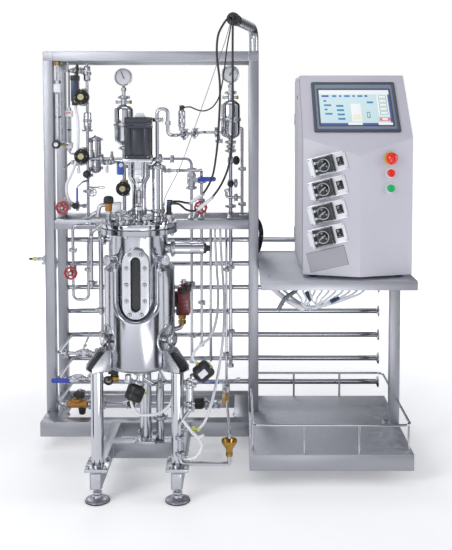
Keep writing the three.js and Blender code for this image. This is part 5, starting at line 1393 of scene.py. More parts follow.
filters = {
    "exhaust": {"x": 763, "bottom": 1245, "top": 1413, "gauge": 1521, "low": 262, "needle": -40},
    "inlet": {"x": 310, "bottom": 1220, "top": 1393, "gauge": 1508, "low": 921, "needle": 20},
}
filterY, filterRadius = 140, 40


def railBar(b, x):
    # flat strap across the two middle rails that carries a line, with its bolted saddle
    b.block((x - 12, 20, 918.3), (x + 12, 260, 924), "brushedY", 1)
    for y in (30, 250):
        bolt(b, (x, y, 924), axisZ, 4.4, 3.6)


def faceActuator(b, x, z, y):
    # a diaphragm valve on a line, its pneumatic head towards the front
    radius = 30
    for up in (-1, 1):
        b.turned([(7, 0), (12, 3), (15, 9), (15, 14), (10, 18)], "satin",
                 standing((x, y, z + up * 24), (x, y, z + up * 6)), 26)
        clamp(b, (x, y, z + up * 27), axisZ, 8, -axisY if up > 0 else axisX)
    b.bar((x, y + 10, z), (x, y - 14, z), 13, "satin", 28, 1)
    for sx, sz in fourCorners:
        b.bar((x + sx * 11, y - 18, z + sz * 11), (x + sx * 11, y + 2, z + sz * 11), 2.6, "satin", 12)
    b.block((x - 15, y - 16, z - 15), (x + 15, y - 10, z + 15), "satin", 1.6)
    actuator(b, (x, y - 35, z), -axisY, radius, 42)
    b.bar((x + radius * 0.5, y - 40, z + radius - 4), (x + radius * 0.5, y - 40, z + radius + 7), 4.4,
          "brass", 16)


def makeFilter(name):
    item = filters[name]
    b = Build()
    x, y, low, top = item["x"], filterY, item["bottom"], item["top"]
    r, z = filterRadius, (low + top) / 2
    b.turned([(0, low + 1), (14, low + 2), (24, low + 6), (35, low + 14), (39, low + 20), (r, low + 26),
              (r, top - 26), (39, top - 20), (35, top - 14), (24, top - 5), (12, top), (0, top)],
             "polished", moved(x, y), 56, 0.4)
    b.turned([(r - 1, z - 9), (r + 3, z - 7), (r + 4, z - 4), (r + 4, z + 4), (r + 3, z + 7),
              (r - 1, z + 9)], "cast", moved(x, y), 56, 0.5)
    b.block((x - 8, y - r - 12, z - 7), (x + 8, y - r, z + 7), "cast", 2)
    b.bar((x - 16, y - r - 8, z), (x + 18, y - r - 8, z), 3, "cast", 14)
    wingNut(b, (x + 14, y - r - 8, z), axisX, axisZ, 6)
    b.bar((x, y, top - 3), (x, y, top + 24), 12, "satin", 30)
    clamp(b, (x, y, top + 30), axisZ, 11, axisX)
    for sign in (-1, 1):
        b.bar((x + sign * 9, y, top + 10), (x + sign * 27, y, top + 10), 6, "satin", 18)
        b.hexBar((x + sign * 25, y, top + 10), (x + sign * 34, y, top + 10), 8.5,
                 "satin" if sign < 0 else "brass")
    b.bar((x, y, top + 36), (x, y, item["gauge"] - 46), 8, "satin", 24)
    b.hexBar((x, y, item["gauge"] - 58), (x, y, item["gauge"] - 44), 11, "satin")
    b.bar((x, y, item["gauge"] - 46), (x, y, item["gauge"] - 34), 6, "brass", 20)
    gaugeDial(b, (x, y, item["gauge"]), -axisY, 38, 26, item["needle"])
    railBar(b, x)
    b.bar((x, y, low + 4), (x, y, item["low"]), 8, "tube", 22)
    clamp(b, (x, y, low - 12), axisZ, 9, axisX)
    if name == "inlet":
        clamp(b, (x, y, 1130), axisZ, 9, axisX)
        faceActuator(b, x, 1038, y)
        b.bar((x + 34, y, 1180), (x + 9, y, 1180), 5, "tube", 16)
        nut(b, (x + 34, y, 1180), axisX, 9, 10, "satin")
    else:
        b.tube([(688.9, y, 1275), (724, y, 1275)], 6, "tube", 10)
        nut(b, (704, y, 1275), axisX, 10, 12)
        for z in (1196, 960, 700, 420):
            clamp(b, (x, y, z), axisZ, 9, axisX if z > 900 else -axisY)
        nut(b, (x, y, item["low"] + 9), axisZ, 13, 16)
    b.make(f"{name}_filter_housing", [f"{name}_filter"])


gasLine = {"x": 167, "y": 75, "low": 920, "top": 1589, "heads": ((-14, 1421), (-16, 1178)),
           "filter": (194, 112), "filterPorts": (1118, 1240), "steam": (74, 968)}


def makeGas():
    b = Build()
    x, y = gasLine["x"], gasLine["y"]
    b.bar((x, y, gasLine["low"]), (x, y, gasLine["top"]), 6, "tube", 20)
    railBar(b, x)
    b.block((x - 12, 20, 1567.3), (x + 12, 100, 1573), "brushedY", 1)
    for aside, z in gasLine["heads"]:
        faceActuator(b, x + aside, z, y - 14)
    b.turned([(6, 1487), (12, 1489), (14, 1493), (14, 1547), (12, 1551), (6, 1553)], "satin", moved(x, y), 30)
    clamp(b, (x, y, 1520), axisZ, 9, -axisY)
    b.turned([(6, 1280), (22, 1280), (22, 1288), (16, 1290), (16, 1356), (12, 1360), (6, 1361)], "polished",
             moved(x, y), 36)
    clamp(b, (x, y, 1324), axisZ, 9, -axisY)
    clampsUp(b, x, y, (1096, 1030), 7, axisX)
    cx, cy = gasLine["filter"]
    b.turned([(0, 1101), (14, 1104), (20, 1109), (23, 1114), (23, 1150), (24.5, 1152), (24.5, 1160),
              (23, 1162), (23, 1250), (20, 1256), (14, 1260), (0, 1263)], "polished", moved(cx, cy), 36)
    for z in gasLine["filterPorts"]:
        b.tube([(x, y, z), (cx, cy, z)], 5, "tube", 8)
        nut(b, Vector((x, y, z)).lerp(Vector((cx, cy, z)), 0.3), Vector((cx - x, cy - y, 0)), 8, 9)
    # the steam valve at the end of its branch, with the stem that its handwheel turns on
    at, z = gasLine["steam"]
    b.tube([(x, y, z), (at - 20, y, z)], 6, "tube", 12)
    nut(b, (x - 16, y, z), axisX, 10, 14)
    clamp(b, (at + 48, y, z), axisX, 7, axisZ)
    b.block((at - 20, y - 18, z - 18), (at + 20, y + 18, z + 18), "satin", 5)
    b.hexBar((at - 26, y, z), (at - 18, y, z), 14, "satin")
    b.bar((at, y - 17, z), (at, y - 45, z), 10, "satin", 26)
    b.hexBar((at, y - 33, z), (at, y - 47, z), 13, "satin")
    b.bar((at, y - 45, z), (at, y - 84, z), 4, "satin", 16)
    b.block((at - 4, y - 20, z + 18), (at + 4, y - 12, z + 36), "satin", 2)
    b.make("gas_run", ["gas_line"])


rotameter = {"x": 56, "y": 22, "half": 16, "foot": (1212, 1244), "head": (1440.2, 1475), "top": 1567,
             "bore": 11.6, "marks": 17, "markPitch": 10, "float": 1330, "knob": 1228, "knobRadius": 17}


def makeRotameter():
    b = Build()
    x, y, half = rotameter["x"], rotameter["y"], rotameter["half"]
    (z0, z1), (z2, z3) = rotameter["foot"], rotameter["head"]
    z, top = rotameter["knob"], rotameter["top"]
    b.block((x - half, y - half, z0), (x + half, y + half, z1), "satin", 3)
    b.block((x - half, y - half, z2), (x + half, y + half, z3), "white", 3)
    b.bar((x, y, z1), (x, y, z2 - 0.2), rotameter["bore"], "acrylic", 28, 1)
    b.bar((x, y, z1 + 2), (x, y, z2 - 2.2), 5, "white", 20)
    b.block((x - 4, y - 14.6, z1 + 8), (x + 4, y - 12, z2 - 8.2), "white", 0.6)
    for i in range(rotameter["marks"]):
        mark = z1 + 14 + rotameter["markPitch"] * i
        b.block((x - 3.6, y - 15.1, mark), (x + (1 if i % 4 else 3.6), y - 14.4, mark + 1.1), "black", 0.1)
    b.turned([(0, 0), (4, 3), (8, 11), (8, 14), (0, 14)], "black", moved(x, y, rotameter["float"]), 20)
    for sign in (-1, 1):
        b.bar((x + sign * 13.4, y + 12, z1 - 4), (x + sign * 13.4, y + 12, z2 + 3.8), 2.4, "satin", 12)
    b.block((x - 10, y - 17, z3 - 19), (x + 10, y - 15.2, z3 - 14), "redPlastic", 0.5)
    b.block((x - 14, y - 17.4, z3 - 35), (x + 14, y - 15.8, z3 - 7), "white", 0.8)
    b.bar((x, y, z3), (x, y, top), 7, "tube", 22)
    b.hexBar((x, y, z3 - 1), (x, y, z3 + 15), 13, "satin")
    b.hexBar((x, y, top - 17), (x, y, top), 12, "brass")
    b.bar((x, y - 15, z), (x, y - 24, z), 9, "brass", 24)
    b.hexBar((x, y - 15, z), (x, y - 21, z), 12, "brass")
    b.bar((x + half, y, z), (x + half + 12, y, z), 6, "brass", 20)
    b.make("rotameter_body", ["rotameter"])
    r = rotameter["knobRadius"]
    k = Build()
    k.bar((x, y - 4, z), (x, y - 25, z), 3, "satin", 16)
    k.turned([(0, 1), (r - 3, 1), (r, 3), (r, 22), (r - 2, 25), (0, 25)], "black",
             standing((x, y - 22, z), (x, y - 47, z)), 36)
    for c, s in ringPoints(18):
        edgeX, edgeZ = x + (r - 0.6) * c, z + (r - 0.6) * s
        k.bar((edgeX, y - 26, edgeZ), (edgeX, y - 43, edgeZ), 1.3, "black", 8, 0.3)
    k.bar((x, y - 46.4, z), (x, y - 48, z), 9, "white", 28)
    k.block((x - 1, y - 48.4, z + 1), (x + 1, y - 47.8, z + 8), "black", 0.2)
    k.make("rotameter_grip", ["rotameter_knob"], "rotameter_knob")


feed = {"x": 600, "z": 1166, "valve": 1082}
returning = {"x": 642, "valve": 969}


def makeFeed():
    b = Build()
    x, y, z = feed["x"], 75, feed["valve"]
    b.tube([(173.5, y, feed["z"]), (x, y, feed["z"]), (x, y, 300)], 6, "tube", 26)
    for at in (226, 268, 352, 470, 520):
        clamp(b, (at, y, feed["z"]), axisX, 7, axisZ if at % 4 else -axisY)
    b.bar((268, y, feed["z"] + 10), (268, y, feed["z"] + 30), 6, "tube", 18)
    ballBody(b, (x, y, z), axisZ, 12, -axisY)
    clamp(b, (x, y, z + 38), axisZ, 8, axisX)
    clamp(b, (x, y, z - 38), axisZ, 8, axisX)
    b.bar((x, 60, z), (x, 41, z), 5, "satin", 18)
    b.hexBar((x, 61, z), (x, 54, z), 10, "satin")
    railBar(b, x)
    clampsUp(b, x, y, (880, 640, 420), 7, -axisY)
    nut(b, (x, y, 308), axisZ, 11, 16)
    b.make("feed_run", ["feed_line"])


def makeReturn():
    b = Build()
    x, y, z = returning["x"], 75, returning["valve"]
    start = condenser["returnX"]
    b.tube([(start, -462, 1150), (start + 40, -462, 1150), (x - 10, 0, 1120), (x, y, 1120), (x, y, 372)], 6,
           "tube", 16)
    nut(b, (start + 8, -462, 1150), axisX, 9, 12)
    b.block((x - 18, y - 18, z - 20), (x + 18, y + 18, z + 20), "satin", 5)
    for up in (-1, 1):
        b.hexBar((x, y, z + up * 19), (x, y, z + up * 30), 14, "satin")
    b.bar((x, y - 17, z), (x, y - 46, z), 9, "satin", 24)
    b.hexBar((x, y - 34, z), (x, y - 48, z), 12, "satin")
    b.bar((x, y - 46, z), (x, y - 82, z), 4, "satin", 16)
    clamp(b, (x, y, 1070), axisZ, 7, axisX)
    railBar(b, x)
    clampsUp(b, x, y, (820, 560), 7, -axisY)
    nut(b, (x, y, 380), axisZ, 11, 16)
    b.make("return_run", ["return_line"])


jacketRun = {"azimuth": -110, "high": 900, "x": 124, "y": -40, "low": 596, "valve": 714, "riser": 186,
             "top": 877.6}


def makeJacketLine():
    b = Build()
    azimuth, high, low = jacketRun["azimuth"], jacketRun["high"], jacketRun["low"]
    x, y, z, riser = jacketRun["x"], jacketRun["y"], jacketRun["valve"], jacketRun["riser"]
    start, bend = aboutVessel(azimuth, 100.6, high), aboutVessel(azimuth, 160, high)
    b.tube([start, bend, (230, y, high), (x, y, high), (x, y, low), (riser, y, low), (riser, y, 838),
            (riser, 20, 838), (riser, 20, jacketRun["top"])], 6, "tube", 20)
    b.ring(aboutVessel(azimuth, 102, high), aboutVessel(azimuth, 1) - aboutVessel(azimuth, 0), 6.6, 2,
           "satin", 20, 8)
    clamp(b, start.lerp(bend, 0.7), bend - start, 7, axisZ)
    b.block((riser - 10, y, high - 8), (riser + 10, -0.2, high + 8), "satin", 2)
    b.hexBar((x, y, z - 24), (x, y, z + 24), 14, "satin")
    b.bar((x, y, z), (x, y - 28, z), 9, "satin", 24)
    b.hexBar((x, y - 16, z), (x, y - 28, z), 12, "satin")
    b.bar((x, y - 26, z), (x, y - 58, z), 4, "satin", 16)
    clampsUp(b, x, y, (800, 648), 7, -axisY)
    clampsUp(b, riser, y, (720,), 7, -axisY)
    b.make("jacket_run", ["jacket_line"])


wheels = {"steam": (74, -1, 968), "jacket": (124, -90, 714), "return": (642, 1, 969)}
wheel = {"radius": 23, "rim": 4.4, "hub": 9.5, "spokes": 5, "lobes": 8}


def makeWheels():
    for name, (x, y, z) in wheels.items():
        b = Build()
        r = wheel["radius"]
        rim = []
        for i in range(97):
            angle = 2 * math.pi * i / 96
            reach = r + 0.9 * math.cos(wheel["lobes"] * angle)
            rim.append((x + reach * math.cos(angle), y, z + reach * math.sin(angle)))
        b.sweep(rim, wheel["rim"], "redEnamel", 12)
        for c, s in ringPoints(wheel["lobes"]):
            b.bar((x + c * (r + 1.6), y + 3.4, z + s * (r + 1.6)),
                  (x + c * (r + 1.6), y - 3.4, z + s * (r + 1.6)), 3.6, "redEnamel", 14, 1.4)
        b.turned([(4.3, -4), (wheel["hub"], -5), (wheel["hub"] + 1, -2), (wheel["hub"], 4), (7, 5),
                  (4.3, 5)], "redEnamel", standing((x, y, z), (x, y - 1, z)), 30, 0.4, True)
        for i in range(wheel["spokes"]):
            angle = 2 * math.pi * (i + 0.25) / wheel["spokes"]
            c, s = math.cos(angle), math.sin(angle)
            b.sweep([(x + c * u, y + bow, z + s * u) for u, bow in ((7, -0.5), (12, 1), (18, 1), (r, 0))],
                    3.4, "redEnamel", 10)
        b.bar((x, y - 3, z), (x, y - 6, z), 7.6, "black", 24)
        b.hexBar((x, y - 5, z), (x, y - 9, z), 6, "polished")
        b.bar((x, y - 8, z), (x, y - 11, z), 2.6, "satin", 14)
        b.make(f"wheel_{name}", [f"handwheel_{name}"], f"handwheel_{name}")


levers = {
    "feed": {"place": (600, 48.8, 1082), "reach": axisX, "out": -axisY},
    "branch": {"place": (132, -35.4, 259), "reach": -axisX, "out": -axisY},
    "condensate": {"place": (746, -20, 242.4), "reach": -axisX, "out": axisZ},
}
leverGrip = {"length": 104, "width": 20}


def makeLevers():
    for name, lever in levers.items():
        b = Build()
        handle(b, lever["place"], lever["reach"], lever["out"], leverGrip["length"], leverGrip["width"])
        b.make(f"lever_{name}_grip", [f"lever_{name}"], f"lever_{name}")


pump = {"x": 586, "y": -305, "low": 598, "high": 707, "motor": (655, 30), "pipe": (548, 9)}


def makePump():
    b = Build()
    x, y, low, high = pump["x"], pump["y"], pump["low"], pump["high"]
    b.block((x - 16, y - 32, low), (x + 30, y + 32, high), "pumpRed", 5)
    b.block((x + 26, y - 25, low + 8), (x + 31, y + 25, high - 7), "pumpRed", 2)
    z, radius = pump["motor"]
    b.bar((x - 15, y, z), (x - 32, y, z), radius, "black", 44, 3)
    for i in range(5):
        b.bar((x - 17 - 3 * i, y, z), (x - 18.4 - 3 * i, y, z), radius + 0.6, "black", 44)
    b.block((x - 11, y - 34, high - 27), (x + 24, y - 31, high - 5), "black", 1.5)
    b.bar((x + 6, y, high - 1), (x + 6, y, high + 5), 12, "pumpRed", 28, 2)
    b.hexBar((x, y, low - 38), (x, y, low - 22), 15, "brass")
    b.hexBar((x, y, low - 18), (x, y, low), 15, "brass")
    for atY in (y - 24, y + 24):
        for atZ in (low + 14, high - 14):
            bolt(b, (x + 30.6, atY, atZ), axisX, 3.6, 2)
    b.block((x + 14, y - 36, high - 17), (x + 36, y + 36, high + 9), "black", 3)
    b.block((x - 20, y - 35, low + 2), (x - 11, y + 35, low + 50), "black", 2)
    b.bar((x + 6, y, high + 3), (x + 6, y, high + 25), 9, "satin", 24, 1)
    b.bar((x + 6, y, high + 9), (x + 6, y, high + 17), 14, "satin", 26, 1.5)
    for i in range(4):
        b.block((x - 2, y - 33.6, low + 14 + 14 * i), (x + 20, y - 31.4, low + 20 + 14 * i), "pumpRed", 1)
    z, radius = pump["pipe"]
    reach = unit((x - vessel["x"], y - vessel["y"], 0))
    wall = Vector((vessel["x"], vessel["y"], z)) + reach * (jacket["radius"] + 0.4)
    b.tube([(x, y, low + 2), (x, y, z), wall], radius, "tube", 18)
    b.ring(wall + reach * 1.5, reach, radius + 0.6, 2, "satin", 24, 8)
    b.make("circulation_pump_body", ["circulation_pump"])


drainValve = {"foot": 427.7, "bodyZ": 405.7, "tilt": (-0.32, -0.3, -0.9), "head": (32, 58), "outletZ": 375.7}


def makeDrainValve():
    b = Build()
    x, y, z, outlet = vessel["x"], vessel["y"], drainValve["foot"], drainValve["outletZ"]
    b.turned([(12.6, z), (25, z), (25, z - 3.7), (15, z - 6.7), (15, z - 28.7), (0, z - 30)], "polished",
             moved(x, y), 36)
    clamp(b, (x, y, 427), axisZ, 16, Vector((1, -0.5, 0)))
    tilt = unit(drainValve["tilt"])
    start = Vector((x, y, drainValve["bodyZ"]))
    b.bar(start + tilt * 2, start + tilt * 30, 14, "satin", 28)
    clamp(b, start + tilt * 20, tilt, 13, tilt.orthogonal())
    actuator(b, start + tilt * 56, tilt, *drainValve["head"], "gold")
    b.bar(start + tilt * 84, start + tilt * 104, 14, "black", 28, 4)
    side = tilt.cross(axisY).normalized()
    b.bar(start + tilt * 44 + side * 30, start + tilt * 44 + side * 41, 4.5, "lime", 16)
    b.tube([(x, y, z - 20), (x + 40, y + 20, outlet), (x + 84, y + 42, outlet)], 8, "tube", 14)
    clamp(b, (x + 65, y + 32.4, outlet), Vector((1, 0.5, 0)), 8, axisZ)
    b.make("drain_valve_body", ["drain_valve"])


drain = {"y": -590.3, "upper": 632, "lower": 597, "runZ": 141, "top": 430, "tundish": (768, -595), "rim": 226,
         "headTilt": (0.767, 0.102, 0.634), "head": (31, 60), "portTilt": (-0.637, 0, 0.771), "side": 262}


def makeDrainLine():
    b = Build()
    y, upper, lower, top, run = drain["y"], drain["upper"], drain["lower"], drain["top"], drain["runZ"]
    tx, ty = drain["tundish"]
    b.tube([(upper, y, top), (upper, y, 330), (lower, y, 280), (lower, y, run), (tx - 2, ty, run),
            (tx, ty, run), (tx, ty, 184)], 7.4, "tube", 18)
    low, rim = drain["rim"] - 46, drain["rim"]
    b.turned([(0, low), (9, low), (11, low + 4), (12, low + 14), (26, rim - 10), (27.5, rim - 4), (27.5, rim),
              (25.5, rim), (24, rim - 8), (9, low + 16), (0, low + 14)], "brass", moved(tx, ty), 40)
    b.hexBar((tx, ty, low - 12), (tx, ty, low + 2), 12, "brass")
    for z in (336, 352, 414, 428):
        clamp(b, (upper, y, z), axisZ, 8, axisX if z % 4 else -axisY)
    b.bar((upper, y, 360), (upper, y, 410), 13, "satin", 28, 2)
    b.bar((upper, y, top - 10), (upper, y, top + 10), 10, "satin", 24)
    # the side fitting that the long air hose ends on
    z = drain["side"]
    b.tube([(lower, y, z), (lower + 56, y, z)], 6, "tube", 8)
    nut(b, (lower + 17, y, z), axisX, 10, 10)
    b.hexBar((lower + 39, y, z), (lower + 55, y, z), 9, "lime")
    b.sweep([(lower + 51, y, z), (lower + 57, y - 4, z - 1), (lower + 61, y - 8, z - 1.4),
             (lower + 64, y - 9, z + 1.5)], 4.4, "satin", 16)
    b.bar((lower + 61.5, y - 9.1, z - 1.3), (lower + 67, y - 9.3, z + 5), 7.4, "lime", 22, 1)
    clampsUp(b, lower, y, (232, 176), 7, -axisY)
    # the pneumatic head, leaning off the line, with its air port and its label plate
    tilt = unit(drain["headTilt"])
    start = Vector((upper, y, top - 6))
    b.bar(start - tilt * 12, start + tilt * 32, 13, "satin", 28, 2)
    clamp(b, start + tilt * 22, tilt, 12, axisY)
    actuator(b, start + tilt * 61, tilt, *drain["head"])
    port = unit(drain["portTilt"])
    middle = start + tilt * 61
    b.bar(middle + port * 26, middle + port * 34, 7, "brass", 18)
    b.bar(middle + port * 32, middle + port * 39, 6, "lime", 18)
    plate = facing(middle - axisY * 32.6, tilt, tilt.cross(axisY) * -1)
    b.plate([rectangle(30, 22, 3, 4)], 1.5, "white", plate)
    b.make("drain_run", ["drain_line"])


condensate = {"x": 746, "z": 222, "back": 72, "strainer": (-120, -180), "ball": -20, "top": 877.6}


def makeCondensate():
    b = Build()
    x, z, back, ball = condensate["x"], condensate["z"], condensate["back"], condensate["ball"]
    tx, ty = drain["tundish"]
    b.tube([(x, 20, condensate["top"]), (x, 20, 838), (x, back, 798), (x, back, z), (x, -80, z),
            (tx, ty + 40, z + 24), (tx, ty, z + 24), (tx, ty, drain["rim"] - 10)], 5, "tube", 14)
    b.block((x - 15, ball - 24, z - 15), (x + 15, ball + 24, z + 15), "satin", 4)
    for y in (ball - 26, ball + 26):
        b.hexBar((x, y - 6, z), (x, y + 6, z), 14, "satin")
    b.bar((x, ball, z + 14), (x, ball, z + 32), 5, "satin", 18)
    near, far = condensate["strainer"]
    b.bar((x, near, z), (x, far, z + 2), 13, "brass", 26, 2)
    b.hexBar((x, near + 8, z), (x, near - 4, z), 15, "brass")
    b.hexBar((x, far + 2, z + 2), (x, far - 10, z + 2), 15, "brass")
    clampsUp(b, x, back, (700, 520, 340), 6, -axisY)
    b.make("condensate_run", ["condensate_line"])


makeCondenser()
makeExhaust()
makeSensor()
makeFilter("exhaust")
makeFilter("inlet")
makeGas()
makeRotameter()
makeFeed()
makeReturn()
makeJacketLine()
makeWheels()
makeLevers()
makePump()
makeDrainValve()
makeDrainLine()
makeCondensate()
print("pipework made")

cabinet = {"corners": ((1034, -392, 764), (1234, -449, 764), (1434, -392, 764), (1434, 88, 764),
                       (1034, 88, 764), (1034, -392, 1265), (1234, -449, 1201.8), (1434, -392, 1265),
                       (1434, -180, 1500), (1434, 88, 1500), (1034, 88, 1500), (1034, -180, 1500)),
           "faces": ((0, 4, 3, 2, 1), (0, 1, 6, 5), (1, 2, 7, 6), (2, 3, 9, 8, 7), (3, 4, 10, 9),
                     (4, 0, 5, 11, 10), (5, 6, 7, 8, 11), (8, 9, 10, 11)),
           "feet": ((1074, -352), (1394, -352), (1074, 48), (1394, 48)),
           "bezels": ((1191, 24, "yellow"), (1138, 18.5, "white"), (1083, 18.5, "white")),}
slant = Vector((0.9617, -0.2741, 0))
slantRight = Vector((0.9617, 0.2741, 0))
pumps = {"count": 4, "origin": (1121.5, -416.9, 1170), "pitch": 86.7, "tilt": 15, "plate": (142, 70, 4),
         "centre": -14, "housing": (72, 66, 30), "recess": 24.5, "switch": 47}


def pumpPlace(i):
    x, y, z = pumps["origin"]
    lean = Matrix.Rotation(math.radians(pumps["tilt"]), 4, "Z")
    return facing((x, y, z - pumps["pitch"] * i), slant, axisZ) @ lean


# the cabinet's right-hand front face, which carries the buttons
buttonFace = facing((1346.5, -416.9, 0), slantRight, axisZ)


def makeCabinet():
    b = Build()
    b.prism(cabinet["corners"], cabinet["faces"], "cabinet", 3)
    bores = []
    for z, _, _ in cabinet["bezels"]:
        bores.append(Build())
        bores[-1].bar(buttonFace @ Vector((0, z, -10)), buttonFace @ Vector((0, z, 3)), 9.2, "cabinet", 32, 0)
    b.carve(*bores)
    for x, side in ((1034, -1), (1434, 1)):
        outline = [(-380, 778), (76, 778), (76, 1486), (-174, 1486), (-380, 1258)]
        seam = [Vector((x + side * 0.1, u, v)) for u, v in outline]
        b.sweep(seam + seam[:1], 0.9, "black", 6)
        lock = Vector((x, -82, 1417))
        b.bar(lock, lock + axisX * side * 3, 9, "polished", 28, 0.8)
        b.block((x + side * 2, -83.2, 1411), (x + side * 3.5, -80.8, 1423), "black", 0.3)
        for z in (860, 1330):
            b.bar((x + side * 1.5, 70, z - 24), (x + side * 1.5, 70, z + 24), 3, "satin", 16)
    for x, y in cabinet["feet"]:
        b.turned([(0, 752.3), (14, 752.3), (15, 754), (13, 764), (0, 764)], "rubber", moved(x, y), 24)
    blank = pumpPlace(3.97)
    b.plate([rectangle(144, 72, 1)], 0.7, "bezel", blank, 0.1)
    b.plate([rectangle(142, 70, 1)], 1.6, "blankPlate", blank, 0.4)
    for z, radius, finish in cabinet["bezels"]:
        high = 2.6 if finish == "yellow" else 0.9
        b.turned([(9, 0), (radius, 0), (radius, high - 0.5), (radius - 1.5, high), (9, high - 0.2)], finish,
                 buttonFace @ moved(0, z), 40, 0.1, True)
    b.make("cabinet_body", ["cabinet_shell"])
    c = Build()
    slots = [rectangle(180, 6, 2.5, 4, (0, 1303 + 16 * i - 1123)) for i in range(6)]
    c.plate([rectangle(368, 666, 6, 5)] + slots, 2.4, "cabinet", facing((1234, 88.3, 1123), -axisX, axisZ),
            0.5)
    # painted shade: a black sheet behind the vent slots stands in for the dark inside of the cabinet
    c.block((1130, 88.1, 1292), (1338, 88.5, 1396), "black", 0.1)
    for x in (1058, 1234, 1410):
        for z in (798, 1123, 1448):
            bolt(c, (x, 90.6, z), axisY, 4, 1.8)
    c.make("back_cover", ["cabinet_back_cover"])


screen = {"place": (1234, -292.4, 1375.5), "up": (0, 0.670, 0.7425), "size": (317, 250), "view": (265, 178),
          "drop": 4}
# each field of the display: left, top, right, bottom as shares of the view, then its finish
fields = [(0, 0, 1, 1, "screenPale"), (0, 0, 1, 0.13, "screenWhite"), (0, 0.94, 1, 1, "screenNavy"),
          (0.975, 0.13, 1, 1, "screenNavy"), (0.38, 0.93, 0.58, 1, "screenWhite"),
          (0.80, 0.93, 1, 1, "screenWhite"), (0.44, 0.40, 0.58, 0.9, "screenWhite"),
          (0.46, 0.70, 0.56, 0.84, "screenCream"), (0.82, 0.15, 0.97, 0.74, "screenWhite")]
headings = ((0.04, 0.1), (0.19, 0.06), (0.29, 0.03), (0.36, 0.08), (0.48, 0.03), (0.55, 0.07), (0.65, 0.04))
fields += [(x, 0.155, x + w, 0.205, "screenBlue" if i % 2 else "screenNavy")
           for i, (x, w) in enumerate(headings)]
fields += [(0.06 + 0.004 * i, 0.30 + 0.122 * i, (0.10 if i % 2 == 0 else 0.16) + 0.004 * i, 0.345 + 0.122 * i,
            "screenBlue") for i in range(4)]
fields += [(0.235 + 0.004 * i, 0.44 + 0.122 * i, 0.335 + 0.004 * i, 0.49 + 0.122 * i, "screenBlue")
           for i in range(4)]
fields += [(0.67, 0.34, 0.76, 0.39, "screenBlue"), (0.655, 0.64, 0.70, 0.8, "screenGreen"),
           (0.665, 0.665, 0.69, 0.775, "screenPale")]
for step in range(5):
    top = 0.17 + 0.115 * step
    fields += [(0.84, top, 0.955, top + 0.085, "screenGreen"),
               (0.848, top + 0.012, 0.947, top + 0.073, "screenWhite")]
fields += [(0.82, 0.80, 0.975, 0.89, "screenRose"), (0.86, 0.82, 0.935, 0.87, "screenWhite")]


def makeScreen():
    b = Build()
    place = facing(screen["place"], axisX, screen["up"])
    (w, h), (vw, vh), drop = screen["size"], screen["view"], screen["drop"]
    b.plate([rectangle(w, h, 5, 5), rectangle(w - 24, h - 24, 3, 4)], 8, "bezel", place, 1.4)
    b.plate([rectangle(w - 22, h - 22, 3, 4), rectangle(vw, vh, 2, 4, (0, -drop))], 6.2, "bezelPale", place,
            1)
    b.plate([rectangle(vw + 14, vh + 14, 3, 4, (0, -drop)), rectangle(vw - 1, vh - 1, 2, 4, (0, -drop))],
            6.8, "bezel", place, 1.2)
    for left, top, right, bottom, finish in fields:
        layer = 5.2 + 0.06 * fields.index((left, top, right, bottom, finish))
        low = (vw * (left - 0.5), vh * (0.5 - bottom) - drop, layer - 0.5 if layer > 5.2 else 3)
        b.block(low, (vw * (right - 0.5), vh * (0.5 - top) - drop, layer), finish, 0.02, place)
    lamp = [place @ Vector((20 - w / 2, h / 2 - 20, out)) for out in (6, 6.8)]
    b.bar(*lamp, 2, "greenPlastic", 14, 0.2)
    b.make("operator_panel", ["touch_panel"])


def keyhole(radius, left, half):
    # a round recess opening into a channel towards the left
    steps = 26
    start = math.pi - math.asin(half / radius)
    arc = [(radius * math.cos(start - 2 * start * i / steps),
            radius * math.sin(start - 2 * start * i / steps)) for i in range(steps + 1)]
    return [(left, half)] + arc + [(left, -half)]


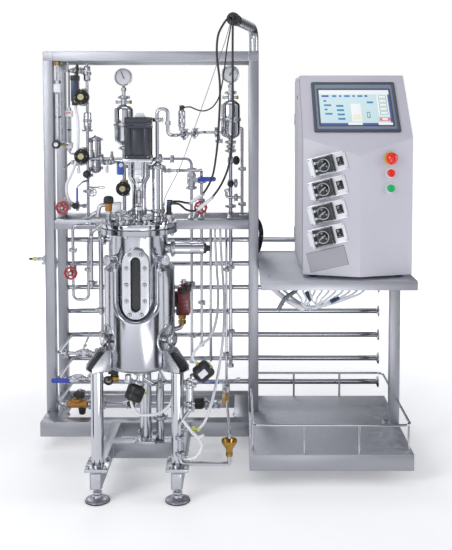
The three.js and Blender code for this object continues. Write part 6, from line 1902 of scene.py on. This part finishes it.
def makePumps():
    for i in range(pumps["count"]):
        place = pumpPlace(i)
        head = place @ moved(pumps["centre"], 0)
        w, h, deep = pumps["housing"]
        b = Build()
        b.plate([rectangle(pumps["plate"][0], pumps["plate"][1], 3, 4)], 4, "anodised", place, 0.6)
        for x in (-66, 66):
            for y in (-30, 30):
                bolt(b, place @ Vector((x, y, 4)), place.to_3x3() @ axisZ, 3.4, 2, "satin")
        hole = keyhole(pumps["recess"], -31, 18)
        b.plate([rectangle(w - 6, h - 8, 2, 3), hole], deep - 8, "black", head @ moved(0, 0, 4), 0.5)
        b.plate([rectangle(w, h, 4, 4), rectangle(w - 7, h - 9, 2, 3)], deep - 5, "clear",
                head @ moved(0, 0, 4), 0.6)
        b.block((w / 2 + 0.2, -h / 2 + 1, 4), (w / 2 + 3.4, h / 2 - 1, deep - 3), "black", 1, head)
        b.block((-w / 2 + 0.5, -h / 2 + 1, 4), (-w / 2 + 3, h / 2 - 1, deep - 5), "anodised", 0.8, head)
        b.block((-31, -9, 4.2), (-24.8, 9, 20), "black", 1.5, head)
        for y in (-15, 15):
            b.block((-34, y - 5.5, 8), (-24, y + 5.5, 25.4), "white", 1.5, head)
        # the tube's loop round the rotor, in from the left and out again
        turns = [math.radians(136 - 272 * k / 22) for k in range(23)]
        loop = [(-30, 15.4, 18), (-23, 15.4, 18)]
        loop += [(22.3 * math.cos(a), 22.3 * math.sin(a), 18) for a in turns]
        loop += [(-23, -15.4, 18), (-30, -15.4, 18)]
        b.sweep([head @ Vector(p) for p in loop], 1.8, "silicone", 12)
        b.plate([rectangle(24.5, 32.5, 2, 4), rectangle(20, 27, 1, 3)], 1.2, "black",
                place @ moved(pumps["switch"], 0, 4), 0.3)
        b.make(f"pump_head_body_{i + 1}", [f"pump_head_{i + 1}"])
        r = Build()
        r.turned([(0, 4.4), (20, 4.4), (20, 9), (0, 9)], "black", head, 36, 0.5)
        for turn in range(3):
            angle = math.radians(90 + 120 * turn)
            at = (14 * math.cos(angle), 14 * math.sin(angle))
            r.bar(head @ Vector((*at, 8.6)), head @ Vector((*at, 22)), 6.3, "greyCable", 24)
            r.bar(head @ Vector((*at, 21)), head @ Vector((*at, 24.6)), 2.4, "satin", 14, 0.4)
        r.turned([(0, 21.6), (16, 21.6), (17, 22.4), (17, 23.4), (16, 24), (0, 24)], "blackGloss", head, 36,
                 0.2)
        r.block((-13, -2.4, 23.8), (13, 2.4, 26), "grey", 0.8,
                head @ Matrix.Rotation(math.radians(24), 4, "Z"))
        r.bar(head @ Vector((0, 0, 8)), head @ Vector((0, 0, 26)), 4, "satin", 20)
        r.make(f"pump_rotor_body_{i + 1}", [f"pump_rotor_{i + 1}"], f"pump_rotor_{i + 1}")
        s = Build()
        rock = place @ moved(pumps["switch"], 0, 0.9) @ Matrix.Rotation(math.radians(-7), 4, "X")
        s.block((-9.6, -13, 0), (9.6, 13, 8.4), "blackGloss", 1, rock)
        s.block((-0.3, 5, 8.3), (0.3, 8, 8.6), "white", 0.1, rock)
        s.ring(rock @ Vector((0, -6.5, 8.3)), rock.to_3x3() @ axisZ, 1.5, 0.25, "white", 16, 6)
        s.make(f"pump_switch_cap_{i + 1}", [f"pump_switch_{i + 1}"], f"pump_switch_{i + 1}")


smallCap = [(0, 0.4), (8.8, 0.4), (8.8, 5), (13.4, 5), (14, 6), (14, 12.6), (12.6, 14), (10, 13.4), (0, 13)]
mushroom = [(0, 0.4), (8.8, 0.4), (8.8, 9), (15, 9.4), (21.4, 11.6), (22.4, 14), (21.8, 18), (18.2, 26),
            (12, 31), (6, 32.4), (0, 32.6)]
buttons = {"estop": (1191, "red", mushroom), "stop": (1138, "red", smallCap),
           "start": (1083, "green", smallCap)}


def makeButtons():
    for name, (z, colour, outline) in buttons.items():
        b = Build()
        place = buttonFace @ moved(0, z)
        b.turned(outline, colour + "Plastic", place, 40, 0.3)
        if name == "estop":
            for turn in range(3):
                arc = [place @ Vector((11.5 * math.cos(a), 11.5 * math.sin(a), 30.4))
                       for a in (math.radians(120 * turn + 10 * k) for k in range(8))]
                b.sweep(arc, 0.5, "redPlastic", 8)
        b.make(f"{name}_cap", [f"{name}_button"], f"{name}_button")


makeCabinet()
makeScreen()
makePumps()
makeButtons()
print("cabinet made")


def handValve(b, at, axis, out, knob=15):
    # small hand valve: waisted cast body on its line and a fluted black knob
    at, axis, out = Vector(at), unit(axis), unit(out)
    b.turned([(6, -20), (10, -14), (13, -7), (13, 7), (10, 14), (6, 20)], "cast", standing(at, at + axis),
             26, 1, True)
    b.bar(at, at + out * 18, 10, "satin", 22)
    cap = standing(at + out * 16, at + out * 40)
    b.turned([(0, 0), (knob * 0.6, 0), (knob, 5), (knob, 17), (knob * 0.8, 22), (0, 23)], "black", cap, 28)
    for c, s in ringPoints(9):
        b.bar(cap @ Vector((knob * c, knob * s, 5)), cap @ Vector((knob * c, knob * s, 17)), knob * 0.15,
              "black", 10)


def leverValve(b, at, axis, out, lever, length, finish="satin"):
    # three-piece ball valve with its stem and its flat lever
    at, out = Vector(at), unit(out)
    ballBody(b, at, axis, 7, out)
    b.bar(at + out * 10, at + out * 30, 3.6, "satin", 14)
    handle(b, at + out * 26, lever, out, length, 13, finish)


sideMeter = {"x": 94, "y": 60, "low": 1209, "high": 1366, "marks": 9}


def makeSideMeter():
    # the smaller flow meter, between the first one and the gas line
    b = Build()
    x, y, low, high = sideMeter["x"], sideMeter["y"], sideMeter["low"], sideMeter["high"]
    b.block((x - 14, y - 14, low), (x + 14, y + 14, low + 26), "satin", 3)
    b.block((x - 14, y - 14, high - 26), (x + 14, y + 14, high), "white", 3)
    b.bar((x, y, low + 26), (x, y, high - 26), 9.6, "acrylic", 26, 1)
    b.bar((x, y, low + 27), (x, y, high - 27), 4, "white", 18)
    b.turned([(0, 0), (3, 2), (7, 8), (7, 11), (0, 11)], "black", moved(x, y, low + 70), 18)
    b.block((x - 9, y - 15, high - 12), (x + 9, y - 13.6, high - 7), "redPlastic", 0.3)
    for i in range(sideMeter["marks"]):
        b.block((x - 4, y - 9.4, low + 34 + 9 * i), (x + 2, y - 8.8, low + 35 + 9 * i), "black", 0.1)
    b.tube([(x, y, high), (x, y, 1530), (x, 38, 1530), (x, 38, 1567)], 4.5, "tube", 10)
    b.tube([(x, y, low), (x, y, low - 22), (161, 74, low - 22)], 4.5, "tube", 10)
    nut(b, (x, y, high + 6), axisZ, 9, 12)
    nut(b, (x, y, low - 5), axisZ, 9, 10)
    b.make("side_flow_meter", ())


controller = {"x": 121, "y": 60, "low": 1404, "high": 1492, "cross": (66, 161), "crossZ": 1532, "slope": 0.12}


def makeController():
    # thermal gas flow controller hung from a short cross line, with its shut-off lever
    b = Build()
    x, y, low, high = controller["x"], controller["y"], controller["low"], controller["high"]
    (first, last), z, slope = controller["cross"], controller["crossZ"], controller["slope"]
    b.block((x - 16, y - 17, low), (x + 14, y + 17, high), "navy", 2)
    b.block((x - 18, y - 19, high - 2), (x + 16, y + 19, high + 20), "black", 3)
    b.block((x - 13, y - 14, low - 16), (x + 11, y + 14, low + 1), "black", 2)
    b.block((x - 3, y - 18, low - 5), (x + 11, y - 14, low + 5), "brass", 1.5)
    b.bar((x, y, high + 19), (x, y, z - 2), 6, "satin", 20)
    b.tube([(first, y, z), (last, y + 12, z)], 5, "tube", 10)
    for reach in (first + 10, first + 38, first + 80):
        nut(b, (reach, y + (reach - first) * slope, z), (1, slope, 0), 9.5, 11)
    leverValve(b, (x + 11, y + 6, z), (1, slope, 0), -axisY, (0.1, 0, 1), 2, "black")
    b.block((x + 8, y - 32, z - 38), (x + 18, y - 22, z + 24), "black", 3)
    b.hose([(x + 12, y - 10, 1470), (x + 22, y - 14, 1450), (x + 24, y - 14, 1425), (x + 16, y - 10, 1412)],
           1.3, "redPlastic", 8)
    b.make("flow_controller", ())
    h = Build()
    h.hose([(x, y, 1390), (x + 3, y - 8, 1368), (132, 46, 1330), (134, 40, 1250), (127, 38, 1165),
            (104, 36, 1100), (86, 36, 1060), (86, 38, 1020), (96, 42, 992), (106, 56, 976)], 6, "silicone",
           14)
    h.hexBar((102, 50, 982), (109, 62, 971), 9, "satin")
    h.make("controller_hose", ())


def makeGasValves():
    # hand valves and drains along the gas line and the filter behind it
    b = Build()
    leverValve(b, (130, 75, 1150), axisX, -axisY, (0.12, 0, -1), 46)
    b.tube([(161, 75, 1150), (96, 75, 1150), (70, 60, 1124)], 4.5, "tube", 12)
    nut(b, (152, 75, 1150), axisX, 8.5, 10)
    b.tube([(215, 112, 1150), (298, 130, 1150)], 4.5, "tube", 10)
    leverValve(b, (244, 118, 1150), (1, 0.2, 0), -axisY, (0.02, 0, -1), 46)
    nut(b, (266, 123, 1150), (1, 0.2, 0), 8.5, 10)
    b.block((286, 96, 1096), (310, 116, 1152), "bluePlastic", 2)
    b.block((282, 98, 1100), (287, 114, 1148), "white", 1.5)
    b.bar((304, 96, 1138), (304, 84, 1138), 9, "white", 22, 2)
    b.bar((304, 112, 1124), (310, 140, 1124), 5, "satin", 16)
    handValve(b, (167, 75, 1100), axisZ, (0, -1, 0.1), 15)
    b.bar((167, 70, 1074), (152, 40, 1072), 4, "satin", 14)
    b.sweep([(152, 40, 1072), (132, 30, 1052), (130, 28, 1044)], 3, "satin", 12)
    b.block((126, 25, 988), (134, 31, 1048), "blueVinyl", 2.4)
    hub = Vector((194, 24, 1029))
    b.bar(hub + axisY * 2, (170, 72, 1029), 4, "satin", 14)
    b.bar(hub - axisY * 4, hub + axisY * 6, 5, "polished", 20)
    b.ring(hub, axisY, 16, 2.6, "polished", 36, 10)
    for c, s in ringPoints(5):
        b.bar(hub, hub + Vector((15 * c, 0, 15 * s)), 2, "polished", 10)
    loop = [Vector((226 + u, 52, 1047 + v)) for u, v in stadium(8, 26, 8)]
    b.sweep([Vector((226 + (p.z - 1047), 52, 1047 + (p.x - 226))) for p in loop + loop[:1]], 2, "satin", 10)
    b.bar((213, 52, 1047), (172, 74, 1047), 3, "satin", 12)
    b.bar((118, 58, 970), (118, 40, 970), 13, "black", 26, 3)
    for z, reach in ((1240, -axisX), (1118, axisX)):
        clamp(b, (194, 112, z + 6), axisZ, 16, reach)
    b.make("gas_hand_valves", ())


bypass = {"x": 812, "top": 1292, "foot": 925, "drain": 998, "tap": 714}


def makeExhaustValves():
    # drain, sampling and by-pass fittings round the exhaust filter
    b = Build()
    x, y, away, tap = filters["exhaust"]["x"], filterY, bypass["x"], bypass["tap"]
    clamp(b, (tap - 12, y, 1275), axisX, 8, axisZ)
    b.bar((tap, y, 1266), (tap, y, 1240), 5, "satin", 16)
    clamp(b, (tap, y, 1238), axisZ, 7, -axisY)
    clamp(b, (x, y, 1214), axisZ, 9, -axisY)
    handValve(b, (x, y, 1156), axisZ, (1, -0.5, 0), 17)
    handValve(b, (x, y, 1058), axisZ, -axisY, 13)
    b.bar((x, y, 1058), (x + 26, y, 1058), 5, "satin", 16)
    clamp(b, (x + 22, y, 1058), axisX, 6, axisZ)
    low, top = bypass["drain"], bypass["top"]
    b.tube([(x - 18, y - 8, low + 32), (x - 18, y - 8, low), (away, y, low)], 6, "tube", 12)
    clamp(b, (away - 26, y, low), axisX, 7, -axisY)
    b.block((x - 28, y - 18, 1022), (x - 6, y + 4, 1036), "satin", 3)
    b.tube([(x + 38, y, top), (away, y, top), (away, y, bypass["foot"])], 6.5, "tube", 18)
    nut(b, (away - 18, y, top), axisX, 10, 10)
    clampsUp(b, away, y, (1120, 970), 8, -axisY)
    b.block((away - 12, y - 12, 918.3), (876, y + 12, 924), "brushedX", 1)
    b.make("exhaust_hand_valves", ())


# where each probe's lead enters its cable: the cable's end and the lead's end of the sleeve
probeSleeves = (((665, -405, 1056), (624, -416, 1030)), ((700, -426, 1046), (654, -464, 1010)))


def makeProbeConnectors():
    # pale sleeves where each probe's lead joins its cable, and the thin wire from the arm to the head
    b = Build()
    for near, far in probeSleeves:
        near, far = Vector(near), Vector(far)
        along = (far - near).normalized()
        b.bar(near, far, 6.4, "white", 20, 2)
        b.bar(near - along * 12, near + along, 5.4, "satin", 18, 1.5)
        b.bar(far - along, far + along * 9, 5.2, "satin", 18, 1.5)
    b.hose([(771, -352, 1690), (752, -362, 1620), (722, -372, 1535), (654, -390, 1340), (584, -408, 1150),
            (534, -424, 1048), (528, -430, 1010)], 1.2, "greyCable", 8)
    b.hexBar((528, -430, 1016), (528, -430, 1000), 5, "satin")
    b.make("probe_connectors", ())


stack = {"x": 501, "y": -300, "foot": 115.3, "top": 330, "radius": 15}
drops = {"y": -300, "z": 905, "pipes": ((281, 598, 9), (246, 700, 6))}
hoseTee = {"middle": (660, -604, 236), "radius": 5}


def makeDrainFittings():
    # small lines under the vessel: drain stack, blanked drops beside the jacket, and the hose tee
    b = Build()
    x, y, top, r = stack["x"], stack["y"], stack["top"], stack["radius"]
    b.bar((x, y, stack["foot"]), (x, y, top), r, "polished", 36, 1)
    b.turned([(r, top - 4), (r + 3, top - 1), (r + 3, top + 4), (r - 3, top + 8), (r - 7, top + 16),
              (0, top + 16)], "satin", moved(x, y), 32)
    b.tube([(x, y, top + 10), (x, y, top + 46), (x + 30, y - 120, top + 46)], 8, "tube", 14)
    clamp(b, (x, y, 200), axisZ, r, axisX)
    y, z = drops["y"], drops["z"]
    for x, low, radius in drops["pipes"]:
        b.tube([(x, 0, z), (x, y, z), (x, y, low)], radius, "tube", 22)
        clamp(b, (x, y, low + 16), axisZ, radius, axisX)
        domeCap(b, (x, y, low), -axisZ, radius, 5)
    b.bar((768, -24, 250), (796, -50, 268), 3, "polished", 14)
    b.bar((790, -46, 264), (802, -56, 272), 8, "polished", 22, 3)
    coil = [Vector((262 + 17 * math.cos(a), -24 - 5 * math.sin(a), 250 + 17 * math.sin(a) + a * 0.5))
            for a in (math.radians(30 * i) for i in range(37))]
    b.sweep(coil, 2.4, "rubber", 10)
    b.make("drain_fittings", ())
    h = Build()
    middle, r = Vector(hoseTee["middle"]), hoseTee["radius"]
    for reach in ((-22, 0, 22), (22, 0, 8), (14, 0, -24)):
        h.bar(middle, middle + Vector(reach), r + 1, "white", 18, 1.5)
        h.ring(middle + Vector(reach) * 0.8, reach, r + 1, 1.2, "white", 18, 6)
    down = [middle + Vector((14, 0, -22)), (668, -604, 190), (650, -604, 168), (628, -600, 160),
            (612, -592, 158)]
    upward = [middle + Vector((-20, 0, 20)), (622, -600, 278), (604, -590, 300), (600, -575, 330)]
    underVessel = [(417, -508, 352), (424, -520, 318), (446, -524, 292), (484, -520, 286), (524, -512, 292),
                   (556, -502, 318), (566, -490, 350)]
    for route in (down, upward, underVessel):
        h.hose(route, r, "silicone", 12)
    h.make("drain_hoses", ())


bundle = {"count": 11, "first": 1010, "pitch": 26, "front": -330, "top": 735, "tie": (1068, -300, 622)}


def makeShelfHoses():
    # the cabinet's hoses drop through the shelf, gather in one tie and run back to the frame
    b = Build()
    tie = Vector(bundle["tie"])
    for i in range(bundle["count"]):
        x = bundle["first"] + bundle["pitch"] * i
        spread = Vector((0, 5 * math.cos(2.4 * i), 5 * math.sin(2.4 * i)))
        side = 1 if x > tie.x else -1
        b.bar((x, bundle["front"], bundle["top"] + 13), (x, bundle["front"], bundle["top"] - 26), 6, "navy",
              14, 1)
        b.hose([(x, bundle["front"], bundle["top"] - 14), (x - side * 3, -326, 690),
                (x - side * (8 + abs(x - tie.x) * 0.3), -314, 655),
                tie + axisX * side * 26 + spread + axisZ * 2, tie + spread * 0.8,
                tie + Vector((-34, 20, 8)) + spread, (968, -180, 668), (905, -60, 700), (884, -20, 716)],
               4.2, "silicone", 10)
    b.ring(tie, (1, 0, 0.1), 12, 2.6, "white", 24, 8)
    for at, along in (((1062, -312, 668), (0.5, 0, -1)), ((1160, -318, 655), (1, 0, 0.55))):
        at, along = Vector(at), unit(along)
        b.bar(at - along * 18, at + along * 18, 8, "navy", 16, 1.5)
        b.ring(at, along, 8, 1.6, "black", 18, 6)
    b.hose([(1030, -330, 716), (1008, -338, 690), (972, -342, 664), (946, -342, 620)], 8, "greyCable", 14)
    b.hose([(905, -300, 716), (936, -304, 688), (986, -306, 648), (1046, -302, 614)], 10, "silicone", 14)
    for share in (0.2, 0.4, 0.6, 0.8):
        at = Vector((1022, -334, 704)).lerp(Vector((950, -342, 630)), share)
        b.ring(at, (-72, -8, -74), 8.4, 1.3, "navy", 18, 6)
    b.hose([(912, -320, 716), (930, -322, 706), (960, -322, 706), (984, -322, 716)], 4, "rubber", 10)
    b.make("shelf_hose_bundle", ())
    c = Build()
    for offset, radius in ((0, 4.5), (-9.5, 5)):
        c.hose([(858, 62, 930), (872, 60, 921), (884 + offset / 2, 56, 906), (893 + offset, 52, 884),
                (897 + offset, 50, 858), (894 + offset, 50, 822), (884 + offset / 2, 54, 784),
                (872, 58, 766), (858, 62, 757)], radius, "rubber", 12)
    c.make("shelf_cable_loop", ())


wallPort = {"y": 20, "z": 753}


def makeWallPort():
    # hose connection through the left-hand post: bulkhead nut, body, yellow sleeve and barbed tip
    b = Build()
    y, z = wallPort["y"], wallPort["z"]
    b.bar((0, y, z), (-6, y, z), 17, "cast", 36, 1)
    nut(b, (-10, y, z), axisX, 12, 8)
    b.bar((-13, y, z), (-40, y, z), 6.5, "satin", 26, 1)
    b.hexBar((-22, y, z), (-33, y, z), 9, "satin")
    b.bar((-39, y, z), (-54, y, z), 8.5, "lime", 28, 1.5)
    b.bar((-53, y, z), (-70, y, z), 4, "black", 22, 1)
    for x in (-58, -64):
        b.ring((x, y, z), axisX, 4, 1.3, "black", 24, 8)
    b.make("wall_port", ())


makeWallPort()
makeSideMeter()
makeController()
makeGasValves()
makeExhaustValves()
makeProbeConnectors()
makeDrainFittings()
makeShelfHoses()
print("small fittings made")


def makeFloor():
    # matt white studio floor, poured and rolled: the faintest unevenness in its tone
    material, tree, shader = startMaterial("studioFloorWhite", "F2F2F3", 0.0, 0.75, Specular_IOR_Level=0)
    drift = addNode(tree, "ShaderNodeTexNoise", Vector=grainSpace(tree, 900, 900, "Z"), Scale=1, Detail=2)
    rough = addNode(tree, "ShaderNodeMapRange", Value=drift, i3=0.7, i4=0.85)
    wire(tree, shader, Roughness=rough)
    # painted light: the floor itself glows, weakly near the rig and strongly far off, so the ground round the
    # rig reads darker like shade and the far floor fades into the white backdrop
    place = addNode(tree, "ShaderNodeTexCoord")
    away = addNode(tree, "ShaderNodeVectorMath", {"operation": "LENGTH"}, i0=place.outputs["Object"])
    glow = addNode(tree, "ShaderNodeMapRange", Value=away.outputs["Value"], i1=1.1, i2=3.4, i3=0.22, i4=0.8)
    shader.inputs["Emission Color"].default_value = fromHex("FFFFFF")
    wire(tree, shader, Emission_Strength=glow)
    mesh = bpy.data.meshes.new("floor")
    mesh.from_pydata([(x, y, -0.0004) for x, y in rectangle(60, 60)], [], [(0, 1, 2, 3)])
    mesh.materials.append(material)
    addObject("floor", mesh)


# angles run round the vessel from its right-hand side, in degrees: three wide flags stand where the
# drum's dark bands come from, and none stands in the open stretch before the camera
stage = {"cards": 13, "ring": 2.2, "low": 0.008, "high": 3.4, "skirt": 0.35, "widths": (0.16, 0.38),
         "open": (240, 300), "wide": ((203, 0.8), (331, 0.62), (42, 1.7))}
board = {"x": (820, 1500), "y": (-3000, -1300), "z": 4, "glow": 3.6}
lamps = {
    "key": {"place": (-2.8, -3.2, 2.6), "size": (1.8, 2.2), "power": 90},
    "fill": {"place": (4.2, -1.0, 2.2), "size": (1.6, 2.2), "power": 45},
    "top": {"place": (0.1, -0.3, 4.4), "size": (2.6, 1.8), "power": 25},
    "back": {"place": (-1.2, 3.8, 3.0), "size": (2.4, 1.4), "power": 60},
}
# colours of the studio's walls from the floor's edge up to the ceiling
walls = {0.0: "A0A2AA", 0.4: "A0A2AA", 0.5: "EDEEF2", 0.62: "F2F3F6", 0.78: "A6A8B0", 1.0: "74767E"}


def hangCard(name, points, faces, material):
    # a studio card that only the polished steel sees
    mesh = bpy.data.meshes.new(name)
    mesh.from_pydata(points, [], faces)
    mesh.materials.append(material)
    card = addObject(name, mesh)
    card.visible_camera = card.visible_diffuse = card.visible_shadow = card.visible_transmission = False


def makeCards():
    # matt black studio flags round the set: they only show as dark streaks in the polished steel
    black = startMaterial("studioFlagBlack", "1E2024", 0.0, 0.9)[0]
    points, faces = [], []
    centre = metres((vessel["x"], vessel["y"], 0))
    places = [(360 * (i + random.uniform(-0.22, 0.22)) / stage["cards"], random.uniform(*stage["widths"]))
              for i in range(stage["cards"])]
    places = [place for place in places if not stage["open"][0] < place[0] < stage["open"][1]]
    for degrees, width in places + list(stage["wide"]):
        angle = math.radians(degrees)
        middle = centre + Vector((math.cos(angle), math.sin(angle), 0)) * stage["ring"]
        along = Vector((-math.sin(angle), math.cos(angle), 0)) * width / 2
        first = len(points)
        points += [middle - along + axisZ * stage["low"], middle + along + axisZ * stage["low"],
                   middle + along + axisZ * stage["high"], middle - along + axisZ * stage["high"]]
        faces.append(tuple(range(first, first + 4)))
        if width > stage["widths"][1]:
            # a wide flag's skirt runs in over the floor towards the vessel
            inner = centre + (middle - centre) * stage["skirt"]
            points += [inner + along * stage["skirt"] * sign + axisZ * stage["low"] for sign in (-1, 1)]
            faces.append((first, first + 1, first + 5, first + 4))
    hangCard("flags", points, faces, black)
    # a lit white board lying before the right-hand posts, for their pale lower halves
    white = startMaterial("bounceBoardWhite", "F4F4F4", 0.0, 0.8, Emission_Color=fromHex("FFFFFF"),
                          Emission_Strength=board["glow"])[0]
    (x0, x1), (y0, y1), z = board["x"], board["y"], board["z"]
    corners = [metres((x, y, z)) for x, y in ((x0, y0), (x1, y0), (x1, y1), (x0, y1))]
    hangCard("board", corners, [(0, 1, 2, 3)], white)


def makeLight():
    world = bpy.data.worlds.new("studio")
    bpy.context.scene.world = world
    world.use_nodes = True
    tree = world.node_tree
    shader = tree.nodes["Background"]
    place = addNode(tree, "ShaderNodeTexCoord")
    parts = addNode(tree, "ShaderNodeSeparateXYZ", Vector=place.outputs["Generated"])
    height = addNode(tree, "ShaderNodeMapRange", Value=parts.outputs[2], i1=-1, i2=1)
    sky = addNode(tree, "ShaderNodeValToRGB", Fac=height)
    stops = sky.color_ramp.elements
    while len(stops) < len(walls):
        stops.new(0.5)
    for stop, (place, colour) in zip(stops, walls.items()):
        stop.position, stop.color = place, fromHex(colour)
    seen = addNode(tree, "ShaderNodeLightPath")
    white = addNode(tree, "ShaderNodeMixRGB", {"blend_type": "MIX"}, Fac=seen.outputs["Is Camera Ray"],
                    Color1=sky, Color2=fromHex("FFFFFF"))
    wire(tree, shader, Color=white)
    for name, lamp in lamps.items():
        data = bpy.data.lights.new(name, "AREA")
        data.shape, data.energy = "RECTANGLE", lamp["power"]
        data.size, data.size_y = lamp["size"]
        light = addObject(name, data)
        light.location = lamp["place"]
        aim = Vector((0, 0, 0.8)) - light.location
        light.rotation_euler = aim.to_track_quat("-Z", "Y").to_euler()
    bpy.context.scene.view_settings.view_transform = "Standard"


makeFloor()
makeCards()
makeLight()
print("studio made")
